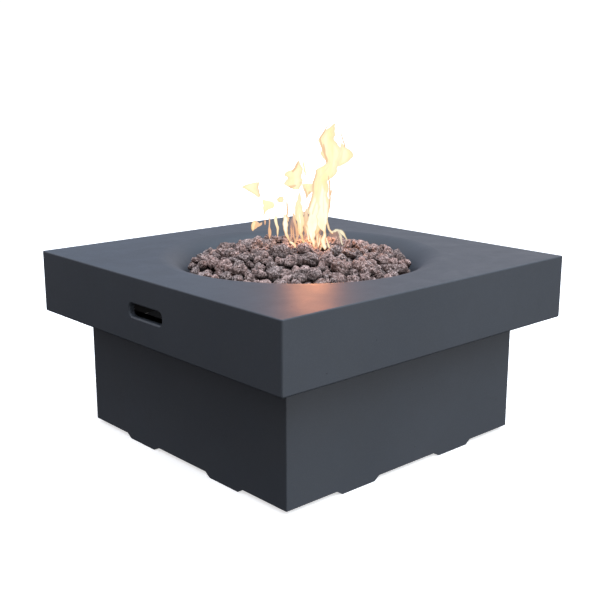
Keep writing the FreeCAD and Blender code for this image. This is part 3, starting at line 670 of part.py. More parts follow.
    (4, -61.83, 15.07, 395.58, 14.74, 12.79, 10.46, 0.9546, -0.2799, 0.0476, 0.0898),
    (0, -197.06, 11.18, 395.81, 13.41, 13.56, 10.84, 0.0091, -0.0289, 0.9019, -0.4309),
    (1, 68.50, -133.36, 418.23, 14.23, 13.21, 10.44, 0.8745, -0.3232, -0.2008, -0.3008),
    (2, 190.30, -57.64, 419.65, 14.39, 12.83, 10.55, 0.6258, -0.5628, 0.3145, -0.4389),
    (3, -76.92, -69.80, 429.59, 13.94, 13.23, 10.56, -0.7509, 0.3900, 0.3671, -0.3864),
    (4, 92.42, -15.49, 397.26, 13.95, 13.32, 10.42, -0.1128, 0.3912, 0.8117, 0.4187),
    (0, -166.36, 181.23, 383.37, 14.48, 11.79, 11.35, 0.6775, 0.3293, 0.1473, 0.6410),
    (1, -55.38, 152.63, 416.26, 14.55, 13.26, 10.02, 0.1913, -0.4650, 0.5404, -0.6747),
    (2, -20.06, -17.23, 438.12, 14.63, 13.18, 10.02, -0.4564, 0.1481, 0.5172, -0.7087),
    (3, 11.60, -155.31, 416.15, 15.02, 12.63, 10.06, 0.8323, -0.5399, -0.1254, 0.0035),
    (4, 15.40, -248.61, 386.49, 14.21, 13.70, 9.74, 0.3293, -0.6345, 0.6504, 0.2569),
    (0, -214.34, -87.06, 378.97, 14.25, 12.54, 10.61, -0.1841, 0.0726, -0.0825, -0.9767),
    (1, -112.96, 24.02, 414.99, 13.84, 13.97, 9.78, -0.9707, -0.1892, -0.1459, 0.0240),
    (2, -114.43, -20.70, 424.56, 14.12, 12.15, 10.96, 0.2570, 0.1755, -0.6526, -0.6909),
    (3, -81.18, 57.77, 429.82, 14.04, 12.28, 10.90, 0.6014, 0.7067, -0.3658, 0.0708),
    (4, 116.35, -45.88, 436.37, 13.58, 12.85, 10.69, 0.0199, -0.6863, 0.6982, -0.2027),
    (0, -175.80, 142.85, 397.81, 14.96, 13.21, 9.43, -0.1827, -0.1806, 0.3461, -0.9023),
    (1, -89.79, -205.58, 382.72, 15.28, 12.45, 9.79, 0.7682, -0.2877, 0.5410, 0.1856),
    (2, -202.89, -71.81, 406.88, 14.94, 11.28, 10.99, 0.1526, 0.9808, 0.0635, -0.1034),
    (3, -168.37, 29.84, 422.88, 13.16, 13.41, 10.49, -0.2112, -0.2573, 0.0940, -0.9383),
    (4, 94.29, -127.66, 420.48, 13.75, 13.20, 10.18, -0.4598, 0.3846, 0.7757, 0.1975),
    (0, 92.10, 195.83, 413.29, 14.23, 12.08, 10.64, -0.2807, 0.8303, 0.4317, -0.2132),
    (1, 149.19, -105.86, 395.47, 13.49, 13.37, 10.07, 0.4625, 0.8705, -0.1084, -0.1285),
    (2, 14.80, 101.00, 427.33, 14.14, 11.79, 10.66, 0.7490, 0.4938, -0.2088, -0.3892),
    (3, -32.86, -244.44, 409.67, 15.55, 10.70, 10.56, 0.5251, -0.5961, -0.5824, -0.1725),
    (4, -220.49, -110.92, 398.47, 12.83, 13.12, 10.30, -0.6351, 0.1092, 0.7507, 0.1453),
    (0, -120.39, -159.61, 402.35, 13.48, 12.92, 9.92, 0.0438, 0.8649, -0.0913, 0.4917),
    (1, -12.06, -225.84, 413.08, 13.93, 12.12, 10.22, -0.1000, 0.6894, 0.3413, -0.6311),
    (2, 85.96, -1.06, 412.69, 13.68, 12.16, 10.33, 0.3742, 0.1559, -0.6430, -0.6498),
    (3, 75.51, 178.30, 407.21, 13.00, 13.67, 9.65, -0.1938, -0.2336, -0.9086, -0.2869),
    (4, -65.20, -147.98, 398.62, 14.69, 11.16, 10.42, -0.5662, -0.1837, 0.5408, -0.5943),
    (0, -67.91, 69.10, 397.02, 13.05, 12.01, 10.88, -0.0678, -0.1931, 0.1742, 0.9632),
    (1, 60.36, -153.40, 396.73, 14.22, 12.66, 9.44, -0.1829, -0.8645, 0.4519, 0.1221),
    (2, -123.43, -61.57, 403.44, 13.29, 12.64, 10.05, 0.8829, -0.4661, -0.0515, -0.0244),
    (3, 149.54, -193.30, 411.59, 14.20, 12.73, 9.31, 0.1424, 0.3197, 0.8812, 0.3178),
    (4, 27.50, 154.54, 398.24, 14.72, 12.99, 8.74, 0.4956, -0.0916, -0.8348, 0.2217),
    (0, 113.71, 206.74, 380.34, 13.35, 12.26, 10.20, 0.7834, 0.1045, -0.3452, -0.5062),
    (1, -0.47, -135.50, 405.31, 14.27, 10.89, 10.73, -0.7595, 0.1942, -0.0784, -0.6158),
    (2, 228.02, -15.97, 400.12, 12.90, 12.46, 10.35, 0.8459, -0.2595, -0.2604, 0.3864),
    (3, -5.00, -202.50, 396.43, 13.95, 11.29, 10.55, 0.2743, 0.2217, -0.9244, -0.1452),
    (4, 24.38, -9.73, 419.29, 14.94, 12.62, 8.76, -0.5806, 0.3601, -0.0598, -0.7278),
    (0, 54.54, 109.83, 416.21, 14.14, 11.94, 9.75, 0.6708, -0.0218, 0.7132, 0.2023),
    (1, 97.98, -192.48, 394.30, 13.63, 13.54, 8.92, 0.7673, 0.4107, 0.1324, -0.4743),
    (2, 110.60, -174.82, 409.39, 13.69, 13.43, 8.95, -0.2659, 0.3804, 0.1420, -0.8743),
    (3, -21.70, -242.60, 380.77, 13.32, 12.64, 9.72, 0.0880, -0.3200, -0.3613, 0.8714),
    (4, -147.55, -17.39, 396.01, 14.03, 11.85, 9.81, 0.9431, 0.0434, 0.1932, -0.2672),
    (0, 42.77, 12.85, 442.09, 14.16, 11.04, 10.44, 0.1178, 0.7177, 0.4385, 0.5279),
    (1, -7.43, 8.78, 438.42, 14.58, 12.07, 9.25, -0.6384, -0.4964, 0.1243, -0.5750),
    (2, 39.20, -244.24, 397.91, 13.41, 11.58, 10.45, 0.2939, -0.4990, -0.8030, 0.1405),
    (3, 10.80, -3.64, 396.52, 15.35, 11.34, 9.31, 0.5818, 0.1799, -0.0141, -0.7931),
    (4, 49.22, 196.80, 413.14, 14.66, 12.05, 9.16, 0.9394, 0.2896, -0.0405, 0.1791),
]


stones = []
for t, cx, cy, cz, a, b, c, qx, qy, qz, qw in STONES:
    verts, faces = TEMPLATES[t]
    rot = FreeCAD.Rotation(qx, qy, qz, qw)
    pts = [rot.multVec(V(p[0] * a, p[1] * b, p[2] * c)) + V(cx, cy, cz) for p in verts]
    shell = Part.Shell([Part.Face(Part.makePolygon([pts[i], pts[j], pts[k], pts[i]])) for i, j, k in faces])
    s = Part.Solid(shell)
    if s.Volume < 0:
        s.reverse()
    stones.append(s)
save("lava_rocks", stones)

# ---------------------------------------------------------- control panel --
panel = box(-PANEL_W / 2, PANEL_W / 2, HB, HB + PANEL_T, CTRL_Z - PANEL_H / 2, CTRL_Z + PANEL_H / 2)
panel = panel.makeFillet(6.0, [e for e in panel.Edges if abs(e.Vertexes[0].Y - e.Vertexes[1].Y) > 1])
panel = cut(panel, [cyl(9.4, (VALVE_X, HB - 2, CTRL_Z), 8, (0, 1, 0)), cyl(11.2, (IGN_X, HB - 2, CTRL_Z), 8, (0, 1, 0))] +
            [cyl(2.3, (x, HB - 2, z), 8, (0, 1, 0)) for x, z in panel_xy])
save("control_panel", panel)
py = HB + PANEL_T
save("panel_screws", [fuse([cyl(1.9, (x, HB - 11, z), 13.5, (0, 1, 0)), cone(4.0, 2.8, (x, py, z), 2.2, (0, 1, 0))]).cut(
    box(x - 5, x + 5, py + 1.3, py + 3, z - 0.5, z + 0.5)) for x, z in panel_xy])

# ------------------------------------------------------------ gas valve ----
vb = fuse([box(VALVE_X - 22, VALVE_X + 22, 296, 330, CTRL_Z - 20, CTRL_Z + 20),
           cyl(9.0, (VALVE_X, 329, CTRL_Z), 32, (0, 1, 0)),
           cyl(8.5, (VALVE_X - 28, VALVE_Y, CTRL_Z), 8, (1, 0, 0)),
           cyl(9.5, (VALVE_X, VALVE_Y, CTRL_Z - 26), 8, (0, 0, 1))])
vb = vb.cut(cyl(8.0, (VALVE_X, 308, CTRL_Z), 32, (0, 1, 0)))
vb = vb.cut(cyl(4.35, (VALVE_X, 338, CTRL_Z), 30, (0, 1, 0)))
vb = vb.cut(cyl(4.0, (VALVE_X - 30, VALVE_Y, CTRL_Z), 14, (1, 0, 0)))
vb = vb.cut(cyl(4.0, (VALVE_X, VALVE_Y, CTRL_Z - 30), 14, (0, 0, 1)))
save("valve_body", vb)
save("valve_magnet_unit", fuse([cyl(12.0, (VALVE_X, 276, CTRL_Z), 20, (0, 1, 0)), cyl(5.0, (VALVE_X, 268, CTRL_Z), 9, (0, 1, 0))]))
save("valve_bonnet_nut", prism(6, 13.5, (VALVE_X, py, CTRL_Z), 5.0, (0, 1, 0)).cut(cyl(9.05, (VALVE_X, py - 1, CTRL_Z), 8, (0, 1, 0))))
COLLAR0, COLLAR1 = 335.8, 339.6
save("valve_stem", fuse([cyl(4.0, (VALVE_X, 318, CTRL_Z), 61, (0, 1, 0)), cyl(7.3, (VALVE_X, COLLAR0, CTRL_Z), COLLAR1 - COLLAR0, (0, 1, 0))]))
save("stem_spring_seat", tube(7.3, 4.4, (VALVE_X, COLLAR0 - 1.8, CTRL_Z), 1.5, (0, 1, 0)))


def spring(x, y0, y1, z, r, wire, turns):
    """Compression spring with its axis along +Y between y0 and y1."""
    h = (y1 - y0) - 2 * wire
    rc = r - wire
    n = int(2 * turns)
    edges = []
    for k in range(n):
        sg = 1 if k % 2 == 0 else -1
        z0, z1 = h * k / n, h * (k + 1) / n
        edges.append(Part.Arc(V(sg * rc, 0, z0), V(0, sg * rc, 0.5 * (z0 + z1)), V(-sg * rc, 0, z1)).toShape())
    prof = Part.Wire([Part.Circle(V(rc, 0, 0), V(0, 1, 0), wire).toShape()])
    s = Part.Wire(edges).makePipeShell([prof], True, False)
    s.translate(V(0, 0, wire))
    s.rotate(V(0, 0, 0), V(1, 0, 0), -90)
    s.translate(V(x, y0, z))
    return s


save("stem_spring", spring(VALVE_X, 308.2, COLLAR0 - 2.0, CTRL_Z, 7.2, 0.6, 6))

knob = cyl(KNOB_R, (VALVE_X, 366, CTRL_Z), 20, (0, 1, 0))
knob = knob.makeFillet(2.2, [e for e in knob.Edges if abs(e.BoundBox.YMin - 386) < 1e-4 and abs(e.BoundBox.YMax - 386) < 1e-4])
flutes = []
for k in range(18):
    a = math.radians(20.0 * k)
    flutes.append(cyl(2.2, (VALVE_X + (KNOB_R + 0.9) * math.cos(a), 371, CTRL_Z + (KNOB_R + 0.9) * math.sin(a)), 20, (0, 1, 0)))
knob = cut(knob, flutes)
knob = knob.cut(cyl(15.5, (VALVE_X, 365, CTRL_Z), 8, (0, 1, 0)))
knob = knob.cut(cyl(4.03, (VALVE_X, 365, CTRL_Z), 14.02, (0, 1, 0)))
knob = knob.cut(box(VALVE_X - 0.9, VALVE_X + 0.9, 384.8, 388, CTRL_Z + 3, CTRL_Z + KNOB_R + 1))
save("control_knob", knob)

# -------------------------------------------------------------- igniter ----
hou = fuse([cyl(11.0, (IGN_X, 262, CTRL_Z), HB + PANEL_T + 0.5 - 262, (0, 1, 0)), cyl(14.0, (IGN_X, py, CTRL_Z), 3.0, (0, 1, 0)),
            cyl(3.2, (IGN_X, 254, CTRL_Z), 9, (0, 1, 0))])
hou = hou.cut(cyl(7.6, (IGN_X, 265, CTRL_Z), 52, (0, 1, 0)))
hou = hou.cut(cyl(9.4, (IGN_X, 316.5, CTRL_Z), 35.5, (0, 1, 0)))
hou = hou.cut(cyl(8.3, (IGN_X, 350, CTRL_Z), 12, (0, 1, 0)))
save("igniter_housing", hou)
save("igniter_lock_nut", prism(6, 16.5, (IGN_X, HB - 5, CTRL_Z), 5.0, (0, 1, 0)).cut(cyl(11.05, (IGN_X, HB - 7, CTRL_Z), 10, (0, 1, 0))))
save("igniter_battery", fuse([cyl(7.2, (IGN_X, 265.4, CTRL_Z), 49.6, (0, 1, 0)), cyl(2.8, (IGN_X, 314.9, CTRL_Z), 1.4, (0, 1, 0))]))
save("igniter_spring", spring(IGN_X, 316.8, 347.6, CTRL_Z, 8.8, 0.6, 6))
btn = fuse([cyl(7.9, (IGN_X, 350, CTRL_Z), 12.0, (0, 1, 0)), cyl(9.0, (IGN_X, 347.9, CTRL_Z), 3.7, (0, 1, 0))])
btn = btn.makeFillet(1.2, [e for e in btn.Edges if abs(e.BoundBox.YMin - 362) < 1e-4 and abs(e.BoundBox.YMax - 362) < 1e-4])
save("igniter_button", btn)

# ---------------------------------------------------- gas inlet and pipes --
fit = fuse([cyl(10.0, (INLET_X, 303, INLET_Z), HB - 303, (0, 1, 0)), prism(6, 14.5, (INLET_X, HB, INLET_Z), 8.0, (0, 1, 0)),
            cyl(7.94, (INLET_X, HB + 7, INLET_Z), 13.0, (0, 1, 0)), cone(7.94, 5.0, (INLET_X, HB + 20, INLET_Z), 3.2, (0, 1, 0)),
            cyl(9.0, (INLET_X, VALVE_Y, INLET_Z), 24, (0, 0, 1))])
fit = fit.cut(cyl(3.8, (INLET_X, VALVE_Y - 2, INLET_Z), 80, (0, 1, 0)))
fit = fit.cut(cyl(3.8, (INLET_X, VALVE_Y, INLET_Z), 30, (0, 0, 1)))
save("gas_inlet_fitting", fit)
save("inlet_lock_nut", prism(6, 15.5, (INLET_X, HBI - 7, INLET_Z), 7.0, (0, 1, 0)).cut(cyl(10.05, (INLET_X, HBI - 9, INLET_Z), 12, (0, 1, 0))))

px0 = VALVE_X - 28.0
pipe = bent_tube([(px0, VALVE_Y, CTRL_Z), (INLET_X, VALVE_Y, CTRL_Z), (INLET_X, VALVE_Y, INLET_Z + 24.0)], 4.9, 3.7)
save("supply_pipe", pipe)
save("supply_pipe_nuts", [prism(6, 9.5, (px0 - 12, VALVE_Y, CTRL_Z), 12, (1, 0, 0)).cut(cyl(5.0, (px0 - 14, VALVE_Y, CTRL_Z), 16, (1, 0, 0))),
                          prism(6, 9.5, (INLET_X, VALVE_Y, INLET_Z + 24), 12, (0, 0, 1)).cut(cyl(5.0, (INLET_X, VALVE_Y, INLET_Z + 22), 16, (0, 0, 1)))])

vz0 = CTRL_Z - 26.0
flex = bent_tube([(VALVE_X, VALVE_Y, vz0), (VALVE_X, VALVE_Y, 62), (-26, 215, 44), (-8, 100, 46), (0, 0, 74), (0, 0, 213)], 7.6, 5.0)
save("flex_gas_line", flex)
save("flex_line_nuts", [prism(6, 13, (VALVE_X, VALVE_Y, vz0 - 14), 14).cut(cyl(7.7, (VALVE_X, VALVE_Y, vz0 - 16), 18)),
                        prism(6, 13, (0, 0, 199), 14).cut(cyl(7.7, (0, 0, 197), 18))])

save("thermocouple_lead", bent_tube([(VALVE_X, 268, CTRL_Z), (VALVE_X, 225, 172), (-22, 160, 222), (-10, PILOT_Y, 262), (-10, PILOT_Y, 314)], 1.6))
save("ignition_lead", bent_tube([(IGN_X, 254, CTRL_Z), (IGN_X, 222, 172), (28, 168, 214), (10, PILOT_Y, 256), (10, PILOT_Y, 314)], 2.6))

print("files", TOTAL[0])
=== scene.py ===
import bpy, math, json
import numpy as np
from mathutils import Vector, Quaternion, Matrix


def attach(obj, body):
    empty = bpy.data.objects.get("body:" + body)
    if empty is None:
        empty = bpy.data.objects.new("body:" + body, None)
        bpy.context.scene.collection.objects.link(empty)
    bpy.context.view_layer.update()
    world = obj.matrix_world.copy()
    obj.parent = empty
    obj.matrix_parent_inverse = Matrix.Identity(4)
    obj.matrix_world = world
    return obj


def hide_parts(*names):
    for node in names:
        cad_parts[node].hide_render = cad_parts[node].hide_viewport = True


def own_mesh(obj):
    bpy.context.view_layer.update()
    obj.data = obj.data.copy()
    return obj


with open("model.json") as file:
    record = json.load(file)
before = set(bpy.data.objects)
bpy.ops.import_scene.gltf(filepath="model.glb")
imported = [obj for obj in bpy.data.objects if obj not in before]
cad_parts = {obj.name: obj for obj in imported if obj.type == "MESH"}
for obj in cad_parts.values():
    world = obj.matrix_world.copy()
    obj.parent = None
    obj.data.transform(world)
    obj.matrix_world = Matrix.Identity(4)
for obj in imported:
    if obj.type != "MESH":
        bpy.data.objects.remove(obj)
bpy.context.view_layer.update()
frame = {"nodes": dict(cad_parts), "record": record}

nodes = frame["nodes"]
scene = bpy.context.scene
DECK = 0.427
rng = np.random.default_rng(20)


# ------------------------------------------------------------ node helpers
class Mat:
    """A small builder for one procedural material."""

    def __init__(self, name):
        self.m = bpy.data.materials.new(name)
        self.m.use_nodes = True
        self.t = self.m.node_tree
        self.t.nodes.clear()
        self.out = self.t.nodes.new("ShaderNodeOutputMaterial")
        self.p = self.t.nodes.new("ShaderNodeBsdfPrincipled")
        self.t.links.new(self.p.outputs[0], self.out.inputs[0])
        self.co = self.t.nodes.new("ShaderNodeTexCoord").outputs["Object"]

    def set(self, **kw):
        for k, v in kw.items():
            self.p.inputs[k.replace("_", " ")].default_value = v
        return self

    def link(self, a, b):
        self.t.links.new(a, b)

    def mapping(self, scale=(1, 1, 1), rot=(0, 0, 0), loc=(0, 0, 0)):
        n = self.t.nodes.new("ShaderNodeMapping")
        n.inputs["Scale"].default_value = scale
        n.inputs["Rotation"].default_value = rot
        n.inputs["Location"].default_value = loc
        self.link(self.co, n.inputs["Vector"])
        return n.outputs[0]

    def noise(self, scale, detail=4.0, rough=0.5, vec=None, distortion=0.0, out="Fac"):
        n = self.t.nodes.new("ShaderNodeTexNoise")
        n.inputs["Scale"].default_value = scale
        n.inputs["Detail"].default_value = detail
        n.inputs["Roughness"].default_value = rough
        n.inputs["Distortion"].default_value = distortion
        self.link(vec or self.co, n.inputs["Vector"])
        return n.outputs[out]

    def voronoi(self, scale, feature="F1", vec=None, rand=1.0, out="Distance"):
        n = self.t.nodes.new("ShaderNodeTexVoronoi")
        n.feature = feature
        n.inputs["Scale"].default_value = scale
        n.inputs["Randomness"].default_value = rand
        self.link(vec or self.co, n.inputs["Vector"])
        return n.outputs[out]

    def ramp(self, fac, stops, interp="LINEAR"):
        n = self.t.nodes.new("ShaderNodeValToRGB")
        n.color_ramp.interpolation = interp
        els = n.color_ramp.elements
        while len(els) < len(stops):
            els.new(0.5)
        for e, (pos, c) in zip(els, stops):
            e.position = pos
            e.color = (c, c, c, 1) if isinstance(c, (int, float)) else tuple(c) + (1,) * (4 - len(c))
        self.link(fac, n.inputs[0])
        return n.outputs[0]

    def math(self, op, a, b=None, c=None, clamp=False):
        n = self.t.nodes.new("ShaderNodeMath")
        n.operation = op
        n.use_clamp = clamp
        for i, v in enumerate((a, b, c)):
            if v is None:
                continue
            if isinstance(v, (int, float)):
                n.inputs[i].default_value = v
            else:
                self.link(v, n.inputs[i])
        return n.outputs[0]

    def mix(self, fac, a, b, mode="MIX"):
        n = self.t.nodes.new("ShaderNodeMix")
        n.data_type = "RGBA"
        n.blend_type = mode
        n.clamp_factor = True
        for s, v in ((n.inputs[0], fac), (n.inputs[6], a), (n.inputs[7], b)):
            if isinstance(v, (int, float)):
                s.default_value = v
            elif isinstance(v, tuple):
                s.default_value = v + (1,) * (4 - len(v))
            else:
                self.link(v, s)
        return n.outputs[2]

    def maprange(self, v, a, b, c, d):
        n = self.t.nodes.new("ShaderNodeMapRange")
        for i, x in zip((1, 2, 3, 4), (a, b, c, d)):
            n.inputs[i].default_value = x
        self.link(v, n.inputs[0])
        return n.outputs[0]

    def bump(self, height, strength, distance, normal=None):
        n = self.t.nodes.new("ShaderNodeBump")
        n.inputs["Strength"].default_value = strength
        n.inputs["Distance"].default_value = distance
        self.link(height, n.inputs["Height"])
        if normal is not None:
            self.link(normal, n.inputs["Normal"])
        return n.outputs[0]

    def to(self, sock, name):
        self.link(sock, self.p.inputs[name])
        return self


# --------------------------------------------------------------- materials
def concrete():
    m = Mat("cast_concrete")
    cloud = m.noise(2.6, 3.0, 0.55)
    mottle = m.noise(14.0, 5.0, 0.6, distortion=0.3)
    grain = m.noise(420.0, 3.0, 0.65)
    sand = m.noise(1500.0, 2.0, 0.6)
    col = m.mix(m.ramp(cloud, [(0.30, 0.0), (0.70, 1.0)]), (0.0400, 0.0485, 0.0610), (0.0495, 0.0590, 0.0725))
    col = m.mix(m.ramp(mottle, [(0.35, 0.0), (0.75, 0.55)]), col, (0.0470, 0.0530, 0.0615))
    col = m.mix(m.ramp(grain, [(0.52, 0.0), (0.72, 0.35)]), col, (0.074, 0.083, 0.095))
    # small air holes left by the mould, sparse; their colour is darkened as painted shade inside the holes
    pore_d = m.voronoi(46.0, "F1", vec=m.mapping(loc=(0.31, 0.17, 0.05)))
    gate = m.noise(9.0, 2.0, 0.5)
    pore = m.math("MULTIPLY", m.ramp(pore_d, [(0.035, 1.0), (0.075, 0.0)]), m.ramp(gate, [(0.56, 0.0), (0.64, 1.0)]))
    col = m.mix(m.math("MULTIPLY", pore, 0.7), col, (0.016, 0.018, 0.021))
    # painted shade: the inner faces of the hollow castings, slab and base, darkened to near black, standing in for the
    # shade inside them
    xyz = m.t.nodes.new("ShaderNodeSeparateXYZ")
    m.link(m.co, xyz.inputs[0])
    x, y, z = xyz.outputs[0], xyz.outputs[1], xyz.outputs[2]
    rad = m.math("SQRT", m.math("ADD", m.math("MULTIPLY", x, x), m.math("MULTIPLY", y, y)))
    wide = m.math("MAXIMUM", m.math("ABSOLUTE", x), m.math("ABSOLUTE", y))
    inner_shade = m.math("MULTIPLY", m.math("LESS_THAN", wide, 0.4185), m.math("LESS_THAN", z, 0.4135))
    inner_shade = m.math("MULTIPLY", inner_shade, m.math("GREATER_THAN", rad, 0.3355))
    inner_shade = m.math("MULTIPLY", inner_shade, m.math("GREATER_THAN", z, 0.2940))
    shell = m.math("MULTIPLY", m.math("LESS_THAN", wide, 0.2985), m.math("LESS_THAN", z, 0.2935))
    inner_shade = m.math("MAXIMUM", inner_shade, shell)
    col = m.mix(m.math("MULTIPLY", inner_shade, 0.85), col, (0.005, 0.005, 0.006))
    m.to(col, "Base Color")
    rough = m.maprange(mottle, 0.3, 0.75, 0.43, 0.54)
    m.to(m.math("ADD", rough, m.math("MULTIPLY", pore, 0.3)), "Roughness")
    b = m.bump(cloud, 0.05, 0.006)
    b = m.bump(grain, 0.22, 0.0006, b)
    b = m.bump(sand, 0.12, 0.0003, b)
    b = m.bump(m.math("MULTIPLY", pore, -1.0), 0.8, 0.0012, b)
    m.to(b, "Normal")
    m.p.inputs["Specular IOR Level"].default_value = 0.42
    return m.m


def lava():
    m = Mat("lava_rock")
    at = m.t.nodes.new("ShaderNodeAttribute")
    at.attribute_name = "tint"
    sep = m.t.nodes.new("ShaderNodeSeparateColor")
    m.link(at.outputs["Color"], sep.inputs[0])
    # tint channels: hue, random tone with painted top light and low shade, painted cavity and underside shade
    hue, val, cavity_shade = sep.outputs[0], sep.outputs[1], sep.outputs[2]
    big = m.noise(70.0, 3.0, 0.6)
    crumb = m.noise(215.0, 4.0, 0.72)
    fine = m.noise(620.0, 4.0, 0.7)
    pit = m.voronoi(240.0, "F1")
    pit2 = m.voronoi(760.0, "F1")
    pits = m.ramp(pit, [(0.10, 1.0), (0.45, 0.0)])
    pits2 = m.ramp(pit2, [(0.12, 1.0), (0.48, 0.0)])
    hue2 = m.math("ADD", m.math("MULTIPLY", hue, 0.75), m.math("MULTIPLY", big, 0.30))
    col = m.ramp(hue2, [(0.10, (0.190, 0.156, 0.150)), (0.38, (0.275, 0.196, 0.180)), (0.62, (0.340, 0.216, 0.190)),
                        (0.82, (0.400, 0.222, 0.176)), (0.97, (0.460, 0.362, 0.320))])
    # painted light and shade: the tone channel brightens the tops of the stones and darkens their lower parts, besides
    # their random tone
    tone_and_top_light = m.math("ADD", m.math("MULTIPLY", val, 1.00), 0.46)
    col = m.mix(1.0, col, m.ramp(m.math("MULTIPLY", tone_and_top_light, 0.5), [(0.0, 0.0), (1.0, 2.0)]), "MULTIPLY")
    col = m.mix(m.ramp(crumb, [(0.54, 0.0), (0.63, 0.80)]), col, (0.92, 0.73, 0.68))
    col = m.mix(m.ramp(fine, [(0.49, 0.0), (0.66, 0.75)]), col, (0.88, 0.71, 0.66))
    # painted shade: vesicle pits, bubble cavities and stone undersides darkened, together with dark specks of the crumb
    # noise
    painted_shade_and_dark_specks = m.math("MAXIMUM", m.math("MULTIPLY", pits, 0.85), m.math("MULTIPLY", pits2, 0.40))
    painted_shade_and_dark_specks = m.math("MAXIMUM", painted_shade_and_dark_specks, m.ramp(crumb, [(0.37, 0.97), (0.48, 0.0)]))
    painted_shade_and_dark_specks = m.math("MAXIMUM", painted_shade_and_dark_specks, m.math("MULTIPLY", cavity_shade, 0.97))
    col = m.mix(painted_shade_and_dark_specks, col, (0.020, 0.015, 0.014))
    m.to(col, "Base Color")
    m.p.inputs["Roughness"].default_value = 0.92
    m.p.inputs["Specular IOR Level"].default_value = 0.22
    b = m.bump(crumb, 0.9, 0.0022)
    b = m.bump(fine, 0.7, 0.0010, b)
    b = m.bump(m.math("MULTIPLY", pits, -1.0), 0.85, 0.0018, b)
    b = m.bump(m.math("MULTIPLY", pits2, -1.0), 0.6, 0.0008, b)
    m.to(b, "Normal")
    return m.m


def metal(name, c0, c1, r0, r1, scale=30.0, stretch=(1, 1, 1), tint=None, bump=0.05, metallic=1.0):
    m = Mat(name)
    n = m.noise(scale, 4.0, 0.6)
    brush = m.noise(160.0, 3.0, 0.6, vec=m.mapping(scale=stretch))
    col = m.mix(m.ramp(n, [(0.3, 0.0), (0.72, 1.0)]), c0, c1)
    if tint:
        heat = m.noise(11.0, 3.0, 0.5)
        col = m.mix(m.ramp(heat, [(0.42, 0.0), (0.62, 0.8)]), col, tint)
    smear = m.noise(7.0, 5.0, 0.65)
    m.to(col, "Base Color")
    m.to(m.math("ADD", m.maprange(brush, 0.3, 0.7, r0, r1), m.math("MULTIPLY", smear, 0.10)), "Roughness")
    m.to(m.bump(brush, bump, 0.0004), "Normal")
    m.p.inputs["Metallic"].default_value = metallic
    return m.m


def plastic(name, c0, c1, r0, r1, grain=900.0, bump=0.15):
    m = Mat(name)
    n = m.noise(25.0, 4.0, 0.6)
    g = m.noise(grain, 2.0, 0.5)
    m.to(m.mix(m.ramp(n, [(0.3, 0.0), (0.7, 1.0)]), c0, c1), "Base Color")
    m.to(m.maprange(g, 0.3, 0.7, r0, r1), "Roughness")
    m.to(m.bump(g, bump, 0.0003), "Normal")
    return m.m


MATS = {
    "cast_concrete": concrete(),
    "stainless": metal("stainless", (0.58, 0.57, 0.55), (0.68, 0.67, 0.65), 0.24, 0.36, stretch=(1, 1, 26), bump=0.10),
    "heat_tinted_stainless": metal("heat_tinted_stainless", (0.34, 0.27, 0.22), (0.48, 0.40, 0.33), 0.34, 0.50,
                                   tint=(0.16, 0.12, 0.15), bump=0.15),
    "zinc_steel": metal("zinc_steel", (0.62, 0.61, 0.57), (0.72, 0.71, 0.68), 0.28, 0.42, bump=0.08),
    "galvanised_sheet": metal("galvanised_sheet", (0.50, 0.52, 0.54), (0.66, 0.68, 0.70), 0.32, 0.48, scale=60.0, bump=0.06),
    "cast_brass": metal("cast_brass", (0.60, 0.43, 0.19), (0.74, 0.56, 0.27), 0.26, 0.42, bump=0.12),
    "spring_steel": metal("spring_steel", (0.42, 0.42, 0.42), (0.56, 0.56, 0.57), 0.26, 0.38, bump=0.04),
    "copper_capillary": metal("copper_capillary", (0.66, 0.34, 0.20), (0.76, 0.44, 0.28), 0.26, 0.40, bump=0.05),
    "spark_ceramic": plastic("spark_ceramic", (0.80, 0.77, 0.70), (0.86, 0.83, 0.77), 0.14, 0.24, bump=0.03),
    "black_plastic": plastic("black_plastic", (0.020, 0.020, 0.022), (0.032, 0.032, 0.034), 0.42, 0.58),
    "red_plastic": plastic("red_plastic", (0.46, 0.030, 0.020), (0.56, 0.045, 0.030), 0.20, 0.30, bump=0.05),
    "battery_cell": plastic("battery_cell", (0.05, 0.08, 0.14), (0.08, 0.11, 0.18), 0.18, 0.28, bump=0.03),
    "silicone_lead": plastic("silicone_lead", (0.42, 0.050, 0.035), (0.52, 0.070, 0.045), 0.50, 0.64, bump=0.08),
}
LAVA = lava()
MATS["lava_rock"] = LAVA
slot_of = {s["node"]: s["material_slot"] for s in frame["record"]["subparts"]}
for name, ob in nodes.items():
    mat = MATS[slot_of[name]]
    ob.data.materials.clear()
    ob.data.materials.append(mat)

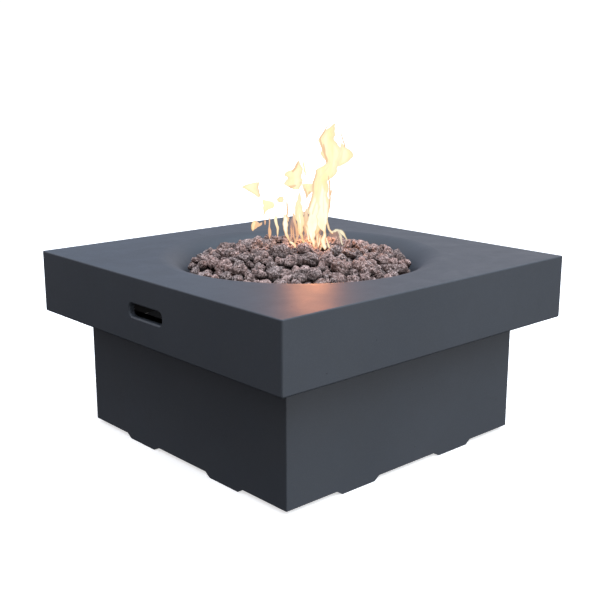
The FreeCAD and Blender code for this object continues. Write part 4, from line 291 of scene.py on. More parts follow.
# --------------------------------------------------------------- lava rock
# Resting places of the stones: centre (mm), half sizes (mm), orientation.
STONES = [
    (-96.2,-221.8,375.2,8.7,7.5,6.2,0.448,0.802,-0.382,-0.104), (-74.1,-172.5,392.7,11.4,9.2,7.7,-0.703,-0.708,0.045,0.048),
    (171.4,-40.0,391.4,9.4,7.5,6.2,0.133,0.976,0.172,0.003), (228.0,-69.6,380.4,18.8,14.5,12.1,-0.044,0.993,0.074,0.083),
    (-59.2,236.6,382.0,14.4,12.8,12.0,0.939,-0.247,-0.238,0.017), (-147.8,56.7,391.6,8.9,8.0,6.6,-0.022,0.993,0.118,-0.014),
    (172.0,-169.0,381.2,17.2,14.3,12.3,0.577,0.767,0.119,0.255), (82.6,-81.9,399.0,20.6,15.4,13.4,0.725,0.655,0.203,0.066),
    (99.4,134.3,394.6,9.7,8.4,7.9,0.574,-0.381,-0.658,-0.304), (-16.7,-48.6,397.7,15.4,11.8,11.5,-0.594,0.011,0.398,0.699),
    (-80.9,223.7,378.5,13.7,11.4,10.0,-0.175,0.182,0.795,-0.551), (-125.6,116.1,393.3,9.5,10.0,8.3,0.459,0.887,-0.024,0.035),
    (-173.8,108.6,395.9,12.2,11.0,10.6,-0.537,-0.816,0.159,-0.140), (40.5,91.4,396.4,16.3,11.4,11.4,0.009,0.364,0.931,-0.006),
    (32.1,-57.9,397.0,18.8,15.6,12.0,-0.766,-0.642,-0.021,0.018), (88.9,-143.3,398.1,21.6,17.8,13.0,-0.011,0.054,0.942,0.330),
    (-37.0,-180.5,392.2,8.1,7.5,6.3,-0.718,0.598,0.234,0.269), (-127.8,-182.3,375.2,10.8,7.6,6.2,0.289,-0.354,-0.792,0.405),
    (128.7,-176.1,386.4,8.5,6.8,5.5,-0.382,-0.178,0.243,0.874), (-128.8,-106.6,393.8,13.3,12.5,8.8,0.862,0.506,0.019,-0.014),
    (9.2,167.8,394.4,11.6,10.6,8.7,-0.301,0.015,0.117,-0.946), (-217.1,64.1,378.9,14.3,15.1,10.8,0.014,0.061,0.329,-0.942),
    (-13.2,80.7,390.6,7.7,6.2,5.4,-0.127,-0.037,-0.991,-0.004), (-149.8,101.0,393.7,12.1,8.7,8.7,-0.027,-0.556,-0.818,-0.143),
    (202.6,36.8,398.7,19.7,17.6,13.5,-0.068,0.021,-0.976,-0.207), (-77.1,121.7,392.0,9.7,8.8,7.0,-0.798,0.602,0.004,-0.031),
    (-224.4,-29.8,376.0,10.8,9.3,7.8,-0.094,-0.102,-0.002,0.990), (-99.1,172.2,395.9,14.4,13.8,10.3,-0.157,0.119,0.004,-0.980),
    (168.7,94.3,392.4,9.0,8.4,6.9,-0.020,-0.292,-0.861,-0.417), (-214.3,-87.1,379.0,14.2,12.5,10.6,-0.184,0.073,-0.083,-0.977),
    (128.0,153.8,392.2,8.1,7.2,6.1,-0.634,0.010,0.181,-0.752), (78.7,-174.5,399.8,19.6,14.7,13.3,0.796,-0.009,-0.102,-0.597),
    (-50.5,136.0,396.2,17.7,12.4,11.2,-0.037,0.133,-0.925,0.353), (-48.8,0.0,392.0,8.1,8.0,5.2,0.589,-0.693,0.309,0.279),
    (73.0,205.6,391.5,11.1,10.1,8.3,0.825,0.502,-0.239,-0.100), (-123.3,-30.5,400.1,20.6,15.1,14.4,0.336,-0.654,0.599,-0.317),
    (-41.1,-89.2,392.7,12.9,11.2,7.7,-0.019,0.001,-0.993,0.116), (40.6,-25.1,399.4,19.6,14.7,12.1,-0.037,-0.579,0.810,0.088),
    (192.2,-142.5,377.9,11.8,10.1,9.2,-0.295,-0.348,0.752,0.476), (-166.8,-59.8,391.6,10.5,7.3,6.3,-0.237,0.011,0.252,0.938),
    (4.1,-120.5,394.8,10.2,8.4,7.1,-0.405,0.477,-0.709,-0.325), (-8.9,9.1,391.9,10.6,8.4,6.9,-0.018,0.038,0.667,0.744),
    (54.0,-168.8,393.3,9.3,8.1,6.2,0.015,0.587,-0.658,-0.471), (167.8,-2.0,396.1,16.6,13.2,10.7,0.984,0.031,0.016,-0.177),
    (45.6,30.9,395.6,15.9,14.9,10.5,0.244,-0.968,-0.042,0.027), (39.5,-223.7,381.6,13.8,13.4,11.6,-0.165,0.755,0.186,-0.607),
    (-84.4,-137.0,395.3,13.0,10.3,10.3,-0.906,-0.271,-0.090,-0.312), (-43.4,62.9,395.1,12.8,9.6,8.2,0.512,-0.412,0.194,-0.729),
    (-55.7,-47.0,394.3,12.2,10.4,8.9,0.115,-0.967,-0.186,-0.131), (118.6,91.8,391.3,10.5,8.1,6.3,-0.038,0.034,0.318,0.947),
    (2.2,-234.2,381.1,14.2,12.5,8.8,-0.362,0.620,-0.689,-0.097), (-197.1,11.2,395.8,13.4,13.6,10.8,0.009,-0.029,0.902,-0.431),
    (73.9,230.7,383.5,18.0,13.9,13.5,0.690,-0.379,-0.536,0.306), (85.4,-42.5,398.6,18.1,16.2,13.5,0.089,-0.049,0.006,-0.995),
    (120.9,4.1,393.1,11.5,10.0,8.0,-0.076,0.046,0.755,0.650), (-13.0,238.3,385.8,18.2,17.7,14.8,0.501,0.356,0.590,0.524),
    (-43.0,-146.5,394.0,11.2,10.8,8.9,0.973,-0.216,-0.057,-0.064), (213.6,91.7,377.4,14.3,11.0,8.7,0.335,-0.903,-0.232,0.137),
    (-93.4,-91.0,397.6,15.9,13.0,12.0,0.435,0.029,0.062,0.898), (-183.3,154.6,380.5,17.9,16.7,12.0,-0.573,0.806,0.138,-0.052),
    (-195.2,-31.5,394.9,13.4,10.1,9.6,-0.767,0.590,0.044,-0.248), (109.3,-86.5,394.4,12.4,12.6,9.2,0.039,0.121,0.242,0.962),
    (131.4,186.5,380.4,16.2,12.3,12.2,0.544,-0.742,-0.241,0.310), (132.0,-120.1,395.6,12.3,9.2,8.2,0.468,0.767,-0.047,0.436),
    (93.3,93.4,392.7,10.1,8.3,7.7,0.644,-0.753,-0.085,0.108), (138.8,54.7,392.0,9.4,10.2,6.8,-0.075,0.130,-0.729,-0.668),
    (-40.0,-218.5,374.4,8.2,7.5,5.9,0.202,-0.937,0.282,0.039), (-31.2,178.4,390.9,7.4,7.1,4.8,0.877,-0.351,0.314,-0.093),
    (-241.4,-1.4,379.3,14.4,10.9,9.5,0.729,0.625,0.166,0.224), (-103.9,99.4,395.5,14.1,11.5,8.8,-0.430,0.015,0.144,-0.891),
    (26.5,189.6,398.4,19.6,17.9,13.2,-0.091,-0.026,-0.260,0.961), (49.5,135.0,395.6,18.8,16.0,10.6,-0.042,-0.009,0.419,0.907),
    (159.0,40.6,397.1,15.3,13.0,12.0,-0.775,-0.608,0.102,0.136), (-21.4,130.9,396.4,15.4,12.7,11.3,0.986,0.123,-0.007,-0.116),
    (192.8,144.3,376.9,12.9,11.1,8.2,-0.139,0.104,-0.482,-0.859), (-50.1,97.2,393.8,11.5,10.2,8.6,0.171,0.977,0.077,0.105),
    (-140.4,195.2,382.1,17.4,14.6,13.0,0.197,-0.372,0.712,-0.562), (79.2,-211.5,380.2,16.2,13.7,10.3,0.808,0.516,0.184,-0.218),
    (-6.1,-161.0,398.2,19.5,16.1,13.1,0.964,-0.259,-0.018,-0.056), (39.3,235.7,379.4,13.1,11.6,7.8,0.581,0.585,-0.310,-0.474),
    (-77.5,-0.7,394.8,10.1,9.2,8.9,0.414,-0.586,-0.658,-0.226), (-185.3,-129.7,378.0,13.7,11.6,10.0,-0.720,-0.692,-0.026,-0.037),
    (-150.5,-132.7,400.0,18.3,15.2,13.8,-0.822,0.246,0.047,-0.512), (127.9,-44.3,392.0,9.9,8.7,6.9,-0.585,-0.805,0.027,-0.095),
    (51.1,-90.3,399.8,19.0,18.3,13.6,0.294,-0.927,-0.044,-0.228), (5.4,-97.1,396.2,17.2,14.0,11.0,-0.115,0.081,0.495,-0.858),
    (69.2,6.7,396.0,16.1,14.4,11.0,0.019,0.042,-0.748,0.663), (217.6,-23.0,374.1,7.7,6.9,5.7,-0.115,-0.239,-0.398,-0.878),
    (-89.3,-46.7,394.3,11.8,10.3,9.2,-0.989,0.038,0.016,0.141), (-114.1,45.3,398.3,17.9,15.7,13.1,-0.079,0.118,0.441,-0.886),
    (-130.7,-6.5,392.2,9.9,7.7,6.4,-0.898,-0.025,0.046,-0.437), (173.5,-90.5,400.2,18.4,15.6,12.9,-0.058,-0.538,-0.836,-0.087),
    (-163.0,58.3,392.1,8.4,6.3,6.3,-0.263,-0.173,0.778,-0.544), (208.0,-5.4,393.7,12.5,11.1,7.6,-0.291,0.914,-0.272,0.078),
    (-56.4,47.7,395.8,12.7,11.2,10.8,0.022,0.030,0.667,-0.744), (93.1,50.2,395.0,12.0,10.4,10.1,0.261,0.965,-0.040,0.013),
    (16.3,-128.9,394.2,9.4,9.2,6.6,0.704,-0.365,0.579,0.188), (16.4,70.0,392.8,10.8,8.1,6.9,-0.267,0.784,-0.537,0.161),
    (-65.2,-197.8,401.8,19.9,17.2,15.3,-0.420,0.014,0.456,-0.784), (-117.9,75.9,395.4,14.3,11.0,10.2,0.547,-0.794,-0.211,0.161),
    (-194.2,62.8,394.1,12.7,11.6,8.6,-0.095,-0.138,-0.848,0.503), (-34.1,79.8,393.6,13.1,10.6,8.6,-0.048,-0.064,-0.982,-0.172),
    (-109.5,148.1,404.4,20.0,16.2,15.1,0.202,-0.518,0.346,0.756), (-5.0,-202.5,396.4,13.9,11.3,10.5,0.274,0.222,-0.924,-0.145),
    (197.7,106.7,377.8,12.2,11.2,8.5,0.095,-0.323,-0.921,-0.195), (55.6,-127.8,397.2,15.5,16.5,11.3,-0.852,0.472,-0.171,-0.148),
    (-115.7,-217.6,383.9,16.8,14.3,10.3,0.587,0.612,-0.531,-0.017), (213.3,-52.9,392.4,14.3,11.1,10.0,-0.069,0.067,0.351,0.931),
    (-70.5,88.4,393.3,11.1,8.6,7.2,-0.854,0.006,-0.018,-0.519), (191.3,8.9,392.9,10.5,10.8,7.5,0.157,0.077,0.920,-0.352),
    (-141.8,122.5,391.7,8.8,7.2,5.7,-0.173,-0.403,0.744,0.503), (-153.5,-106.6,392.4,10.2,10.0,7.3,-0.421,-0.901,-0.068,-0.083),
    (9.5,-39.9,397.1,17.5,12.8,11.5,0.589,-0.724,0.313,-0.176), (-158.5,-77.3,394.7,12.7,12.7,9.5,0.027,-0.112,0.646,0.754),
    (149.2,-105.9,395.5,13.5,13.4,10.1,0.463,0.871,-0.108,-0.128), (59.0,60.5,401.3,22.5,16.1,13.9,0.201,0.260,0.137,0.934),
    (143.3,-185.2,378.3,16.0,12.7,10.1,0.108,-0.069,0.670,-0.731), (-204.4,-110.3,379.5,18.1,12.8,11.2,-0.981,-0.063,-0.065,0.174),
    (150.5,-41.6,393.9,12.1,9.1,8.9,0.200,0.014,-0.084,-0.976), (-234.7,43.1,376.3,12.7,10.8,8.1,0.392,-0.913,-0.097,0.058),
    (97.2,219.7,378.2,14.5,11.7,9.2,0.545,-0.794,-0.268,0.039), (15.4,-248.6,386.5,14.2,13.7,9.7,0.329,-0.634,0.650,0.257),
    (-100.8,121.2,404.0,19.7,15.8,11.9,0.361,0.568,-0.620,0.402), (70.2,41.0,390.8,7.4,7.1,5.8,0.043,0.056,-0.530,0.845),
    (-147.5,-17.4,396.0,14.0,11.9,9.8,0.943,0.043,0.193,-0.267), (70.4,-23.3,390.3,9.2,7.8,5.3,0.035,0.999,-0.000,0.000),
    (-21.7,-242.6,380.8,13.3,12.6,9.7,0.088,-0.320,-0.361,0.871), (19.3,107.9,393.2,14.6,12.0,8.1,0.060,-0.013,0.954,-0.294),
    (101.4,70.9,394.9,14.3,10.4,9.9,0.156,-0.079,0.518,-0.837), (60.9,-60.4,401.3,16.9,13.1,12.9,-0.419,-0.344,-0.514,0.665),
    (76.8,111.1,401.1,17.6,16.1,14.6,0.588,0.184,-0.474,-0.629), (-57.3,-108.9,401.7,19.1,19.3,14.4,0.793,-0.500,0.139,-0.319),
    (14.9,239.3,378.6,15.4,13.1,10.3,-0.726,-0.679,-0.087,0.067), (-153.5,-184.0,376.8,10.6,10.0,8.5,-0.747,0.659,-0.039,-0.076),
    (172.2,119.6,390.9,9.6,7.5,5.9,0.425,-0.902,-0.050,0.058), (103.1,26.8,393.3,10.9,9.1,8.3,-0.648,-0.761,0.001,0.038),
    (-39.4,-17.3,397.6,15.4,12.6,12.6,0.434,-0.891,0.078,-0.106), (137.0,-16.3,397.1,15.2,13.7,11.8,-0.151,0.123,0.329,-0.924),
    (-17.0,-76.5,394.4,13.3,12.7,9.3,0.047,0.996,-0.069,0.036), (-230.9,-66.0,379.2,18.2,14.2,10.3,0.937,0.304,-0.085,0.148),
    (-6.8,107.4,394.4,12.6,11.0,9.4,0.056,-0.063,-0.987,-0.135), (-156.0,14.9,397.1,16.7,15.0,12.1,0.535,0.843,0.033,0.043),
    (137.0,-59.7,391.3,9.0,8.1,6.1,0.141,-0.038,0.988,-0.044), (-36.1,-112.1,391.3,9.3,8.4,6.2,-0.932,-0.353,-0.082,0.018),
    (99.8,177.9,394.1,11.2,9.5,6.9,0.606,0.587,0.275,0.461), (119.2,-167.6,394.0,12.5,9.3,8.2,-0.862,-0.242,-0.002,0.444),
    (-83.2,-22.4,401.1,19.3,16.6,13.9,-0.284,-0.850,-0.434,0.091), (147.2,168.0,376.2,11.6,10.7,8.2,-0.007,-0.016,-0.751,-0.660),
    (164.6,-70.8,392.8,10.3,7.8,6.7,0.049,-0.540,-0.779,0.314), (-106.6,-72.3,392.8,10.8,11.3,7.8,0.419,0.907,-0.041,-0.029),
    (-27.9,159.5,401.1,20.5,16.1,13.4,0.005,-0.760,0.646,0.067), (-101.8,-129.0,390.5,8.0,5.6,5.5,0.342,0.912,-0.214,-0.079),
    (-32.1,12.9,396.8,16.5,15.5,11.6,-0.567,-0.819,0.083,0.024), (-111.9,-143.0,391.8,8.3,7.2,6.8,0.071,0.099,-0.622,-0.773),
    (139.4,117.0,395.4,12.4,10.7,8.7,0.402,-0.740,-0.509,0.178), (-47.4,-237.8,384.2,17.3,14.4,14.1,-0.514,0.413,0.161,-0.734),
    (-97.5,199.6,376.1,13.2,10.3,7.7,0.973,0.147,0.083,0.157), (-138.7,-173.2,373.3,9.0,6.4,5.3,0.000,0.000,0.879,-0.476),
    (-61.8,15.1,395.6,14.7,12.8,10.5,0.955,-0.280,0.048,0.090), (-202.9,38.3,395.5,13.8,14.4,10.0,0.294,-0.939,-0.022,-0.177),
    (-64.0,213.7,397.0,17.9,17.2,14.0,-0.157,0.084,-0.230,-0.957), (140.3,19.4,395.5,17.3,12.2,10.3,-0.643,-0.748,-0.105,-0.125),
    (-139.4,-203.9,386.7,16.9,13.0,11.5,-0.293,0.712,-0.179,-0.613), (-62.0,-70.3,395.3,16.9,13.8,9.7,0.922,-0.347,0.100,-0.142),
    (-222.4,-12.5,374.4,10.4,7.9,6.4,-0.967,0.240,0.020,-0.087), (-132.9,137.1,393.1,11.1,9.8,7.4,-0.200,-0.041,0.960,-0.191),
    (156.5,69.4,393.6,13.5,11.7,8.7,0.012,-0.006,0.855,-0.519), (60.4,-153.4,396.7,14.2,12.7,9.4,-0.183,-0.865,0.452,0.122),
    (9.8,-147.2,390.6,7.3,5.7,5.6,-0.016,0.192,0.978,-0.084), (-200.4,126.1,385.9,19.8,16.9,15.2,0.861,0.311,0.338,-0.220),
    (-65.2,-148.0,398.6,14.7,11.2,10.4,-0.566,-0.184,0.541,-0.594), (-68.1,105.0,390.7,7.0,6.6,5.7,-0.910,0.415,-0.014,-0.013),
    (-186.3,-47.0,390.6,8.1,6.7,5.0,-0.202,-0.187,0.457,0.846), (-62.9,151.6,392.6,8.1,7.7,6.6,-0.205,-0.798,-0.468,-0.319),
    (41.0,-183.8,397.0,15.8,12.0,11.0,-0.184,0.444,0.873,-0.082), (23.1,-80.7,414.4,18.0,16.6,14.3,0.238,-0.100,-0.167,0.951),
    (66.0,171.6,392.9,10.9,10.8,7.9,-0.710,-0.703,0.031,-0.028), (10.8,-3.6,396.5,15.3,11.3,9.3,0.582,0.180,-0.014,-0.793),
    (-13.6,186.4,400.2,19.6,15.9,13.9,-0.787,0.470,0.094,-0.388), (110.9,-132.2,391.2,8.5,6.6,6.2,0.008,0.999,0.034,0.015),
    (192.3,89.1,398.7,19.5,16.7,13.0,0.978,-0.078,-0.194,-0.008), (27.5,154.5,398.2,14.7,13.0,8.7,0.496,-0.092,-0.835,0.222),
    (-56.3,-30.5,391.0,7.1,7.5,6.0,0.534,0.842,0.077,-0.028), (-155.3,70.3,392.2,8.3,6.6,5.8,0.837,-0.153,0.433,-0.296),
    (126.8,-200.8,375.7,10.7,8.2,7.6,-0.199,-0.131,0.630,0.739), (-102.9,-13.3,393.0,8.2,8.0,5.7,0.221,0.752,0.361,-0.505),
    (-17.1,-119.6,394.8,12.4,12.7,9.8,-0.754,0.651,0.053,-0.074), (25.5,-96.7,390.9,9.2,7.2,5.9,0.016,0.064,-0.747,0.662),
    (190.6,-116.0,379.9,16.6,12.2,10.6,0.772,0.377,-0.206,-0.468), (50.7,220.9,396.1,19.5,15.4,13.7,-0.204,0.027,0.617,-0.760),
    (201.7,-33.2,396.9,15.8,12.2,11.5,0.147,-0.002,0.921,-0.362), (-199.7,-8.1,390.7,7.5,6.8,5.7,-0.059,-0.069,-0.136,-0.986),
    (63.5,-195.0,393.3,13.9,10.2,8.2,-0.992,0.039,-0.015,0.117), (172.8,-139.6,379.9,13.0,11.7,9.3,0.491,0.637,-0.197,-0.561),
    (73.7,-155.4,413.4,11.5,9.7,7.9,0.971,0.061,0.048,-0.226), (50.8,-43.1,403.6,9.4,7.3,5.9,-0.046,-0.434,-0.899,0.044),
    (-188.0,-93.8,396.6,17.1,15.5,11.5,-0.045,0.025,-0.943,0.329), (-132.2,-8.9,408.4,9.2,9.1,7.5,0.104,0.655,0.542,0.516),
    (140.6,165.5,393.5,11.8,10.6,9.8,0.518,0.839,-0.147,-0.078), (-65.2,-171.5,409.3,11.1,9.4,8.2,0.808,-0.172,0.464,0.320),
    (-127.9,-141.5,391.7,7.5,6.3,5.7,-0.372,-0.497,0.230,0.750), (-42.4,115.1,395.2,13.4,10.1,8.6,0.055,0.784,-0.613,0.081),
    (-37.8,-92.0,408.8,8.6,7.8,6.4,0.677,0.246,0.383,0.578), (-27.2,-226.0,373.6,7.9,6.2,5.3,-0.079,0.269,-0.957,-0.072),
    (30.7,74.0,412.7,18.9,13.4,13.4,-0.053,0.629,-0.384,-0.674), (7.7,-66.6,392.6,10.7,10.0,7.6,0.332,0.942,-0.051,0.016),
    (211.1,123.6,380.7,12.0,9.8,9.0,0.543,-0.545,-0.627,-0.122), (-0.5,-135.5,405.3,14.3,10.9,10.7,-0.760,0.194,-0.078,-0.616),
    (-61.3,-234.2,405.9,16.4,14.2,11.0,-0.299,0.408,0.712,-0.487), (180.4,162.4,377.0,11.6,10.0,7.7,-0.173,0.071,0.723,-0.665),
    (-53.6,81.2,392.1,7.3,7.3,5.3,0.585,-0.008,0.363,0.725), (21.6,-231.2,393.1,10.9,11.0,8.6,-0.523,0.420,-0.129,-0.730),
    (-133.1,-80.6,395.5,13.0,10.8,9.0,0.023,0.532,-0.839,-0.109), (4.2,86.9,404.5,19.1,16.6,13.4,0.480,0.104,-0.091,0.866),
    (75.2,-112.1,407.3,16.7,13.5,11.5,-0.895,0.282,0.273,-0.214), (107.1,229.5,390.3,7.3,6.1,5.3,-0.120,0.635,-0.753,-0.123),
    (-99.5,-181.7,397.8,18.1,17.3,12.7,-0.010,0.094,-0.960,0.265), (128.6,-145.5,400.3,17.0,17.7,11.9,0.900,-0.125,0.210,0.362),
    (180.9,-53.9,397.1,14.5,11.4,9.4,0.587,0.435,-0.103,-0.675), (222.4,104.3,396.1,18.9,13.9,12.7,0.295,0.535,0.547,0.572),
    (-222.1,-10.9,396.1,16.5,15.2,14.1,-0.802,0.054,-0.200,0.560), (215.5,-101.4,378.3,16.6,12.8,10.3,-0.912,0.406,-0.026,-0.053),
    (-34.8,237.6,373.9,9.7,6.8,5.6,-0.150,0.983,0.107,0.016), (-109.6,-52.7,392.5,8.8,8.0,7.3,0.299,-0.020,0.341,-0.891),
    (31.5,-112.9,394.1,11.9,9.8,8.5,0.947,-0.054,-0.122,-0.291), (-167.5,-38.6,397.6,15.3,12.3,11.4,0.405,-0.865,-0.012,-0.295),
    (-114.2,-192.5,377.1,12.3,9.2,7.2,0.488,0.079,0.434,0.754), (65.0,-234.6,388.9,18.8,16.7,14.9,-0.568,0.436,-0.418,-0.559),
    (0.0,44.0,393.1,9.8,9.2,7.9,-0.969,-0.117,-0.042,0.212), (1.9,-185.0,391.2,9.2,6.7,6.2,0.000,-0.000,-0.092,0.996),
    (33.8,-129.6,392.0,7.5,7.5,6.2,0.434,0.786,-0.231,-0.374), (161.0,-22.3,393.8,11.0,8.9,7.6,-0.771,0.241,-0.136,0.573),
    (-136.5,168.1,401.4,20.0,18.1,12.7,0.054,-0.379,0.407,-0.830), (124.6,-181.0,373.8,7.7,6.1,5.6,-0.402,-0.090,0.151,0.898),
    (151.7,-96.8,419.4,18.0,14.5,12.7,-0.268,-0.490,0.579,0.594), (-101.5,-155.5,394.9,13.8,10.0,8.0,-0.473,0.813,0.326,0.095),
    (6.3,-186.5,416.7,18.6,18.4,15.5,0.669,0.406,-0.398,0.478), (-63.7,30.7,408.5,10.5,11.1,7.9,0.187,0.296,-0.010,-0.937),
    (123.8,-102.5,393.3,9.4,8.2,8.1,0.672,-0.700,0.055,0.234), (-61.0,176.8,399.6,17.8,19.4,14.5,-0.997,0.020,-0.064,-0.027),
    (-18.2,217.3,406.5,16.3,15.8,11.9,-0.470,0.146,0.084,-0.866), (17.9,168.5,410.0,9.8,9.0,7.5,0.970,-0.192,0.010,-0.146),
    (226.6,20.4,384.0,21.4,16.1,13.1,-0.617,-0.497,-0.307,-0.526), (-146.7,-54.0,397.1,15.0,13.1,11.1,0.749,0.606,-0.269,0.022),
    (-79.9,27.6,394.1,11.3,9.6,6.7,-0.743,-0.430,-0.170,-0.484), (179.5,50.2,408.5,10.5,10.1,8.5,-0.064,-0.221,-0.210,0.950),
    (92.4,-15.5,397.3,13.9,13.3,10.4,-0.113,0.391,0.812,0.419), (-90.9,136.6,413.2,7.4,5.7,5.4,0.419,-0.490,-0.201,0.738),
    (-41.7,-153.0,411.7,10.0,10.0,8.3,-0.362,0.664,0.028,-0.654), (-176.0,-10.5,401.9,19.9,16.6,14.6,0.053,0.209,-0.093,-0.972),
    (218.1,-16.6,386.0,8.7,8.0,6.3,-0.477,-0.760,0.285,0.336), (-128.4,97.8,390.4,8.6,7.2,5.4,-0.000,-0.000,0.429,0.903),
    (-175.9,41.0,400.0,16.9,15.1,13.2,-0.347,0.412,0.404,-0.739), (-21.6,-97.9,399.6,13.1,13.3,9.0,0.816,0.194,-0.003,-0.545),
    (18.5,131.4,401.7,15.2,12.5,11.3,-0.279,0.219,-0.925,-0.132), (95.6,127.8,413.4,13.9,11.7,9.7,0.036,-0.566,0.785,0.248),
    (135.3,43.4,407.0,13.3,10.9,9.0,0.741,-0.243,-0.597,-0.187), (80.6,82.3,406.5,14.6,12.7,11.8,-0.881,0.196,0.115,-0.415),
    (-34.3,-39.3,392.9,10.8,8.5,7.2,0.222,-0.897,0.353,-0.144), (26.2,221.0,388.1,12.5,10.3,9.5,0.173,-0.777,0.073,-0.601),
    (83.0,188.3,391.5,8.6,7.3,6.4,-0.992,-0.012,0.101,0.070), (124.8,73.1,397.3,15.4,12.2,10.8,0.046,-0.286,0.120,-0.949),
    (46.8,164.6,399.6,14.6,12.8,10.6,-0.562,-0.133,0.687,-0.440), (153.2,141.9,395.6,13.6,11.4,10.2,0.945,-0.187,0.159,-0.217),
    (-142.4,39.9,408.9,19.1,16.9,15.0,-0.275,-0.688,-0.583,-0.331), (-212.7,-56.6,392.1,12.0,11.0,10.2,-0.187,-0.134,-0.416,0.880),
    (2.5,123.9,392.7,9.9,8.3,7.0,-0.844,0.392,0.060,-0.362), (-92.5,212.1,385.2,8.1,6.6,5.6,-0.315,0.292,0.168,-0.888),
    (98.0,-192.5,394.3,13.6,13.5,8.9,0.767,0.411,0.132,-0.474), (-220.2,89.5,377.6,11.8,9.7,9.0,-0.103,-0.465,0.876,0.084),
    (-138.5,76.3,397.7,14.5,12.6,8.7,0.573,0.401,-0.300,-0.649), (204.5,-52.9,408.6,11.9,10.4,7.1,-0.043,-0.230,0.500,0.834),
    (-247.8,27.0,382.1,9.3,9.5,7.5,-0.643,-0.344,-0.461,-0.506), (-58.8,-12.8,391.1,9.0,7.4,6.1,0.022,-0.066,-0.961,0.269),
    (-94.6,71.6,402.5,20.8,16.9,13.9,-0.415,0.727,0.247,-0.488), (77.3,37.2,410.4,19.9,15.4,14.2,-0.359,0.555,-0.413,0.626),
    (-103.7,-110.6,393.3,11.5,8.5,8.1,-0.091,0.856,-0.507,0.047), (87.8,-58.8,424.2,18.6,17.1,14.3,-0.014,-0.141,-0.739,-0.659),
    (27.2,17.1,398.3,8.6,7.9,6.8,-0.230,-0.615,-0.314,-0.685), (109.2,-45.0,391.1,8.9,6.3,5.7,-0.136,0.522,-0.806,0.243),
    (40.5,2.2,401.4,17.2,16.1,12.4,-0.699,-0.056,-0.436,-0.563), (-169.9,-151.7,377.5,12.9,9.4,9.6,0.897,-0.424,-0.037,0.118),
    (149.1,186.1,373.7,7.4,5.7,5.5,0.189,0.072,0.873,0.443), (-88.9,196.3,400.5,17.4,15.3,11.4,0.859,-0.020,-0.420,0.290),
    (-85.3,11.7,391.7,7.9,6.7,5.7,0.069,-0.778,0.596,-0.183), (-159.4,128.5,390.9,8.0,8.7,5.9,-0.048,0.059,-0.984,-0.158),
    (176.9,68.8,402.2,9.1,8.5,7.4,-0.203,-0.796,-0.262,0.506), (-14.2,-20.6,407.7,20.4,17.4,13.6,0.141,0.415,-0.130,0.889),
    (102.6,1.3,394.1,10.3,9.4,7.2,-0.287,-0.778,0.517,0.212), (-182.1,87.1,395.0,10.6,9.5,8.5,0.190,-0.495,-0.642,-0.553),
    (130.2,137.2,403.2,16.1,13.8,10.5,-0.883,-0.426,-0.161,-0.111), (118.3,21.1,409.1,18.3,16.0,12.4,0.012,0.031,0.740,0.672),
    (206.6,10.9,400.7,8.7,9.3,7.4,0.675,0.175,0.585,-0.414), (-50.4,-167.6,398.6,14.2,12.3,8.7,-0.255,0.690,-0.163,0.657),
    (58.2,191.2,396.2,12.7,10.0,9.9,-0.519,-0.767,0.288,-0.244), (-66.7,-0.1,416.7,18.6,16.2,11.3,0.153,-0.041,-0.528,-0.834),
    (-11.8,-221.9,387.8,13.3,11.4,9.6,0.088,0.831,-0.450,0.315), (105.0,-111.5,401.9,17.9,17.7,13.3,0.348,0.780,0.504,0.130),
    (204.4,141.0,390.9,12.3,9.6,7.5,0.635,-0.732,0.086,-0.231), (237.3,-31.3,382.9,15.1,12.2,11.9,0.054,0.643,0.319,-0.694),
    (112.1,-20.2,391.0,8.7,7.1,6.0,-0.074,0.006,-0.157,-0.985), (117.7,170.6,394.5,13.0,11.9,9.3,0.636,-0.763,-0.036,-0.108),
    (120.2,53.7,393.7,9.4,9.4,6.7,-0.361,0.800,0.233,0.418), (17.1,11.6,390.5,7.2,5.8,5.4,-0.098,0.083,-0.451,-0.883),
    (-103.0,-35.0,393.8,9.3,8.1,6.2,0.179,-0.715,-0.292,0.609), (-239.5,65.2,379.9,8.5,8.1,7.0,0.594,-0.558,-0.363,-0.451),
    (-19.3,-251.9,397.3,8.1,6.6,5.6,0.399,0.277,0.872,-0.060), (-86.8,-66.4,405.6,14.6,14.1,11.5,-0.809,-0.085,-0.199,-0.547),
    (24.2,-139.6,392.2,7.3,7.3,6.4,0.502,-0.365,-0.602,0.502), (110.6,-188.2,374.4,7.7,6.9,4.7,0.200,0.330,-0.574,0.722),
    (-19.2,61.7,404.3,20.2,17.7,13.4,0.144,0.261,-0.624,0.723), (36.6,-42.9,414.5,11.9,10.4,8.5,-0.702,-0.699,0.038,-0.127),
    (-123.2,97.2,410.3,15.9,14.4,11.4,-0.917,0.382,-0.023,0.115), (63.3,208.8,373.7,7.2,6.0,5.0,0.180,-0.873,0.442,-0.098),
    (86.0,-1.1,412.7,13.7,12.2,10.3,0.374,0.156,-0.643,-0.650), (68.5,-133.4,418.2,14.2,13.2,10.4,0.875,-0.323,-0.201,-0.301),
    (230.0,74.9,383.0,17.2,15.8,11.6,-0.104,0.908,0.396,0.092), (105.7,-211.4,380.6,14.9,10.1,9.8,-0.327,0.228,-0.899,-0.184),
    (-174.4,69.6,393.9,9.8,9.5,8.2,-0.309,-0.204,-0.880,-0.297), (165.8,-47.7,400.9,8.9,6.7,6.8,0.619,-0.545,-0.537,-0.178),
    (82.3,-23.7,414.0,11.2,9.8,7.0,-0.236,-0.773,-0.549,-0.214), (-160.7,-95.6,412.5,19.5,15.1,15.1,-0.324,0.885,-0.110,0.315),
    (117.2,-61.8,395.0,15.0,11.9,9.0,-0.229,-0.010,0.624,-0.747), (58.8,82.4,424.9,18.3,17.2,14.7,0.261,0.099,-0.939,-0.202),
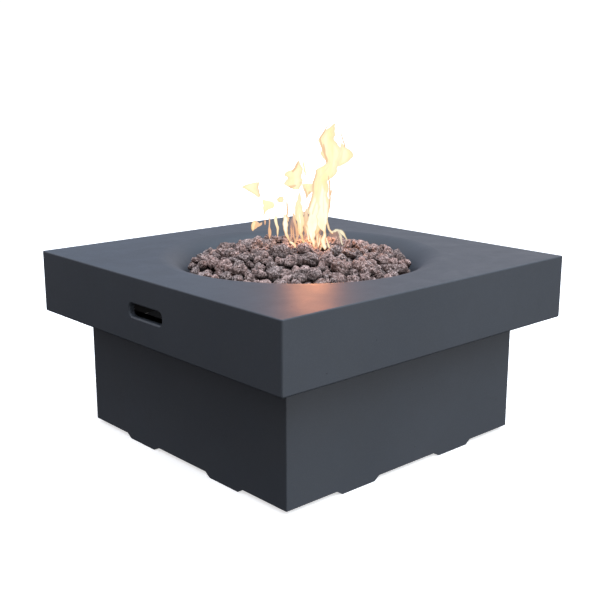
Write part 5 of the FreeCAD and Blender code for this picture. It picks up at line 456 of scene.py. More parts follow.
    (-67.9,69.1,397.0,13.1,12.0,10.9,-0.068,-0.193,0.174,0.963), (-207.1,-70.9,385.0,8.0,7.1,5.7,-0.481,-0.170,-0.465,0.723),
    (-136.4,10.2,411.5,14.4,10.4,10.0,-0.932,0.066,0.321,-0.153), (-138.8,-179.0,394.9,18.4,16.4,12.9,-0.687,0.611,-0.264,-0.291),
    (-104.0,25.2,390.9,7.9,6.6,6.0,0.004,-0.072,0.031,-0.997), (-4.4,116.6,416.1,17.2,17.5,12.1,-0.452,0.780,-0.424,0.085),
    (70.9,100.4,420.4,7.2,6.0,5.8,0.369,0.655,0.647,0.127), (-28.5,-137.3,407.7,14.1,12.6,11.8,-0.872,0.282,0.130,-0.379),
    (18.3,34.9,397.5,14.5,11.7,9.2,-0.353,-0.248,-0.855,0.288), (-179.7,16.2,409.4,12.9,10.9,9.0,-0.103,-0.342,-0.933,0.047),
    (-79.3,147.3,402.2,18.7,17.9,12.6,-0.488,0.171,0.764,-0.387), (-54.9,-133.6,417.1,14.6,14.2,11.2,0.767,-0.145,0.252,-0.572),
    (33.2,109.8,409.8,16.7,12.3,11.2,-0.446,0.612,-0.623,0.196), (-49.4,-84.2,406.2,7.9,8.3,6.7,-0.801,-0.552,0.057,0.223),
    (-158.6,85.1,407.9,17.4,14.5,13.0,0.538,0.185,0.297,-0.767), (153.9,-59.7,395.2,10.4,10.0,8.5,0.459,0.556,0.019,0.692),
    (87.8,-95.8,424.9,18.6,15.0,13.8,0.431,-0.361,0.574,-0.595), (112.5,112.6,397.5,18.8,14.1,11.7,0.316,0.928,-0.180,0.076),
    (24.5,-208.5,400.8,17.1,17.1,14.3,-0.058,0.383,0.844,0.372), (34.2,172.7,412.3,8.2,6.2,5.0,-0.377,-0.225,0.802,-0.405),
    (-175.9,-74.8,406.6,11.9,8.8,8.4,-0.046,-0.902,0.428,-0.041), (82.4,-212.8,406.1,19.3,17.5,14.0,0.955,-0.284,-0.006,0.081),
    (-120.4,-159.6,402.4,13.5,12.9,9.9,0.044,0.865,-0.091,0.492), (160.5,109.0,391.2,8.1,6.6,5.2,0.361,0.806,-0.370,-0.288),
    (177.7,53.6,392.3,11.2,8.8,7.3,0.091,0.036,-0.709,-0.698), (-38.3,243.7,393.6,16.1,12.5,10.9,-0.325,-0.643,0.135,-0.681),
    (-89.8,-205.6,382.7,15.3,12.5,9.8,0.768,-0.288,0.541,0.186), (-62.8,-6.5,400.9,9.9,7.4,6.0,0.420,-0.870,0.258,-0.005),
    (-152.0,147.0,392.7,11.4,10.7,7.6,0.077,0.033,0.679,0.729), (-146.0,-34.4,391.7,7.2,7.0,5.2,0.165,0.824,0.536,0.077),
    (-208.8,99.4,393.3,13.9,13.4,11.6,-0.186,-0.364,-0.884,-0.227), (-63.0,101.6,406.9,13.5,12.7,9.3,0.054,0.948,0.070,0.307),
    (159.0,19.7,390.9,8.4,6.5,6.0,0.001,0.023,0.322,0.947), (81.5,149.2,399.3,18.9,16.3,13.9,-0.102,0.174,0.786,-0.585),
    (204.7,-82.9,387.2,11.1,9.9,6.6,0.360,-0.915,0.051,0.175), (166.6,154.1,375.7,8.2,7.4,5.9,-0.608,-0.465,-0.636,-0.100),
    (-241.4,-41.2,385.2,15.6,13.7,12.2,0.247,0.683,0.414,0.549), (-117.8,-126.2,398.0,13.3,11.3,10.3,0.376,0.593,0.130,-0.700),
    (113.7,206.7,380.3,13.4,12.3,10.2,0.783,0.104,-0.345,-0.506), (-7.4,-109.4,415.5,16.4,14.1,13.6,0.089,-0.437,0.331,-0.831),
    (150.5,-129.8,391.9,11.0,8.8,6.9,0.013,0.048,0.358,0.932), (90.8,-175.9,425.0,17.9,17.1,13.0,0.060,0.018,0.643,0.763),
    (-187.4,-62.1,395.8,12.2,11.2,8.2,-0.835,0.059,-0.170,0.520), (-178.1,-120.6,394.7,12.9,11.5,9.4,0.966,-0.187,-0.113,0.138),
    (-0.4,-78.9,405.3,8.2,7.2,5.5,-0.822,-0.357,-0.059,-0.440), (158.6,-189.1,391.1,12.3,11.0,9.1,-0.191,0.294,-0.403,0.845),
    (-13.1,30.1,396.8,14.2,10.9,9.5,-0.447,-0.279,0.807,0.266), (-40.6,-39.2,412.1,13.0,12.7,9.2,0.626,0.315,0.656,0.280),
    (-12.1,141.3,417.6,13.2,12.1,10.0,0.196,-0.388,-0.637,0.637), (38.0,-99.4,413.1,7.7,6.6,5.7,-0.649,-0.303,-0.524,-0.461),
    (-166.4,181.2,383.4,14.5,11.8,11.3,0.677,0.329,0.147,0.641), (-225.3,5.2,374.5,8.3,7.1,6.3,0.212,-0.004,0.546,-0.810),
    (25.1,188.0,424.7,15.9,14.2,11.5,-0.837,0.438,-0.316,-0.083), (-156.8,119.6,411.3,16.8,17.5,13.4,0.483,-0.318,0.689,-0.438),
    (-14.0,167.4,424.2,15.9,12.8,11.5,-0.039,-0.257,-0.919,0.297), (-93.8,25.6,405.7,11.8,11.6,8.2,0.833,0.050,0.521,-0.180),
    (205.5,-128.5,400.2,19.8,17.0,14.9,0.038,0.566,-0.310,-0.763), (-115.6,213.5,384.0,17.0,13.5,11.4,0.196,0.973,0.052,0.106),
    (32.2,-158.7,398.3,15.9,15.7,12.8,-0.203,0.010,-0.434,-0.878), (-89.5,-48.0,409.0,7.8,6.0,5.1,-0.706,-0.610,-0.191,-0.305),
    (-77.9,23.2,410.6,10.0,7.9,6.1,0.538,0.630,0.465,0.313), (61.8,-35.8,420.6,19.1,16.3,13.8,-0.746,-0.661,0.007,-0.074),
    (14.2,-60.0,406.9,7.2,7.5,5.6,-0.799,0.341,-0.285,0.406), (-147.0,-29.8,414.2,13.2,13.4,11.2,-0.029,0.227,-0.229,-0.946),
    (192.4,-68.4,393.9,11.9,9.5,8.4,-0.350,-0.106,-0.390,-0.845), (-135.9,-111.8,412.4,14.8,14.1,11.1,0.207,0.055,-0.586,0.782),
    (118.0,-32.8,409.5,19.8,16.0,15.3,-0.949,0.063,-0.226,0.213), (172.3,-115.7,395.8,12.9,11.6,9.8,-0.590,-0.747,-0.293,0.088),
    (159.2,-28.4,409.9,15.0,11.6,8.9,0.103,0.262,-0.927,0.246), (-32.5,-165.1,394.1,10.7,10.0,6.7,0.419,0.020,0.722,-0.550),
    (-79.1,46.2,408.8,16.5,14.1,12.0,-0.565,-0.078,0.298,0.766), (101.2,-68.5,398.0,7.8,6.9,6.0,0.359,0.788,-0.464,-0.189),
    (148.5,59.0,407.9,10.2,10.0,8.8,0.241,-0.220,0.129,0.936), (-123.8,-194.3,388.6,8.2,7.6,5.7,0.827,-0.398,0.254,-0.306),
    (-180.6,125.6,408.1,11.1,10.2,9.7,0.135,0.202,-0.957,-0.161), (51.1,26.1,420.0,16.2,15.3,13.6,-0.118,0.925,-0.274,0.235),
    (35.8,-186.5,419.9,15.3,12.8,10.7,-0.411,0.338,0.555,-0.640), (-70.4,-82.7,408.4,12.7,11.2,8.0,-0.196,-0.408,0.406,0.794),
    (-19.9,-236.7,398.1,9.1,8.4,7.0,-0.043,0.094,-0.843,0.528), (157.1,-129.8,412.1,17.7,14.3,14.1,0.189,-0.415,-0.709,0.538),
    (72.8,214.6,407.7,12.8,9.6,8.1,-0.796,-0.001,0.200,0.571), (-55.7,-15.7,409.3,8.7,6.9,6.1,-0.669,-0.096,0.448,0.586),
    (-220.3,-38.9,402.8,15.9,15.5,10.9,-0.254,-0.283,-0.656,0.652), (-189.3,-149.1,398.9,18.9,17.6,15.9,-0.892,0.205,0.393,0.090),
    (-139.3,109.1,403.7,9.9,7.1,5.7,-0.277,0.784,0.364,-0.421), (193.0,58.4,391.1,8.2,6.9,6.1,0.103,-0.126,0.793,-0.587),
    (137.5,-54.2,405.6,13.5,11.6,8.5,-0.006,0.006,-0.325,-0.946), (166.0,176.8,377.8,10.1,9.8,8.5,0.113,-0.066,-0.991,-0.032),
    (-55.4,152.6,416.3,14.6,13.3,10.0,0.191,-0.465,0.540,-0.675), (-133.7,59.7,398.9,9.2,6.5,5.5,-0.267,0.958,0.101,-0.002),
    (-229.6,-84.8,396.8,16.4,13.7,10.4,-0.005,-0.139,0.912,0.386), (181.0,-25.8,393.2,10.1,9.7,7.9,-0.099,-0.176,-0.890,0.408),
    (-177.7,-52.5,407.6,10.2,7.6,6.9,0.641,-0.184,0.455,-0.590), (54.5,109.8,416.2,14.1,11.9,9.7,0.671,-0.022,0.713,0.202),
    (-33.2,-216.7,398.7,16.9,15.3,12.8,0.505,0.222,-0.833,0.048), (187.6,124.3,380.7,13.6,10.3,8.6,0.087,-0.835,-0.199,-0.505),
    (162.5,17.7,406.4,14.4,10.6,9.5,0.925,0.199,-0.013,0.324), (156.0,153.9,384.0,8.9,7.6,6.2,-0.844,-0.185,-0.330,0.380),
    (-143.8,142.2,404.8,10.7,8.7,6.9,0.235,0.060,0.124,0.962), (-109.3,-48.6,405.6,8.8,6.4,6.4,-0.920,0.317,0.064,-0.220),
    (-206.9,-133.6,382.6,12.0,10.0,10.1,0.904,0.422,0.058,0.028), (109.2,150.9,398.3,14.6,11.8,9.3,0.777,0.397,0.394,-0.290),
    (-227.6,21.5,385.8,15.5,13.6,12.9,-0.814,-0.478,0.177,-0.278), (42.2,-117.1,413.3,17.1,12.3,10.7,0.498,0.097,0.007,-0.861),
    (-57.3,-31.5,404.9,10.8,9.7,7.0,0.224,-0.237,-0.880,0.345), (-168.0,61.4,416.0,18.0,14.3,11.4,0.376,-0.424,-0.296,-0.769),
    (179.8,23.5,394.1,9.2,8.7,6.7,0.511,0.556,0.180,-0.631), (112.1,54.8,414.4,18.1,16.7,14.0,-0.984,-0.110,-0.137,0.040),
    (-118.4,192.7,398.8,14.8,14.4,12.3,0.449,0.643,0.611,-0.110), (228.1,-14.1,374.2,7.7,7.5,5.2,-0.102,0.945,-0.153,-0.270),
    (-86.7,100.4,409.8,12.5,12.8,9.4,0.214,0.970,-0.025,-0.116), (8.7,228.1,405.5,19.9,16.0,12.7,-0.123,-0.619,-0.352,-0.691),
    (97.9,-149.8,418.0,10.3,8.1,7.7,-0.655,0.666,-0.297,0.197), (-215.6,109.0,373.7,7.7,6.4,5.1,0.973,0.064,-0.149,-0.162),
    (-32.1,221.4,376.4,10.5,10.7,8.1,-0.966,-0.205,0.040,0.154), (93.4,204.4,392.8,12.5,10.9,10.4,0.155,-0.255,0.516,-0.803),
    (-145.9,-156.3,394.9,12.5,9.3,8.0,-0.606,-0.156,-0.304,0.719), (172.7,138.1,378.7,11.7,9.8,8.0,-0.798,-0.331,-0.503,0.026),
    (49.2,196.8,413.1,14.7,12.0,9.2,0.939,0.290,-0.041,0.179), (-76.0,-226.6,382.6,18.0,14.3,14.3,-0.862,-0.487,0.120,-0.071),
    (206.8,71.2,373.1,7.2,6.1,5.1,0.000,0.000,-0.226,0.974), (-175.8,142.9,397.8,15.0,13.2,9.4,-0.183,-0.181,0.346,-0.902),
    (246.0,8.8,380.7,12.6,11.0,8.6,-0.445,-0.316,0.702,0.457), (145.0,93.9,396.6,16.7,13.4,11.2,-0.456,0.866,0.182,-0.095),
    (-3.8,218.7,375.1,9.8,7.1,5.9,-0.090,0.749,0.651,-0.084), (-85.5,-155.4,406.3,15.1,11.8,8.8,-0.790,0.461,0.403,-0.023),
    (-42.4,197.9,416.0,19.7,16.8,13.7,0.878,0.373,-0.289,-0.081), (43.4,-64.9,415.6,11.9,9.8,8.9,0.126,0.521,-0.600,-0.594),
    (-87.6,-115.8,412.5,20.3,17.9,13.4,-0.590,-0.391,-0.312,-0.633), (43.3,-160.2,420.0,13.6,11.9,9.3,-0.734,-0.314,0.513,0.317),
    (11.6,-155.3,416.1,15.0,12.6,10.1,0.832,-0.540,-0.125,0.004), (-168.4,29.8,422.9,13.2,13.4,10.5,-0.211,-0.257,0.094,-0.938),
    (-71.6,201.1,415.1,10.4,9.1,7.9,0.418,-0.501,0.141,-0.745), (13.5,55.3,404.6,14.0,11.5,9.7,0.135,-0.016,-0.140,0.981),
    (148.3,-165.3,398.9,18.6,16.9,13.7,0.437,0.624,0.041,0.646), (-4.3,-42.8,411.2,9.9,7.5,6.0,-0.945,0.100,-0.013,-0.312),
    (-235.7,50.2,396.1,18.5,16.2,11.7,-0.109,0.052,-0.989,0.085), (3.7,27.7,391.3,8.0,7.9,6.2,0.909,-0.382,-0.132,-0.099),
    (43.8,58.5,428.3,12.8,11.1,9.7,0.498,0.685,-0.353,0.398), (38.9,136.2,416.5,16.4,12.5,12.1,-0.105,0.022,0.920,0.376),
    (-27.6,97.5,406.0,14.9,14.7,12.9,0.093,-0.444,-0.834,-0.315), (95.3,101.9,405.8,8.6,7.1,6.2,-0.398,0.575,0.620,-0.355),
    (-47.0,73.4,417.8,16.9,17.4,13.3,0.948,0.083,0.286,0.110), (101.9,-174.0,389.8,7.2,6.3,4.8,-0.766,0.643,0.018,0.002),
    (-108.7,3.9,400.8,18.8,18.1,12.3,-0.914,0.055,-0.148,-0.373), (14.8,101.0,427.3,14.1,11.8,10.7,0.749,0.494,-0.209,-0.389),
    (-33.8,-119.1,401.8,7.1,6.7,5.2,-0.008,0.426,-0.459,-0.780), (-0.1,145.8,397.0,13.8,11.5,9.4,0.242,-0.852,0.354,0.301),
    (-92.7,169.2,423.3,18.1,14.5,13.3,0.381,0.772,0.009,0.508), (-38.6,-2.3,415.3,12.9,10.2,9.5,-0.874,-0.237,-0.024,-0.423),
    (-37.5,-64.8,400.1,18.3,13.6,10.4,-0.317,0.553,0.344,-0.689), (127.8,-202.5,398.5,22.0,17.5,12.9,-0.716,0.633,-0.290,-0.042),
    (15.2,-120.3,409.8,11.7,10.4,9.5,-0.654,-0.719,0.204,-0.117), (99.2,18.9,429.1,21.1,16.5,12.7,-0.162,0.130,0.141,-0.968),
    (-71.4,-46.8,406.3,13.2,11.1,8.5,0.850,-0.484,0.006,-0.207), (186.2,22.8,417.8,17.6,14.1,12.0,-0.559,0.069,0.393,-0.727),
    (165.2,61.0,408.4,8.7,8.1,6.6,-0.197,0.588,-0.204,-0.757), (67.5,132.0,414.4,14.0,12.0,9.2,0.316,-0.859,0.148,-0.375),
    (107.6,-198.3,410.0,11.8,9.2,8.4,-0.915,-0.325,-0.099,0.218), (-216.3,20.9,404.2,11.7,10.8,7.5,-0.339,0.359,-0.699,0.517),
    (-169.8,-40.7,415.0,9.6,6.7,5.5,0.003,0.249,-0.920,0.302), (113.6,-7.7,409.5,12.5,12.0,8.3,-0.368,-0.695,-0.611,0.090),
    (139.7,-157.5,419.5,11.1,8.1,7.5,-0.006,-0.236,-0.932,0.274), (-132.1,151.6,414.1,7.5,6.7,5.5,-0.758,-0.092,-0.256,-0.593),
    (145.6,28.5,412.6,9.8,10.0,8.0,-0.070,-0.053,0.981,-0.174), (23.6,-56.1,423.5,12.3,9.2,9.2,-0.444,0.121,-0.164,0.873),
    (-4.8,-62.3,409.2,13.3,13.1,8.8,0.696,-0.361,-0.619,0.051), (210.6,63.9,394.7,14.3,11.3,9.5,-0.344,-0.835,0.429,0.009),
    (175.8,164.9,400.8,19.6,16.8,15.1,0.254,0.335,-0.861,0.287), (12.4,-21.1,409.0,11.4,10.8,7.5,0.246,-0.230,-0.409,-0.848),
    (73.2,31.1,431.7,9.3,9.2,7.0,-0.016,-0.301,0.593,0.747), (-28.2,-120.6,432.4,20.9,17.8,13.3,0.356,-0.121,-0.898,0.230),
    (119.8,197.4,404.3,19.6,15.5,12.9,0.918,0.287,0.143,0.233), (249.0,26.5,389.2,10.7,9.1,7.3,0.647,-0.126,0.493,-0.568),
    (152.0,148.8,414.7,13.6,12.8,9.2,0.011,-0.959,0.284,0.011), (31.1,42.3,413.8,15.3,12.7,10.1,0.555,-0.651,-0.405,0.322),
    (-31.5,38.9,390.6,9.7,8.2,5.6,0.036,0.029,0.868,0.494), (-75.8,185.5,421.5,13.0,12.0,8.4,-0.592,-0.031,0.488,-0.640),
    (66.7,-80.8,421.5,11.7,10.2,10.5,0.376,0.512,0.107,0.765), (242.6,-49.9,379.7,9.9,7.5,7.4,0.438,0.399,0.295,-0.750),
    (109.9,-136.3,410.7,11.5,9.7,8.5,-0.082,-0.482,-0.477,-0.730), (2.4,203.5,402.1,10.7,8.5,7.7,0.617,-0.457,-0.478,0.427),
    (-28.0,36.5,406.3,11.9,8.7,8.5,0.099,0.337,0.279,-0.894), (-36.0,140.5,428.1,20.9,16.0,14.2,-0.087,0.025,-0.655,-0.750),
    (164.8,103.9,406.5,13.3,10.6,9.0,-0.319,-0.804,0.479,0.152), (-32.3,-28.7,425.8,9.0,7.1,6.5,-0.017,0.024,0.980,0.197),
    (-134.8,-150.7,405.9,7.3,6.9,5.7,0.256,0.035,0.841,-0.476), (-150.9,-160.0,374.6,9.0,7.7,6.1,0.164,-0.104,0.961,0.198),
    (-53.5,-71.5,413.1,9.7,9.0,6.5,-0.001,0.902,-0.426,-0.065), (-126.3,67.4,414.8,15.7,13.7,10.9,0.056,0.151,-0.778,0.607),
    (-118.1,-203.4,404.3,16.1,13.2,10.4,-0.237,-0.951,-0.182,-0.075), (-135.2,125.6,408.7,11.7,8.9,7.4,0.860,-0.168,-0.479,0.056),
    (-84.1,-138.7,419.5,8.3,7.5,5.3,0.905,-0.159,-0.390,0.060), (49.4,-201.9,407.5,13.4,9.5,9.3,-0.594,0.078,0.794,0.103),
    (152.9,187.7,399.5,20.8,16.3,13.8,0.175,0.751,0.599,-0.219), (-102.6,-35.7,412.4,12.4,10.2,8.2,0.282,0.471,0.616,0.565),
    (168.3,-65.5,413.5,16.0,14.5,10.4,0.666,0.538,0.378,0.351), (114.9,137.3,415.2,13.2,10.3,7.6,-0.564,0.610,-0.387,0.399),
    (-212.7,75.6,396.7,13.6,12.3,9.3,0.239,-0.883,0.402,0.050), (110.6,-174.8,409.4,13.7,13.4,8.9,-0.266,0.380,0.142,-0.874),
    (99.1,-33.1,426.3,12.3,10.1,8.8,0.172,-0.069,-0.970,-0.154), (-44.2,110.6,419.6,12.7,11.6,10.2,0.785,-0.194,0.509,-0.297),
    (-148.7,68.2,430.7,14.4,14.5,10.2,0.063,0.649,0.750,0.110), (30.7,245.2,400.3,14.4,14.6,10.6,0.545,0.204,0.148,-0.800),
    (112.8,-83.7,416.1,18.5,15.4,11.5,0.349,0.841,-0.282,-0.302), (-141.3,170.9,375.0,8.8,8.3,7.0,-0.989,-0.145,-0.020,0.025),
    (94.3,47.1,428.3,12.0,10.3,8.2,-0.289,-0.154,0.833,0.447), (109.6,90.8,419.1,18.9,19.6,13.9,0.115,-0.985,-0.052,0.114),
    (-218.1,-71.8,392.7,7.3,6.9,4.8,0.219,-0.559,0.577,0.554), (154.6,-46.4,412.3,9.4,7.6,6.8,-0.032,-0.225,0.264,-0.937),
    (-203.8,-24.5,417.9,18.7,15.9,13.8,-0.918,-0.143,0.202,-0.309), (75.5,178.3,407.2,13.0,13.7,9.7,-0.194,-0.234,-0.909,-0.287),
    (-66.1,27.6,422.5,8.0,6.2,5.5,0.174,0.076,-0.959,0.209), (5.8,13.1,400.3,10.5,10.3,7.4,0.560,-0.748,0.270,0.234),
    (-70.8,89.8,424.0,15.1,14.7,11.5,-0.854,-0.510,-0.083,0.059), (184.6,-112.2,416.4,15.4,14.3,12.3,0.599,-0.661,-0.410,0.187),
    (58.5,-106.3,430.8,17.7,16.4,10.7,-0.294,0.936,0.062,-0.185), (-77.2,79.5,408.6,9.4,6.9,5.3,0.464,0.098,0.757,-0.449),
    (-164.6,-63.5,405.4,8.8,6.6,5.4,-0.215,-0.776,-0.376,-0.459), (23.8,-104.2,409.7,9.3,9.3,7.2,-0.293,-0.659,-0.679,0.138),
    (57.8,151.4,415.2,14.3,11.5,9.1,-0.574,0.318,-0.704,-0.273), (-115.8,172.7,409.3,10.5,8.6,8.2,-0.737,-0.142,0.641,0.160),
    (35.7,97.3,428.1,10.9,10.4,8.6,-0.011,-0.270,0.686,-0.675), (195.6,-77.3,408.0,11.9,9.8,7.9,-0.279,0.813,0.509,0.048),
    (58.0,-162.4,413.3,8.7,6.3,5.6,0.404,-0.338,-0.570,0.631), (-19.0,-164.8,421.3,19.3,14.7,11.6,0.876,-0.388,0.285,-0.032),
    (8.5,-220.2,418.3,14.0,11.5,8.8,-0.380,-0.834,-0.209,-0.340), (13.4,153.1,401.7,7.6,5.4,5.7,0.572,0.815,0.026,0.087),
    (-153.0,17.8,431.8,16.7,13.3,10.2,0.200,-0.329,0.816,-0.431), (104.1,-55.1,407.4,10.7,7.9,6.9,0.064,0.175,-0.765,0.617),
    (-189.7,102.2,392.2,8.5,7.8,6.2,-0.023,-0.706,0.012,0.708), (214.6,79.2,399.3,7.7,7.0,5.9,-0.714,0.174,0.420,0.532),
    (-68.5,-99.4,430.9,17.4,17.9,12.4,0.068,-0.901,0.280,0.324), (-203.2,-110.9,397.4,8.1,6.5,5.1,0.564,0.702,0.394,-0.184),
    (-113.0,24.0,415.0,13.8,14.0,9.8,-0.971,-0.189,-0.146,0.024), (-109.9,-107.3,414.6,15.3,14.4,10.1,-0.439,-0.616,0.030,-0.654),
    (64.6,-9.4,410.2,12.8,11.5,8.7,-0.000,0.338,-0.703,-0.625), (-123.4,-61.6,403.4,13.3,12.6,10.1,0.883,-0.466,-0.052,-0.024),
    (142.5,24.1,430.1,17.2,14.2,9.8,-0.742,-0.596,-0.297,-0.078), (47.3,-78.9,428.9,11.9,10.0,9.7,0.853,0.466,0.236,-0.018),
    (187.7,71.1,413.8,9.3,8.4,7.4,-0.727,-0.686,0.002,-0.024), (20.5,63.7,441.7,20.8,15.2,12.5,0.228,-0.533,0.800,-0.155),
    (29.8,211.6,404.7,10.5,8.2,6.2,-0.245,-0.484,-0.834,0.096), (-188.6,103.8,416.2,16.4,14.3,14.1,0.500,0.393,0.715,0.290),
    (-202.9,-71.8,406.9,14.9,11.3,11.0,0.153,0.981,0.064,-0.103), (-53.6,-55.2,408.8,9.8,7.7,6.6,-0.710,-0.193,-0.262,-0.625),
    (-91.1,84.8,418.9,7.7,6.2,5.0,-0.090,0.180,0.910,0.363), (115.7,-131.2,424.8,7.6,6.3,5.3,-0.894,0.005,-0.410,0.180),
    (-105.1,-139.8,408.7,11.4,9.7,8.5,0.011,0.081,0.989,0.122), (102.5,-16.4,414.5,7.7,5.9,5.4,-0.605,0.220,-0.370,-0.669),
    (0.4,-97.6,435.1,12.8,9.6,9.2,-0.914,0.363,0.102,-0.151), (-22.7,-194.9,410.4,17.3,12.4,9.7,0.504,-0.236,0.559,-0.614),
    (-199.6,25.7,417.9,15.1,16.2,10.5,-0.564,-0.086,0.803,0.170), (18.6,152.7,412.3,7.5,7.1,5.1,0.026,-0.527,0.446,-0.724),
    (182.7,114.2,403.1,12.2,9.6,9.0,-0.079,0.131,-0.017,-0.988), (-246.6,5.9,398.0,12.4,10.3,9.9,0.595,0.238,-0.035,0.767),
    (59.9,-150.4,424.5,9.4,9.3,7.6,0.172,0.130,-0.903,0.371), (99.8,142.9,430.6,13.0,11.5,9.2,0.042,-0.251,-0.947,0.196),
    (163.3,19.9,425.8,11.1,10.4,8.3,-0.067,-0.888,0.335,-0.308), (65.5,8.9,427.3,13.0,9.8,8.3,-0.225,0.684,0.619,-0.315),
    (-69.3,-153.8,421.8,15.4,13.0,11.3,0.990,-0.087,-0.078,-0.076), (225.7,8.8,411.8,15.9,14.1,10.5,-0.196,-0.474,0.613,0.601),
    (22.2,-118.9,428.0,12.0,10.1,9.7,0.096,-0.165,0.311,-0.931), (30.1,-27.5,419.3,8.7,9.3,6.4,-0.697,0.621,-0.338,-0.118),
    (170.7,-152.3,394.6,10.2,7.8,6.8,0.316,-0.181,-0.109,-0.925), (92.1,195.8,413.3,14.2,12.1,10.6,-0.281,0.830,0.432,-0.213),
    (228.0,-16.0,400.1,12.9,12.5,10.4,0.846,-0.260,-0.260,0.386), (-93.7,-7.5,424.2,13.6,11.2,8.8,0.129,-0.794,-0.576,-0.146),
    (152.3,125.4,411.8,12.6,11.9,10.0,0.164,-0.607,0.373,-0.682), (116.4,-157.5,424.3,13.0,12.8,9.7,-0.228,0.484,0.799,0.275),
    (-39.4,127.2,408.4,10.3,8.3,6.5,-0.091,0.168,-0.701,0.687), (5.1,-67.0,420.1,7.8,6.5,5.5,-0.693,-0.255,0.324,0.592),
    (-2.0,160.4,402.7,8.3,6.8,4.9,0.541,0.527,-0.654,0.036), (18.4,15.7,420.5,21.2,16.0,13.9,-0.414,0.027,-0.197,0.889),
    (-105.9,-60.9,422.0,16.0,15.2,12.2,0.172,0.109,-0.785,-0.585), (131.9,-118.3,422.3,19.7,15.3,13.8,0.294,0.754,0.104,0.578),
    (-220.5,-110.9,398.5,12.8,13.1,10.3,-0.635,0.109,0.751,0.145), (-45.2,32.6,405.1,9.3,9.0,7.7,-0.035,-0.570,0.708,0.415),
    (221.1,-95.9,403.8,18.9,15.1,13.6,-0.355,0.240,-0.106,-0.897), (237.1,-57.7,401.9,14.3,13.6,10.3,0.290,0.443,0.742,0.411),
    (-87.2,26.9,427.4,15.7,14.9,10.4,0.849,-0.499,-0.098,-0.144), (83.4,63.2,413.8,9.7,8.4,7.2,-0.236,-0.695,-0.481,0.480),
    (-152.9,166.3,386.4,10.0,9.3,7.8,0.012,0.339,0.854,-0.395), (-163.6,-146.7,391.7,10.3,7.7,6.4,-0.216,0.352,-0.104,0.905),
    (-129.3,-49.4,418.7,11.7,9.6,7.3,-0.248,0.388,0.382,-0.802), (-106.2,106.9,421.3,9.3,9.3,6.8,0.886,0.157,-0.312,-0.304),
    (-15.1,10.0,415.3,17.4,14.6,11.0,-0.291,0.134,-0.246,0.915), (-129.9,29.4,430.4,12.4,12.7,8.4,0.789,-0.513,-0.264,0.211),
    (-87.2,-88.5,416.7,11.6,9.4,7.1,0.089,0.190,0.975,-0.074), (77.3,158.0,424.8,13.6,11.0,8.6,0.558,0.472,0.470,-0.496),
    (-42.0,-88.5,431.4,18.7,16.2,13.3,0.305,-0.491,-0.338,0.742), (98.3,-204.4,422.5,12.0,8.8,7.7,0.798,-0.451,0.236,-0.321),
    (-193.6,73.6,416.0,17.7,14.9,13.2,-0.386,-0.607,0.049,-0.692), (-129.2,139.5,409.8,9.4,7.2,5.8,0.073,-0.813,0.171,0.551),
    (200.3,112.4,393.6,9.8,9.6,7.0,0.784,0.271,-0.212,0.516), (138.9,76.0,416.3,14.2,13.3,10.6,-0.439,0.373,0.480,0.661),
    (114.6,220.4,399.1,12.6,10.7,8.2,0.768,0.277,0.118,-0.565), (10.6,252.0,394.4,8.8,6.4,6.6,0.082,-0.901,0.010,0.427),
    (-131.8,212.1,400.7,10.7,10.9,8.5,0.595,0.504,-0.129,-0.613), (190.3,-57.6,419.6,14.4,12.8,10.5,0.626,-0.563,0.314,-0.439),
    (56.9,129.5,431.8,13.8,11.9,9.1,-0.157,0.087,-0.715,0.675), (-144.4,97.1,424.2,14.8,10.6,9.5,-0.502,-0.191,-0.656,0.530),
    (101.2,-6.0,422.7,7.2,6.9,5.7,0.093,-0.390,0.710,0.579), (-123.3,-181.0,420.6,16.9,14.9,11.2,-0.165,-0.035,0.887,-0.430),
    (155.2,171.1,415.3,12.7,9.9,7.8,0.478,-0.806,-0.190,-0.293), (-137.7,-14.9,428.5,13.6,12.1,9.3,0.854,0.315,-0.188,0.369),
    (-111.4,91.8,425.9,8.3,7.8,5.8,0.135,0.247,-0.547,-0.788), (-47.0,-180.8,423.4,21.2,18.1,13.4,-0.246,0.281,-0.707,0.601),
    (137.3,-83.3,397.2,14.5,14.2,9.9,-0.803,0.472,-0.225,-0.286), (-21.4,-142.4,424.8,7.2,7.3,5.9,0.263,0.750,0.285,-0.536),
    (183.2,-18.3,411.5,15.2,12.2,10.9,0.154,0.560,0.490,0.650), (16.5,-24.4,423.1,6.6,6.5,5.3,0.742,0.571,0.004,-0.352),
    (-249.2,-15.3,392.1,11.6,9.2,8.4,-0.713,-0.633,-0.217,0.209), (-2.5,49.7,423.2,16.5,15.5,13.4,0.232,0.173,-0.482,0.827),
    (-69.4,65.8,415.1,10.0,7.2,7.0,0.419,0.537,0.693,0.235), (-51.3,-20.1,425.9,14.4,10.5,10.0,-0.625,-0.255,0.070,-0.735),
    (-7.6,94.8,436.2,15.5,15.0,11.4,0.305,0.158,-0.939,0.030), (132.4,151.0,416.0,7.4,5.7,5.3,0.437,-0.117,-0.792,-0.409),
    (-70.2,165.3,424.4,11.2,10.8,8.2,-0.286,0.820,-0.357,0.344), (122.2,-15.8,428.4,14.9,10.9,9.4,0.249,-0.925,0.270,0.093),
    (68.4,112.5,429.6,10.1,8.4,7.2,-0.373,0.536,-0.671,0.352), (17.1,-41.7,415.6,9.2,8.3,7.0,0.275,0.915,0.286,-0.070),
    (-114.4,-20.7,424.6,14.1,12.1,11.0,0.257,0.175,-0.653,-0.691), (183.1,136.7,401.2,18.0,13.0,12.6,0.060,-0.965,0.243,-0.076),
    (27.2,-133.7,403.4,7.5,7.2,5.5,0.084,0.075,0.945,0.306), (-137.2,113.7,415.8,7.9,6.7,4.6,0.052,0.910,0.351,-0.216),
    (121.4,36.4,429.2,11.2,11.8,9.3,-0.816,0.282,0.363,0.349), (117.4,-58.3,418.7,13.4,10.8,8.9,0.153,-0.940,0.244,0.181),
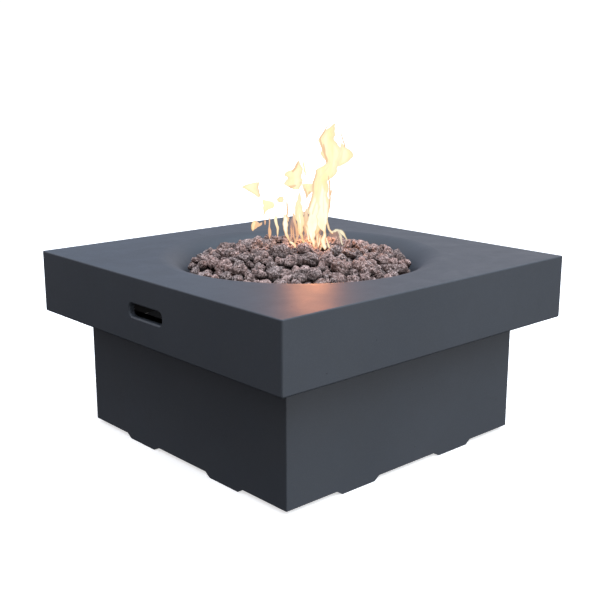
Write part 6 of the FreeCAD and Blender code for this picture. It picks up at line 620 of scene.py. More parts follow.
    (-206.4,-126.9,401.0,11.1,10.3,9.0,0.212,-0.087,0.751,-0.619), (-158.6,-51.3,417.3,14.0,10.9,8.8,0.119,-0.638,0.743,-0.166),
    (108.6,-111.1,427.6,11.2,9.6,8.5,0.251,0.190,-0.028,0.949), (-169.0,-176.1,398.5,20.2,17.1,13.4,0.651,0.079,0.747,-0.109),
    (155.5,-4.2,420.6,20.9,15.7,14.6,-0.086,0.663,0.740,0.073), (6.5,151.1,411.1,7.2,6.7,4.8,0.533,-0.417,0.110,0.728),
    (-188.8,166.7,399.6,9.1,7.2,7.0,0.337,0.521,-0.151,0.770), (193.3,61.6,403.3,8.7,7.7,5.9,-0.098,0.031,-0.570,-0.816),
    (-12.8,126.4,435.1,14.1,10.9,10.2,-0.961,-0.254,-0.106,0.024), (-4.0,27.3,428.5,9.5,6.6,6.3,-0.291,0.160,0.431,0.839),
    (-23.3,-50.8,424.5,18.9,14.6,13.0,0.393,0.033,0.573,0.718), (-73.0,122.0,412.2,13.9,11.8,8.7,0.583,0.509,0.521,-0.360),
    (-32.2,-12.6,424.9,7.7,6.0,5.2,-0.264,0.844,0.372,-0.283), (-102.6,-155.1,410.5,6.7,6.3,5.2,-0.718,-0.016,0.368,-0.590),
    (162.2,81.5,407.5,13.5,11.8,8.7,0.273,0.017,0.677,-0.684), (156.8,123.4,392.5,8.2,7.6,6.5,0.241,0.677,-0.676,-0.163),
    (39.2,-244.2,397.9,13.4,11.6,10.5,0.294,-0.499,-0.803,0.140), (-194.0,-47.5,408.8,9.7,9.1,8.1,-0.600,-0.625,0.231,0.443),
    (-153.5,46.8,433.3,12.5,13.0,9.3,-0.294,-0.396,-0.445,0.747), (9.7,-249.6,408.1,9.5,9.4,7.6,0.305,-0.175,-0.851,-0.390),
    (-150.4,-150.9,413.2,9.7,7.2,6.9,0.642,-0.124,0.150,0.741), (-121.3,-87.0,412.0,17.0,14.8,10.1,-0.057,-0.409,0.621,-0.666),
    (-71.7,-55.3,418.2,8.5,8.4,5.8,0.009,-0.344,0.912,0.222), (121.9,-128.3,404.0,7.6,6.6,5.1,0.512,-0.058,-0.846,-0.134),
    (-37.2,47.0,418.4,11.8,11.2,9.3,0.722,-0.312,0.384,0.484), (203.0,-2.6,417.0,17.5,15.1,11.7,0.508,0.118,-0.281,0.806),
    (104.0,116.0,429.4,12.4,10.7,8.5,0.024,-0.502,-0.864,-0.001), (83.1,140.5,419.9,7.4,6.0,5.1,-0.725,-0.441,0.427,-0.311),
    (-76.9,-69.8,429.6,13.9,13.2,10.6,-0.751,0.390,0.367,-0.386), (160.8,42.9,421.6,15.2,14.8,11.4,0.333,-0.031,-0.089,-0.938),
    (-85.1,-165.4,428.7,8.9,7.4,5.5,-0.898,-0.092,-0.054,0.426), (-99.1,225.6,376.7,7.6,7.1,5.4,-0.123,0.829,0.535,-0.103),
    (95.3,69.8,420.6,7.3,7.1,5.9,0.243,-0.634,-0.649,-0.343), (-38.0,-149.0,431.9,12.5,12.4,10.4,0.845,0.183,-0.324,0.385),
    (-125.7,-139.8,415.0,14.0,12.3,9.2,-0.697,-0.169,-0.627,0.304), (-5.4,-249.5,396.8,11.2,8.7,7.2,-0.820,-0.159,0.543,0.087),
    (73.2,-12.4,423.4,8.9,6.5,5.0,-0.074,0.125,0.024,0.989), (-15.4,82.7,420.0,10.5,7.3,5.9,0.658,-0.171,0.180,-0.711),
    (176.7,-135.4,401.5,10.5,9.4,8.5,-0.716,0.159,-0.655,-0.183), (-161.6,149.7,412.0,11.6,10.8,9.3,0.234,0.338,0.654,0.635),
    (8.9,140.2,423.8,11.7,10.2,9.2,-0.372,-0.792,-0.418,0.245), (-123.2,-0.6,419.5,9.4,8.0,7.6,0.409,0.411,0.445,0.682),
    (10.0,-98.3,418.5,10.1,8.5,6.6,-0.194,0.748,0.290,0.565), (-147.6,-3.3,409.7,8.4,7.9,6.7,0.061,0.664,0.327,0.669),
    (132.5,171.3,414.5,14.8,14.2,10.6,0.013,-0.351,0.203,0.914), (-67.7,74.3,435.0,10.9,7.6,6.2,-0.480,0.099,-0.419,-0.764),
    (61.1,-62.8,431.9,12.0,12.3,9.7,-0.193,-0.681,-0.672,-0.216), (24.4,-9.7,419.3,14.9,12.6,8.8,-0.581,0.360,-0.060,-0.728),
    (-107.3,82.0,418.4,8.8,7.4,5.7,0.821,-0.328,0.276,0.376), (200.7,-92.7,418.3,12.1,10.0,9.4,0.497,-0.165,-0.682,-0.511),
    (155.6,-74.9,420.8,7.1,6.6,5.0,0.290,-0.613,0.245,0.693), (-111.3,50.1,425.4,14.8,14.5,11.7,0.304,0.341,-0.682,0.571),
    (-114.7,187.5,418.6,9.0,7.9,6.1,-0.399,0.026,-0.575,-0.714), (-32.8,-166.2,435.1,8.1,7.4,5.3,0.191,0.564,-0.262,0.760),
    (92.4,228.0,401.1,14.6,12.4,8.5,-0.090,-0.710,0.385,-0.582), (217.4,-37.4,375.5,9.1,7.5,6.0,-0.619,0.208,0.232,-0.720),
    (-81.8,-177.4,415.9,12.6,10.5,9.3,-0.661,0.400,-0.568,0.283), (102.3,169.1,417.0,17.8,18.5,12.7,-0.223,0.073,0.552,0.800),
    (-214.2,87.1,413.2,11.9,10.7,8.9,0.607,-0.388,-0.256,0.645), (-170.3,164.8,400.6,13.6,10.4,9.2,0.316,-0.666,0.640,0.215),
    (149.5,-193.3,411.6,14.2,12.7,9.3,0.142,0.320,0.881,0.318), (195.8,-79.1,426.0,9.7,7.4,5.8,0.154,-0.586,-0.388,0.695),
    (-83.0,7.3,437.0,13.2,11.1,8.8,0.064,-0.676,0.723,-0.128), (9.7,163.2,427.7,13.8,11.5,9.7,-0.239,-0.524,-0.468,-0.670),
    (-81.2,57.8,429.8,14.0,12.3,10.9,0.601,0.707,-0.366,0.071), (45.4,178.8,415.7,7.7,6.5,5.4,0.401,-0.719,-0.417,-0.385),
    (34.5,225.9,414.0,11.8,11.4,9.1,-0.896,-0.081,-0.406,0.164), (238.7,50.9,390.6,16.3,15.2,12.3,-0.724,0.204,-0.120,0.648),
    (-14.4,-79.6,424.9,20.1,17.0,11.8,-0.217,0.408,-0.726,-0.509), (176.2,-40.2,412.3,11.3,9.3,8.3,-0.612,0.226,-0.738,0.172),
    (21.6,86.7,438.8,12.1,10.9,8.0,-0.678,0.517,0.474,0.221), (56.7,47.7,422.5,8.9,7.3,6.2,-0.106,0.344,0.772,0.524),
    (94.3,-127.7,420.5,13.8,13.2,10.2,-0.460,0.385,0.776,0.198), (57.7,-179.7,419.7,12.2,10.0,10.0,-0.048,-0.915,-0.340,0.212),
    (67.2,55.0,431.6,12.2,10.3,8.7,-0.597,0.326,-0.356,0.641), (135.3,130.9,425.3,14.0,10.6,9.4,-0.733,0.437,-0.007,-0.521),
    (85.6,103.8,428.3,13.3,13.4,8.7,0.803,-0.132,0.569,-0.116), (44.2,164.3,422.6,11.1,9.6,8.0,-0.642,0.569,0.378,-0.349),
    (-102.4,93.2,416.3,8.3,6.4,5.2,0.696,0.463,0.393,-0.384), (-122.4,141.5,425.7,11.2,10.3,8.6,0.223,0.955,-0.103,0.169),
    (107.3,-97.2,432.9,7.5,6.8,5.3,0.758,-0.357,0.226,0.497), (-7.4,-132.7,423.1,11.1,9.8,7.1,0.511,0.729,-0.193,0.413),
    (-132.1,-33.7,428.2,10.1,8.6,7.1,-0.265,-0.130,0.028,-0.955), (28.8,167.3,428.4,9.6,8.6,5.9,-0.579,-0.403,-0.025,-0.709),
    (-93.9,230.1,391.7,13.1,10.4,8.5,-0.242,0.928,-0.276,0.063), (-147.5,-168.4,413.5,12.2,13.0,9.5,0.132,0.382,0.629,-0.664),
    (33.1,-69.6,431.5,8.9,7.1,6.2,-0.859,-0.394,0.252,-0.208), (-247.1,30.0,400.1,9.8,8.9,6.3,-0.002,-0.742,0.626,0.239),
    (219.0,-72.1,401.0,11.6,10.0,7.8,0.081,0.819,-0.153,0.547), (-60.3,117.3,431.4,13.8,11.1,9.8,-0.122,-0.276,0.570,0.764),
    (0.4,-33.1,423.2,11.7,11.9,9.2,-0.997,0.044,-0.018,-0.065), (-22.8,33.0,430.1,15.3,12.9,10.4,-0.328,-0.819,0.244,0.402),
    (143.3,-34.4,430.3,18.5,15.6,13.4,0.240,0.298,0.489,0.784), (39.2,-137.8,406.9,8.0,6.6,5.6,-0.696,-0.401,-0.554,-0.220),
    (169.1,156.2,419.3,8.8,6.9,5.4,-0.504,0.300,0.125,-0.800), (8.2,69.4,415.6,8.8,7.2,6.7,0.049,-0.158,-0.964,-0.206),
    (1.1,-10.2,430.0,15.3,13.3,12.1,-0.546,-0.312,-0.679,0.379), (-195.2,52.9,409.6,11.2,8.6,6.5,0.017,0.811,0.583,0.046),
    (174.4,89.6,418.4,12.2,9.8,7.5,-0.470,-0.870,-0.117,0.091), (-189.8,-85.3,417.9,12.1,9.5,7.8,-0.655,0.509,0.009,0.559),
    (122.9,68.4,436.6,15.5,13.0,11.1,-0.306,-0.763,0.569,0.025), (-87.0,-42.3,421.9,13.2,10.9,8.3,-0.130,0.211,0.033,0.968),
    (-100.0,69.7,428.1,10.1,9.0,8.1,0.224,-0.048,-0.964,0.139), (-104.8,-87.7,433.2,15.3,13.7,12.2,0.672,0.228,0.275,0.649),
    (-135.9,4.7,434.5,12.6,10.6,8.8,0.276,-0.021,0.952,0.129), (52.7,42.7,440.5,12.8,11.4,9.8,0.350,0.292,-0.245,0.855),
    (-110.1,9.5,434.0,15.2,14.6,12.6,0.256,-0.951,-0.155,0.081), (-7.8,199.3,416.1,10.1,9.0,7.1,-0.121,-0.180,-0.976,-0.018),
    (52.4,217.1,415.9,8.5,8.4,6.1,-0.638,-0.737,-0.039,0.219), (-199.7,150.0,399.0,10.8,9.4,8.6,0.648,0.327,0.109,0.679),
    (25.1,149.4,427.6,9.7,8.0,7.3,0.064,0.944,-0.322,0.030), (-108.5,215.0,406.0,14.1,12.0,9.4,0.397,-0.088,-0.271,-0.872),
    (50.3,103.6,439.9,14.3,11.4,8.3,0.126,0.521,0.815,0.222), (3.9,-228.6,401.2,11.9,9.1,8.0,-0.824,-0.565,-0.006,-0.044),
    (81.3,0.9,434.2,13.9,10.9,8.6,0.187,0.518,-0.047,-0.834), (47.3,-7.0,427.3,15.7,13.0,11.0,0.164,0.827,-0.386,-0.374),
    (-43.7,-61.4,417.6,7.6,7.3,5.9,0.084,-0.195,-0.794,0.570), (-44.7,171.3,414.1,6.9,5.8,5.5,0.723,-0.594,-0.211,-0.283),
    (205.4,55.6,414.5,10.6,10.6,8.3,0.055,-0.546,-0.799,-0.247), (16.1,-236.3,410.5,8.7,8.3,5.8,-0.511,0.661,-0.168,-0.524),
    (183.1,-85.8,419.5,10.1,8.6,7.3,-0.212,0.966,-0.021,-0.145), (147.4,96.7,416.7,11.5,11.0,8.7,-0.044,-0.167,-0.835,-0.522),
    (99.8,145.8,413.8,9.0,8.4,6.3,0.652,-0.715,0.070,0.242), (132.0,-93.8,430.4,12.5,10.4,9.1,-0.379,-0.120,0.913,0.093),
    (-101.0,-168.1,418.0,11.9,9.6,9.2,0.087,0.581,-0.804,-0.089), (-62.0,-37.4,420.9,12.9,10.2,8.8,0.087,0.119,0.986,0.074),
    (36.2,-105.7,424.6,9.4,6.8,6.3,-0.142,0.283,0.946,-0.061), (244.1,-12.5,378.3,9.3,8.1,7.3,-0.495,-0.518,0.697,-0.043),
    (172.3,-175.7,403.2,12.3,12.5,8.9,-0.883,-0.395,-0.208,0.145), (-244.3,-32.1,408.4,16.4,12.6,10.7,-0.125,0.417,0.620,-0.653),
    (-121.1,120.5,419.2,13.0,10.8,8.3,-0.012,0.514,0.537,-0.669), (-143.2,-69.9,422.7,17.7,14.5,12.9,0.336,-0.336,-0.465,-0.747),
    (26.5,-41.2,425.5,8.0,5.9,4.7,0.487,-0.051,0.532,-0.691), (123.9,-137.4,416.6,7.7,6.3,5.7,-0.351,0.111,-0.439,0.820),
    (-48.8,18.5,411.5,9.9,8.6,7.8,-0.007,0.689,0.634,0.351), (-184.8,-1.9,422.3,13.0,10.8,7.9,-0.185,0.380,0.778,0.465),
    (-144.7,140.2,421.9,11.9,11.4,9.3,0.603,0.770,-0.206,0.038), (128.1,3.2,421.4,11.0,8.8,7.6,0.500,-0.726,-0.466,-0.073),
    (-32.9,-244.4,409.7,15.5,10.7,10.6,0.525,-0.596,-0.582,-0.172), (-106.7,32.7,437.6,10.5,9.4,7.1,0.778,0.010,0.579,-0.244),
    (-54.9,127.0,412.6,9.1,8.7,6.4,0.808,0.438,0.360,-0.162), (82.9,-190.3,410.7,9.2,6.6,5.5,-0.190,-0.626,-0.702,0.282),
    (18.7,119.3,417.4,9.5,8.4,6.4,-0.084,-0.588,0.251,-0.764), (-91.4,-101.0,432.9,10.1,8.8,6.2,-0.581,0.238,0.778,-0.023),
    (81.9,21.0,447.3,12.8,10.9,8.7,0.438,-0.036,0.506,-0.743), (67.3,146.2,427.8,7.3,5.6,5.8,0.566,-0.720,0.018,-0.401),
    (136.6,-69.8,432.2,17.3,16.2,10.7,0.263,-0.078,0.122,-0.954), (238.6,-3.2,390.7,9.4,6.7,5.7,-0.351,0.518,-0.454,0.634),
    (31.9,-231.3,409.9,9.5,8.3,7.5,0.214,-0.636,-0.366,-0.645), (-158.0,-9.8,422.3,11.1,8.6,8.3,0.213,0.030,-0.451,-0.866),
    (-53.4,90.4,442.3,14.5,12.3,11.1,-0.222,-0.814,-0.392,0.367), (125.0,23.3,435.4,7.1,7.5,5.2,-0.301,0.849,0.384,0.201),
    (129.5,115.1,416.1,12.4,12.3,9.3,0.249,-0.791,0.460,0.318), (-144.0,121.3,429.0,9.5,9.6,6.8,-0.277,-0.321,-0.122,-0.897),
    (-124.5,161.3,416.1,8.1,6.4,5.1,-0.661,-0.501,0.449,-0.331), (-237.0,-60.8,402.7,12.2,10.6,8.4,-0.475,0.840,-0.259,0.044),
    (127.2,-177.6,402.5,8.7,7.4,6.5,-0.379,-0.395,-0.142,-0.825), (36.9,-52.3,443.2,18.6,18.3,13.0,0.168,-0.003,-0.212,-0.963),
    (25.8,-96.0,439.8,16.9,15.2,13.9,-0.082,-0.052,-0.666,0.739), (42.8,12.8,442.1,14.2,11.0,10.4,0.118,0.718,0.439,0.528),
    (166.8,121.3,403.4,7.8,6.7,5.8,0.431,0.639,-0.250,0.586), (-7.4,8.8,438.4,14.6,12.1,9.2,-0.638,-0.496,0.124,-0.575),
    (-58.2,44.5,421.8,14.1,11.7,8.4,-0.543,-0.221,-0.785,0.199), (121.5,-105.4,436.1,8.6,6.3,5.9,-0.260,0.211,0.726,-0.601),
    (-31.5,90.5,430.4,12.9,10.8,9.4,0.473,0.696,-0.533,-0.088), (-20.1,-17.2,438.1,14.6,13.2,10.0,-0.456,0.148,0.517,-0.709),
    (82.3,127.4,432.0,12.9,10.6,9.6,-0.161,-0.914,-0.371,-0.019), (30.4,160.0,416.8,8.7,7.2,5.7,-0.036,-0.208,-0.820,0.532),
    (-71.7,-9.6,442.2,16.1,14.4,10.9,0.041,0.658,-0.750,0.053), (0.5,-55.3,435.0,14.8,13.5,11.4,-0.430,0.504,-0.721,-0.201),
    (-106.4,132.2,425.4,9.9,7.8,7.7,-0.303,-0.201,-0.753,0.549), (133.8,89.7,425.2,8.1,7.4,5.0,0.602,-0.723,0.334,-0.062),
    (-12.1,-225.8,413.1,13.9,12.1,10.2,-0.100,0.689,0.341,-0.631), (-60.8,-77.7,426.9,8.1,8.0,5.5,-0.195,-0.701,-0.083,-0.681),
    (-55.8,-56.0,431.6,15.4,13.8,10.9,-0.961,0.193,0.025,0.199), (38.5,-24.6,438.1,14.1,11.3,9.7,-0.269,0.458,-0.664,-0.527),
    (-3.9,-148.6,425.7,8.5,7.7,5.8,0.927,-0.113,0.353,0.052), (-115.8,76.7,429.3,8.3,8.1,6.2,-0.977,-0.149,0.029,-0.149),
    (87.7,82.3,424.1,7.5,6.0,4.9,0.324,-0.693,0.279,-0.580), (-186.4,-64.5,414.8,9.5,7.2,7.2,0.536,-0.739,-0.138,0.385),
    (90.1,-15.2,428.7,10.3,10.2,7.0,-0.031,-0.152,-0.074,0.985), (-95.3,87.8,429.5,11.2,9.0,6.4,0.299,-0.888,0.340,-0.083),
    (42.9,151.1,436.2,13.8,10.5,9.0,-0.309,-0.895,-0.283,0.153), (73.3,-23.1,443.0,17.2,13.7,12.5,0.664,0.628,-0.341,0.219),
    (197.6,69.2,425.6,11.6,9.6,7.3,-0.579,-0.786,0.186,0.108), (-122.9,-69.3,433.4,11.3,10.2,7.8,-0.654,-0.318,-0.686,-0.017),
    (-63.4,194.1,426.5,7.9,6.9,5.3,0.261,0.564,-0.483,-0.617), (-124.0,-24.2,440.1,9.0,8.2,6.5,-0.216,0.787,-0.060,0.574),
    (-92.6,-204.7,405.1,9.7,9.1,6.3,0.001,-0.920,0.163,0.355), (228.7,-48.7,378.9,7.7,6.8,4.9,0.464,0.347,-0.811,-0.079),
    (17.0,38.4,432.8,11.9,10.2,9.1,0.826,-0.433,-0.344,0.112), (-40.7,12.7,436.0,18.3,16.1,14.0,-0.324,-0.666,-0.341,-0.578),
    (-33.6,-58.1,448.0,19.4,16.0,12.0,-0.777,-0.594,-0.103,0.182), (132.0,101.5,407.5,7.6,7.1,4.9,0.007,0.628,0.359,-0.690),
    (238.6,-79.8,396.9,9.3,7.2,6.4,-0.085,-0.456,-0.754,0.465), (120.9,0.5,434.5,9.2,8.4,6.0,-0.089,0.986,-0.101,0.097),
    (151.0,-61.0,417.3,10.4,8.7,6.3,-0.712,-0.542,-0.444,-0.034), (119.7,-61.9,443.0,7.3,6.3,5.9,-0.511,-0.030,0.835,0.201),
    (-90.3,19.8,443.1,9.6,7.3,5.9,0.296,0.222,-0.131,-0.920), (175.7,124.5,418.7,14.7,12.0,8.7,-0.147,0.007,-0.072,-0.986),
    (61.3,20.8,445.7,14.6,12.4,8.9,0.065,-0.884,0.164,0.434), (-127.8,65.9,432.7,7.7,6.8,6.2,0.092,-0.887,-0.315,0.325),
    (117.6,106.7,436.9,9.0,7.4,5.9,0.324,0.637,0.045,0.697), (16.1,-33.4,436.6,11.5,10.8,9.7,0.327,0.731,-0.270,-0.534),
    (-37.0,-20.9,435.8,7.2,6.4,5.3,0.176,0.331,-0.585,-0.719), (19.9,1.9,447.9,21.5,15.9,14.1,-0.864,0.482,-0.031,0.146),
    (65.5,-170.0,433.7,11.6,8.8,8.1,0.212,0.599,-0.755,-0.164), (-30.5,177.9,413.0,8.1,6.9,5.3,-0.620,-0.608,0.157,0.471),
    (185.6,-132.8,389.1,8.0,5.6,4.9,-0.503,0.759,0.398,-0.113), (-84.2,77.1,436.6,9.4,9.7,7.2,-0.681,0.470,0.522,0.209),
    (-79.7,-34.3,443.1,19.9,15.7,14.5,0.665,-0.202,0.046,-0.718), (80.2,73.0,424.6,6.9,6.0,5.8,0.533,-0.647,-0.396,-0.373),
    (-133.9,110.3,431.5,9.4,7.7,7.5,-0.950,-0.289,0.115,0.034), (68.2,-166.0,420.7,7.4,5.7,5.2,-0.167,-0.280,0.901,-0.286),
    (18.4,171.8,437.8,7.3,7.2,5.2,0.652,-0.719,-0.107,0.218), (208.9,22.3,416.4,9.7,7.8,7.7,-0.175,0.690,0.072,0.699),
    (5.5,-21.1,448.1,9.0,7.6,6.2,-0.707,0.430,0.300,0.474), (88.4,66.1,439.8,17.3,13.3,11.4,0.570,0.113,0.094,0.808),
    (-47.7,40.0,436.6,10.8,10.9,7.5,0.251,0.336,0.551,0.721), (-5.0,-35.8,442.6,12.3,11.3,9.3,0.347,-0.416,-0.840,0.032),
    (82.5,85.8,438.1,11.0,8.3,7.9,0.170,0.920,0.353,-0.034), (29.9,120.8,435.5,14.7,12.9,11.2,-0.737,0.263,-0.583,0.219),
    (-124.1,-8.3,440.6,9.4,8.7,7.1,0.161,-0.514,-0.842,0.040), (-121.0,102.6,430.4,8.7,8.9,6.1,0.775,0.061,-0.129,-0.615),
    (130.5,100.4,432.8,11.0,10.4,7.6,-0.104,0.278,0.831,-0.471), (-44.5,-35.7,437.5,13.6,11.1,9.4,0.543,0.207,-0.607,0.542),
    (116.4,-45.9,436.4,13.6,12.8,10.7,0.020,-0.686,0.698,-0.203), (27.5,-32.4,447.8,6.8,6.6,4.8,0.359,-0.707,0.333,0.510),
    (-189.2,152.9,413.0,9.1,8.1,7.7,0.580,0.278,0.503,0.578), (244.8,-39.1,406.9,12.7,11.8,8.5,0.737,-0.240,-0.380,0.505),
    (-6.3,149.1,435.8,12.0,9.8,8.5,-0.046,0.990,-0.096,0.090), (-203.9,-0.2,414.3,12.3,10.7,7.5,0.404,0.429,0.806,-0.054),
    (117.5,128.6,432.9,12.2,9.3,7.8,-0.671,0.187,0.448,-0.561), (41.5,85.5,443.3,12.7,10.6,9.4,0.524,-0.359,0.489,-0.598),
    (-25.7,-197.7,392.0,8.9,7.6,6.9,0.869,-0.448,0.153,-0.140), (5.2,79.2,446.9,9.8,8.6,7.5,-0.704,-0.610,0.120,0.344),
    (-239.3,-75.7,412.1,8.0,7.4,5.6,0.209,-0.186,0.955,0.096), (-114.8,66.6,440.2,9.1,7.4,6.7,-0.650,-0.435,-0.158,0.603),
    (-99.2,57.6,442.9,10.9,8.8,7.1,-0.450,0.772,-0.330,-0.303), (-25.8,-187.2,427.9,8.9,8.0,6.4,0.079,0.078,-0.768,0.631),
    (249.6,35.7,401.7,7.2,7.1,5.8,-0.803,0.033,-0.538,-0.253), (-106.2,79.2,440.6,8.7,7.7,6.9,-0.581,-0.297,0.518,-0.553),
    (-26.5,-32.6,445.2,10.1,10.6,7.1,-0.802,-0.105,-0.437,0.393), (-6.1,-10.2,453.0,11.0,8.7,7.8,-0.321,0.307,-0.803,0.396),
    (-100.8,-195.2,414.5,8.4,7.6,6.2,0.563,-0.686,0.428,-0.172),
]


def ico(level):
    import bmesh
    bm = bmesh.new()
    bmesh.ops.create_icosphere(bm, subdivisions=level, radius=1.0)
    v = np.array([x.co[:] for x in bm.verts])
    f = np.array([[x.index for x in y.verts] for y in bm.faces])
    bm.free()
    return v / np.linalg.norm(v, axis=1)[:, None], f


ICO = {2: ico(2), 3: ico(3), 4: ico(4)}


def stone(level):
    """Unit lava stone: (vertices, faces, painted cavity shade 0..1)."""
    d, f = ICO[level]
    n = rng.normal(size=(11, 3))
    n /= np.linalg.norm(n, axis=1)[:, None]
    h = rng.uniform(0.64, 0.97, 11)
    c = d @ n.T
    r = np.where(c > 0.05, h / np.maximum(c, 0.05), 9.0)
    r = np.concatenate([r, np.full((len(d), 1), 1.10)], axis=1)
    k = 30.0
    r = -np.log(np.exp(-k * r).sum(1)) / k + 0.05
    for amp, fr, cnt in ((0.060, 2.4, 4), (0.055, 5.5, 8), (0.045, 10.0, 12)):
        for _ in range(cnt):
            w = rng.normal(size=3) * fr
            r = r + amp / math.sqrt(cnt) * np.sin(d @ w + rng.uniform(0, 6.28))
    # burst gas bubbles, with sharp walls left between them
    m = 64 if level > 2 else 16
    pc = rng.normal(size=(m, 3))
    pc /= np.linalg.norm(pc, axis=1)[:, None]
    pw = rng.uniform(0.13, 0.34, m)
    pd = rng.uniform(0.05, 0.17, m)
    ang = np.arccos(np.clip(d @ pc.T, -1, 1))
    e = np.clip(1 - (ang / pw) ** 2, 0, 1)
    dig = (e * pd).max(1)
    r = r - dig
    if level > 2:
        r = r + rng.normal(size=len(d)) * 0.014
    # painted shade: the deeper a burst bubble, the darker its cavity is painted
    cavity_shade = np.clip(dig / 0.15, 0, 1)
    return d * r[:, None], f, cavity_shade


def build_stones():
    q = np.array(STONES, float)
    pos, half, rot = q[:, 0:3] / 1000, q[:, 3:6] / 1000, q[:, 6:10]
    rad = np.hypot(pos[:, 0], pos[:, 1])
    top = 0.447 - 0.030 * (rad / 0.26) ** 2
    depth = top - pos[:, 2]
    groups = {}
    for i in range(len(q)):
        lvl = 4 if (depth[i] < 0.022 and half[i].max() > 0.0085) else 2
        sector = int((math.atan2(pos[i, 1], pos[i, 0]) + math.pi) / (2 * math.pi) * 4) % 4
        key = "rocks_%s_%d" % ("top" if lvl == 4 else "bed", sector + 1)
        groups.setdefault(key, []).append((i, lvl))
    out = []
    for key in sorted(groups):
        vs, fs, tint, base = [], [], [], 0
        for i, lvl in groups[key]:
            v, f, cavity_shade = stone(lvl)
            s = half[i] * 1.10
            w = Quaternion((rot[i, 3], rot[i, 0], rot[i, 1], rot[i, 2]))
            m3 = np.array(w.to_matrix())
            p = (v * s) @ m3.T + pos[i]
            vs.append(p)
            fs.append(f + base)
            base += len(v)
            # painted shade: the lower part of each stone is darkened and joins the cavity shade in the third channel of
            # the tint attribute
            underside_shade = (pos[i, 2] + 0.34 * half[i, 2] - p[:, 2]) / (0.80 * half[i].mean())
            cavity_shade = np.clip(np.maximum(0.85 * cavity_shade, np.clip(underside_shade, 0, 1)), 0, 1)
            hue = float(np.clip(rng.normal(0.47, 0.20), 0, 1))
            pale = 0.50
            val = float(np.clip(rng.normal(pale, 0.29), 0.0, 1.25))
            t = np.ones((len(v), 4))
            # painted light and shade: the top of each stone is painted lighter and its lower part darker, added to the
            # stone's random tone
            top_light_and_low_shade = np.clip((p[:, 2] - pos[i, 2]) / half[i, 2], -1, 1)
            t[:, 0], t[:, 1], t[:, 2] = hue, np.clip(val + 0.40 * top_light_and_low_shade - 0.14, 0, 1.5), cavity_shade
            tint.append(t)
        vs, fs, tint = np.concatenate(vs), np.concatenate(fs), np.concatenate(tint)
        me = bpy.data.meshes.new(key)
        me.from_pydata(vs.tolist(), [], fs.tolist())
        me.update()
        # tint attribute: hue, random tone with painted top light and low shade, painted cavity and underside shade
        a = me.attributes.new("tint", "FLOAT_COLOR", "POINT")
        a.data.foreach_set("color", tint.astype(np.float32).ravel())
        if key.startswith("rocks_top"):
            me.shade_flat()
        else:
            me.shade_smooth()
        ob = bpy.data.objects.new(key, me)
        scene.collection.objects.link(ob)
        me.materials.append(LAVA)
        out.append(ob)
    return out


rocks = build_stones()
for ob in rocks:
    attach(ob, "rock_bed")
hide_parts("lava_rocks")

# ------------------------------------------------------------------ springs
# The two return springs lift the controls; each is copied into a coil of its own, attached to the body, and the
# original part is hidden.
for node, foot, joint, travel in (("stem_spring", 0.3082, "knob_push", 0.0060), ("igniter_spring", 0.3168, "igniter_push", 0.0040)):
    coil = bpy.data.objects.new(node + "_coil", nodes[node].data.copy())
    scene.collection.objects.link(coil)
    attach(coil, "body")
    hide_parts(node)
    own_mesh(coil)

# -------------------------------------------------------------------- floor
floor_me = bpy.data.meshes.new("studio_floor")
S = 14.0
floor_me.from_pydata([(-S, -S, 0), (S, -S, 0), (S, S, 0), (-S, S, 0)], [], [(0, 1, 2, 3)])
floor = bpy.data.objects.new("studio_floor", floor_me)
scene.collection.objects.link(floor)
fm = Mat("studio_floor")
fn = fm.noise(1.3, 3.0, 0.5)
fm.to(fm.mix(fm.ramp(fn, [(0.3, 0.0), (0.7, 1.0)]), (0.86, 0.86, 0.865), (0.88, 0.88, 0.88)), "Base Color")
fm.p.inputs["Roughness"].default_value = 0.9
fm.p.inputs["Specular IOR Level"].default_value = 0.0
glow = fm.t.nodes.new("ShaderNodeEmission")
glow.inputs["Color"].default_value = (1, 1, 1, 1)
glow.inputs["Strength"].default_value = 0.62
both = fm.t.nodes.new("ShaderNodeAddShader")
fm.link(fm.p.outputs[0], both.inputs[0])
fm.link(glow.outputs[0], both.inputs[1])
fm.link(both.outputs[0], fm.out.inputs[0])
floor_me.materials.append(fm.m)
floor.visible_diffuse = False
floor.visible_glossy = False

# ------------------------------------------------------------------- flames
CAM = Vector((-1.5221, -1.6841, 0.8694))
yaw = math.radians(42.144)
RIGHT = Vector((math.cos(yaw), -math.sin(yaw), 0))
AWAY = Vector((math.sin(yaw), math.cos(yaw), 0))

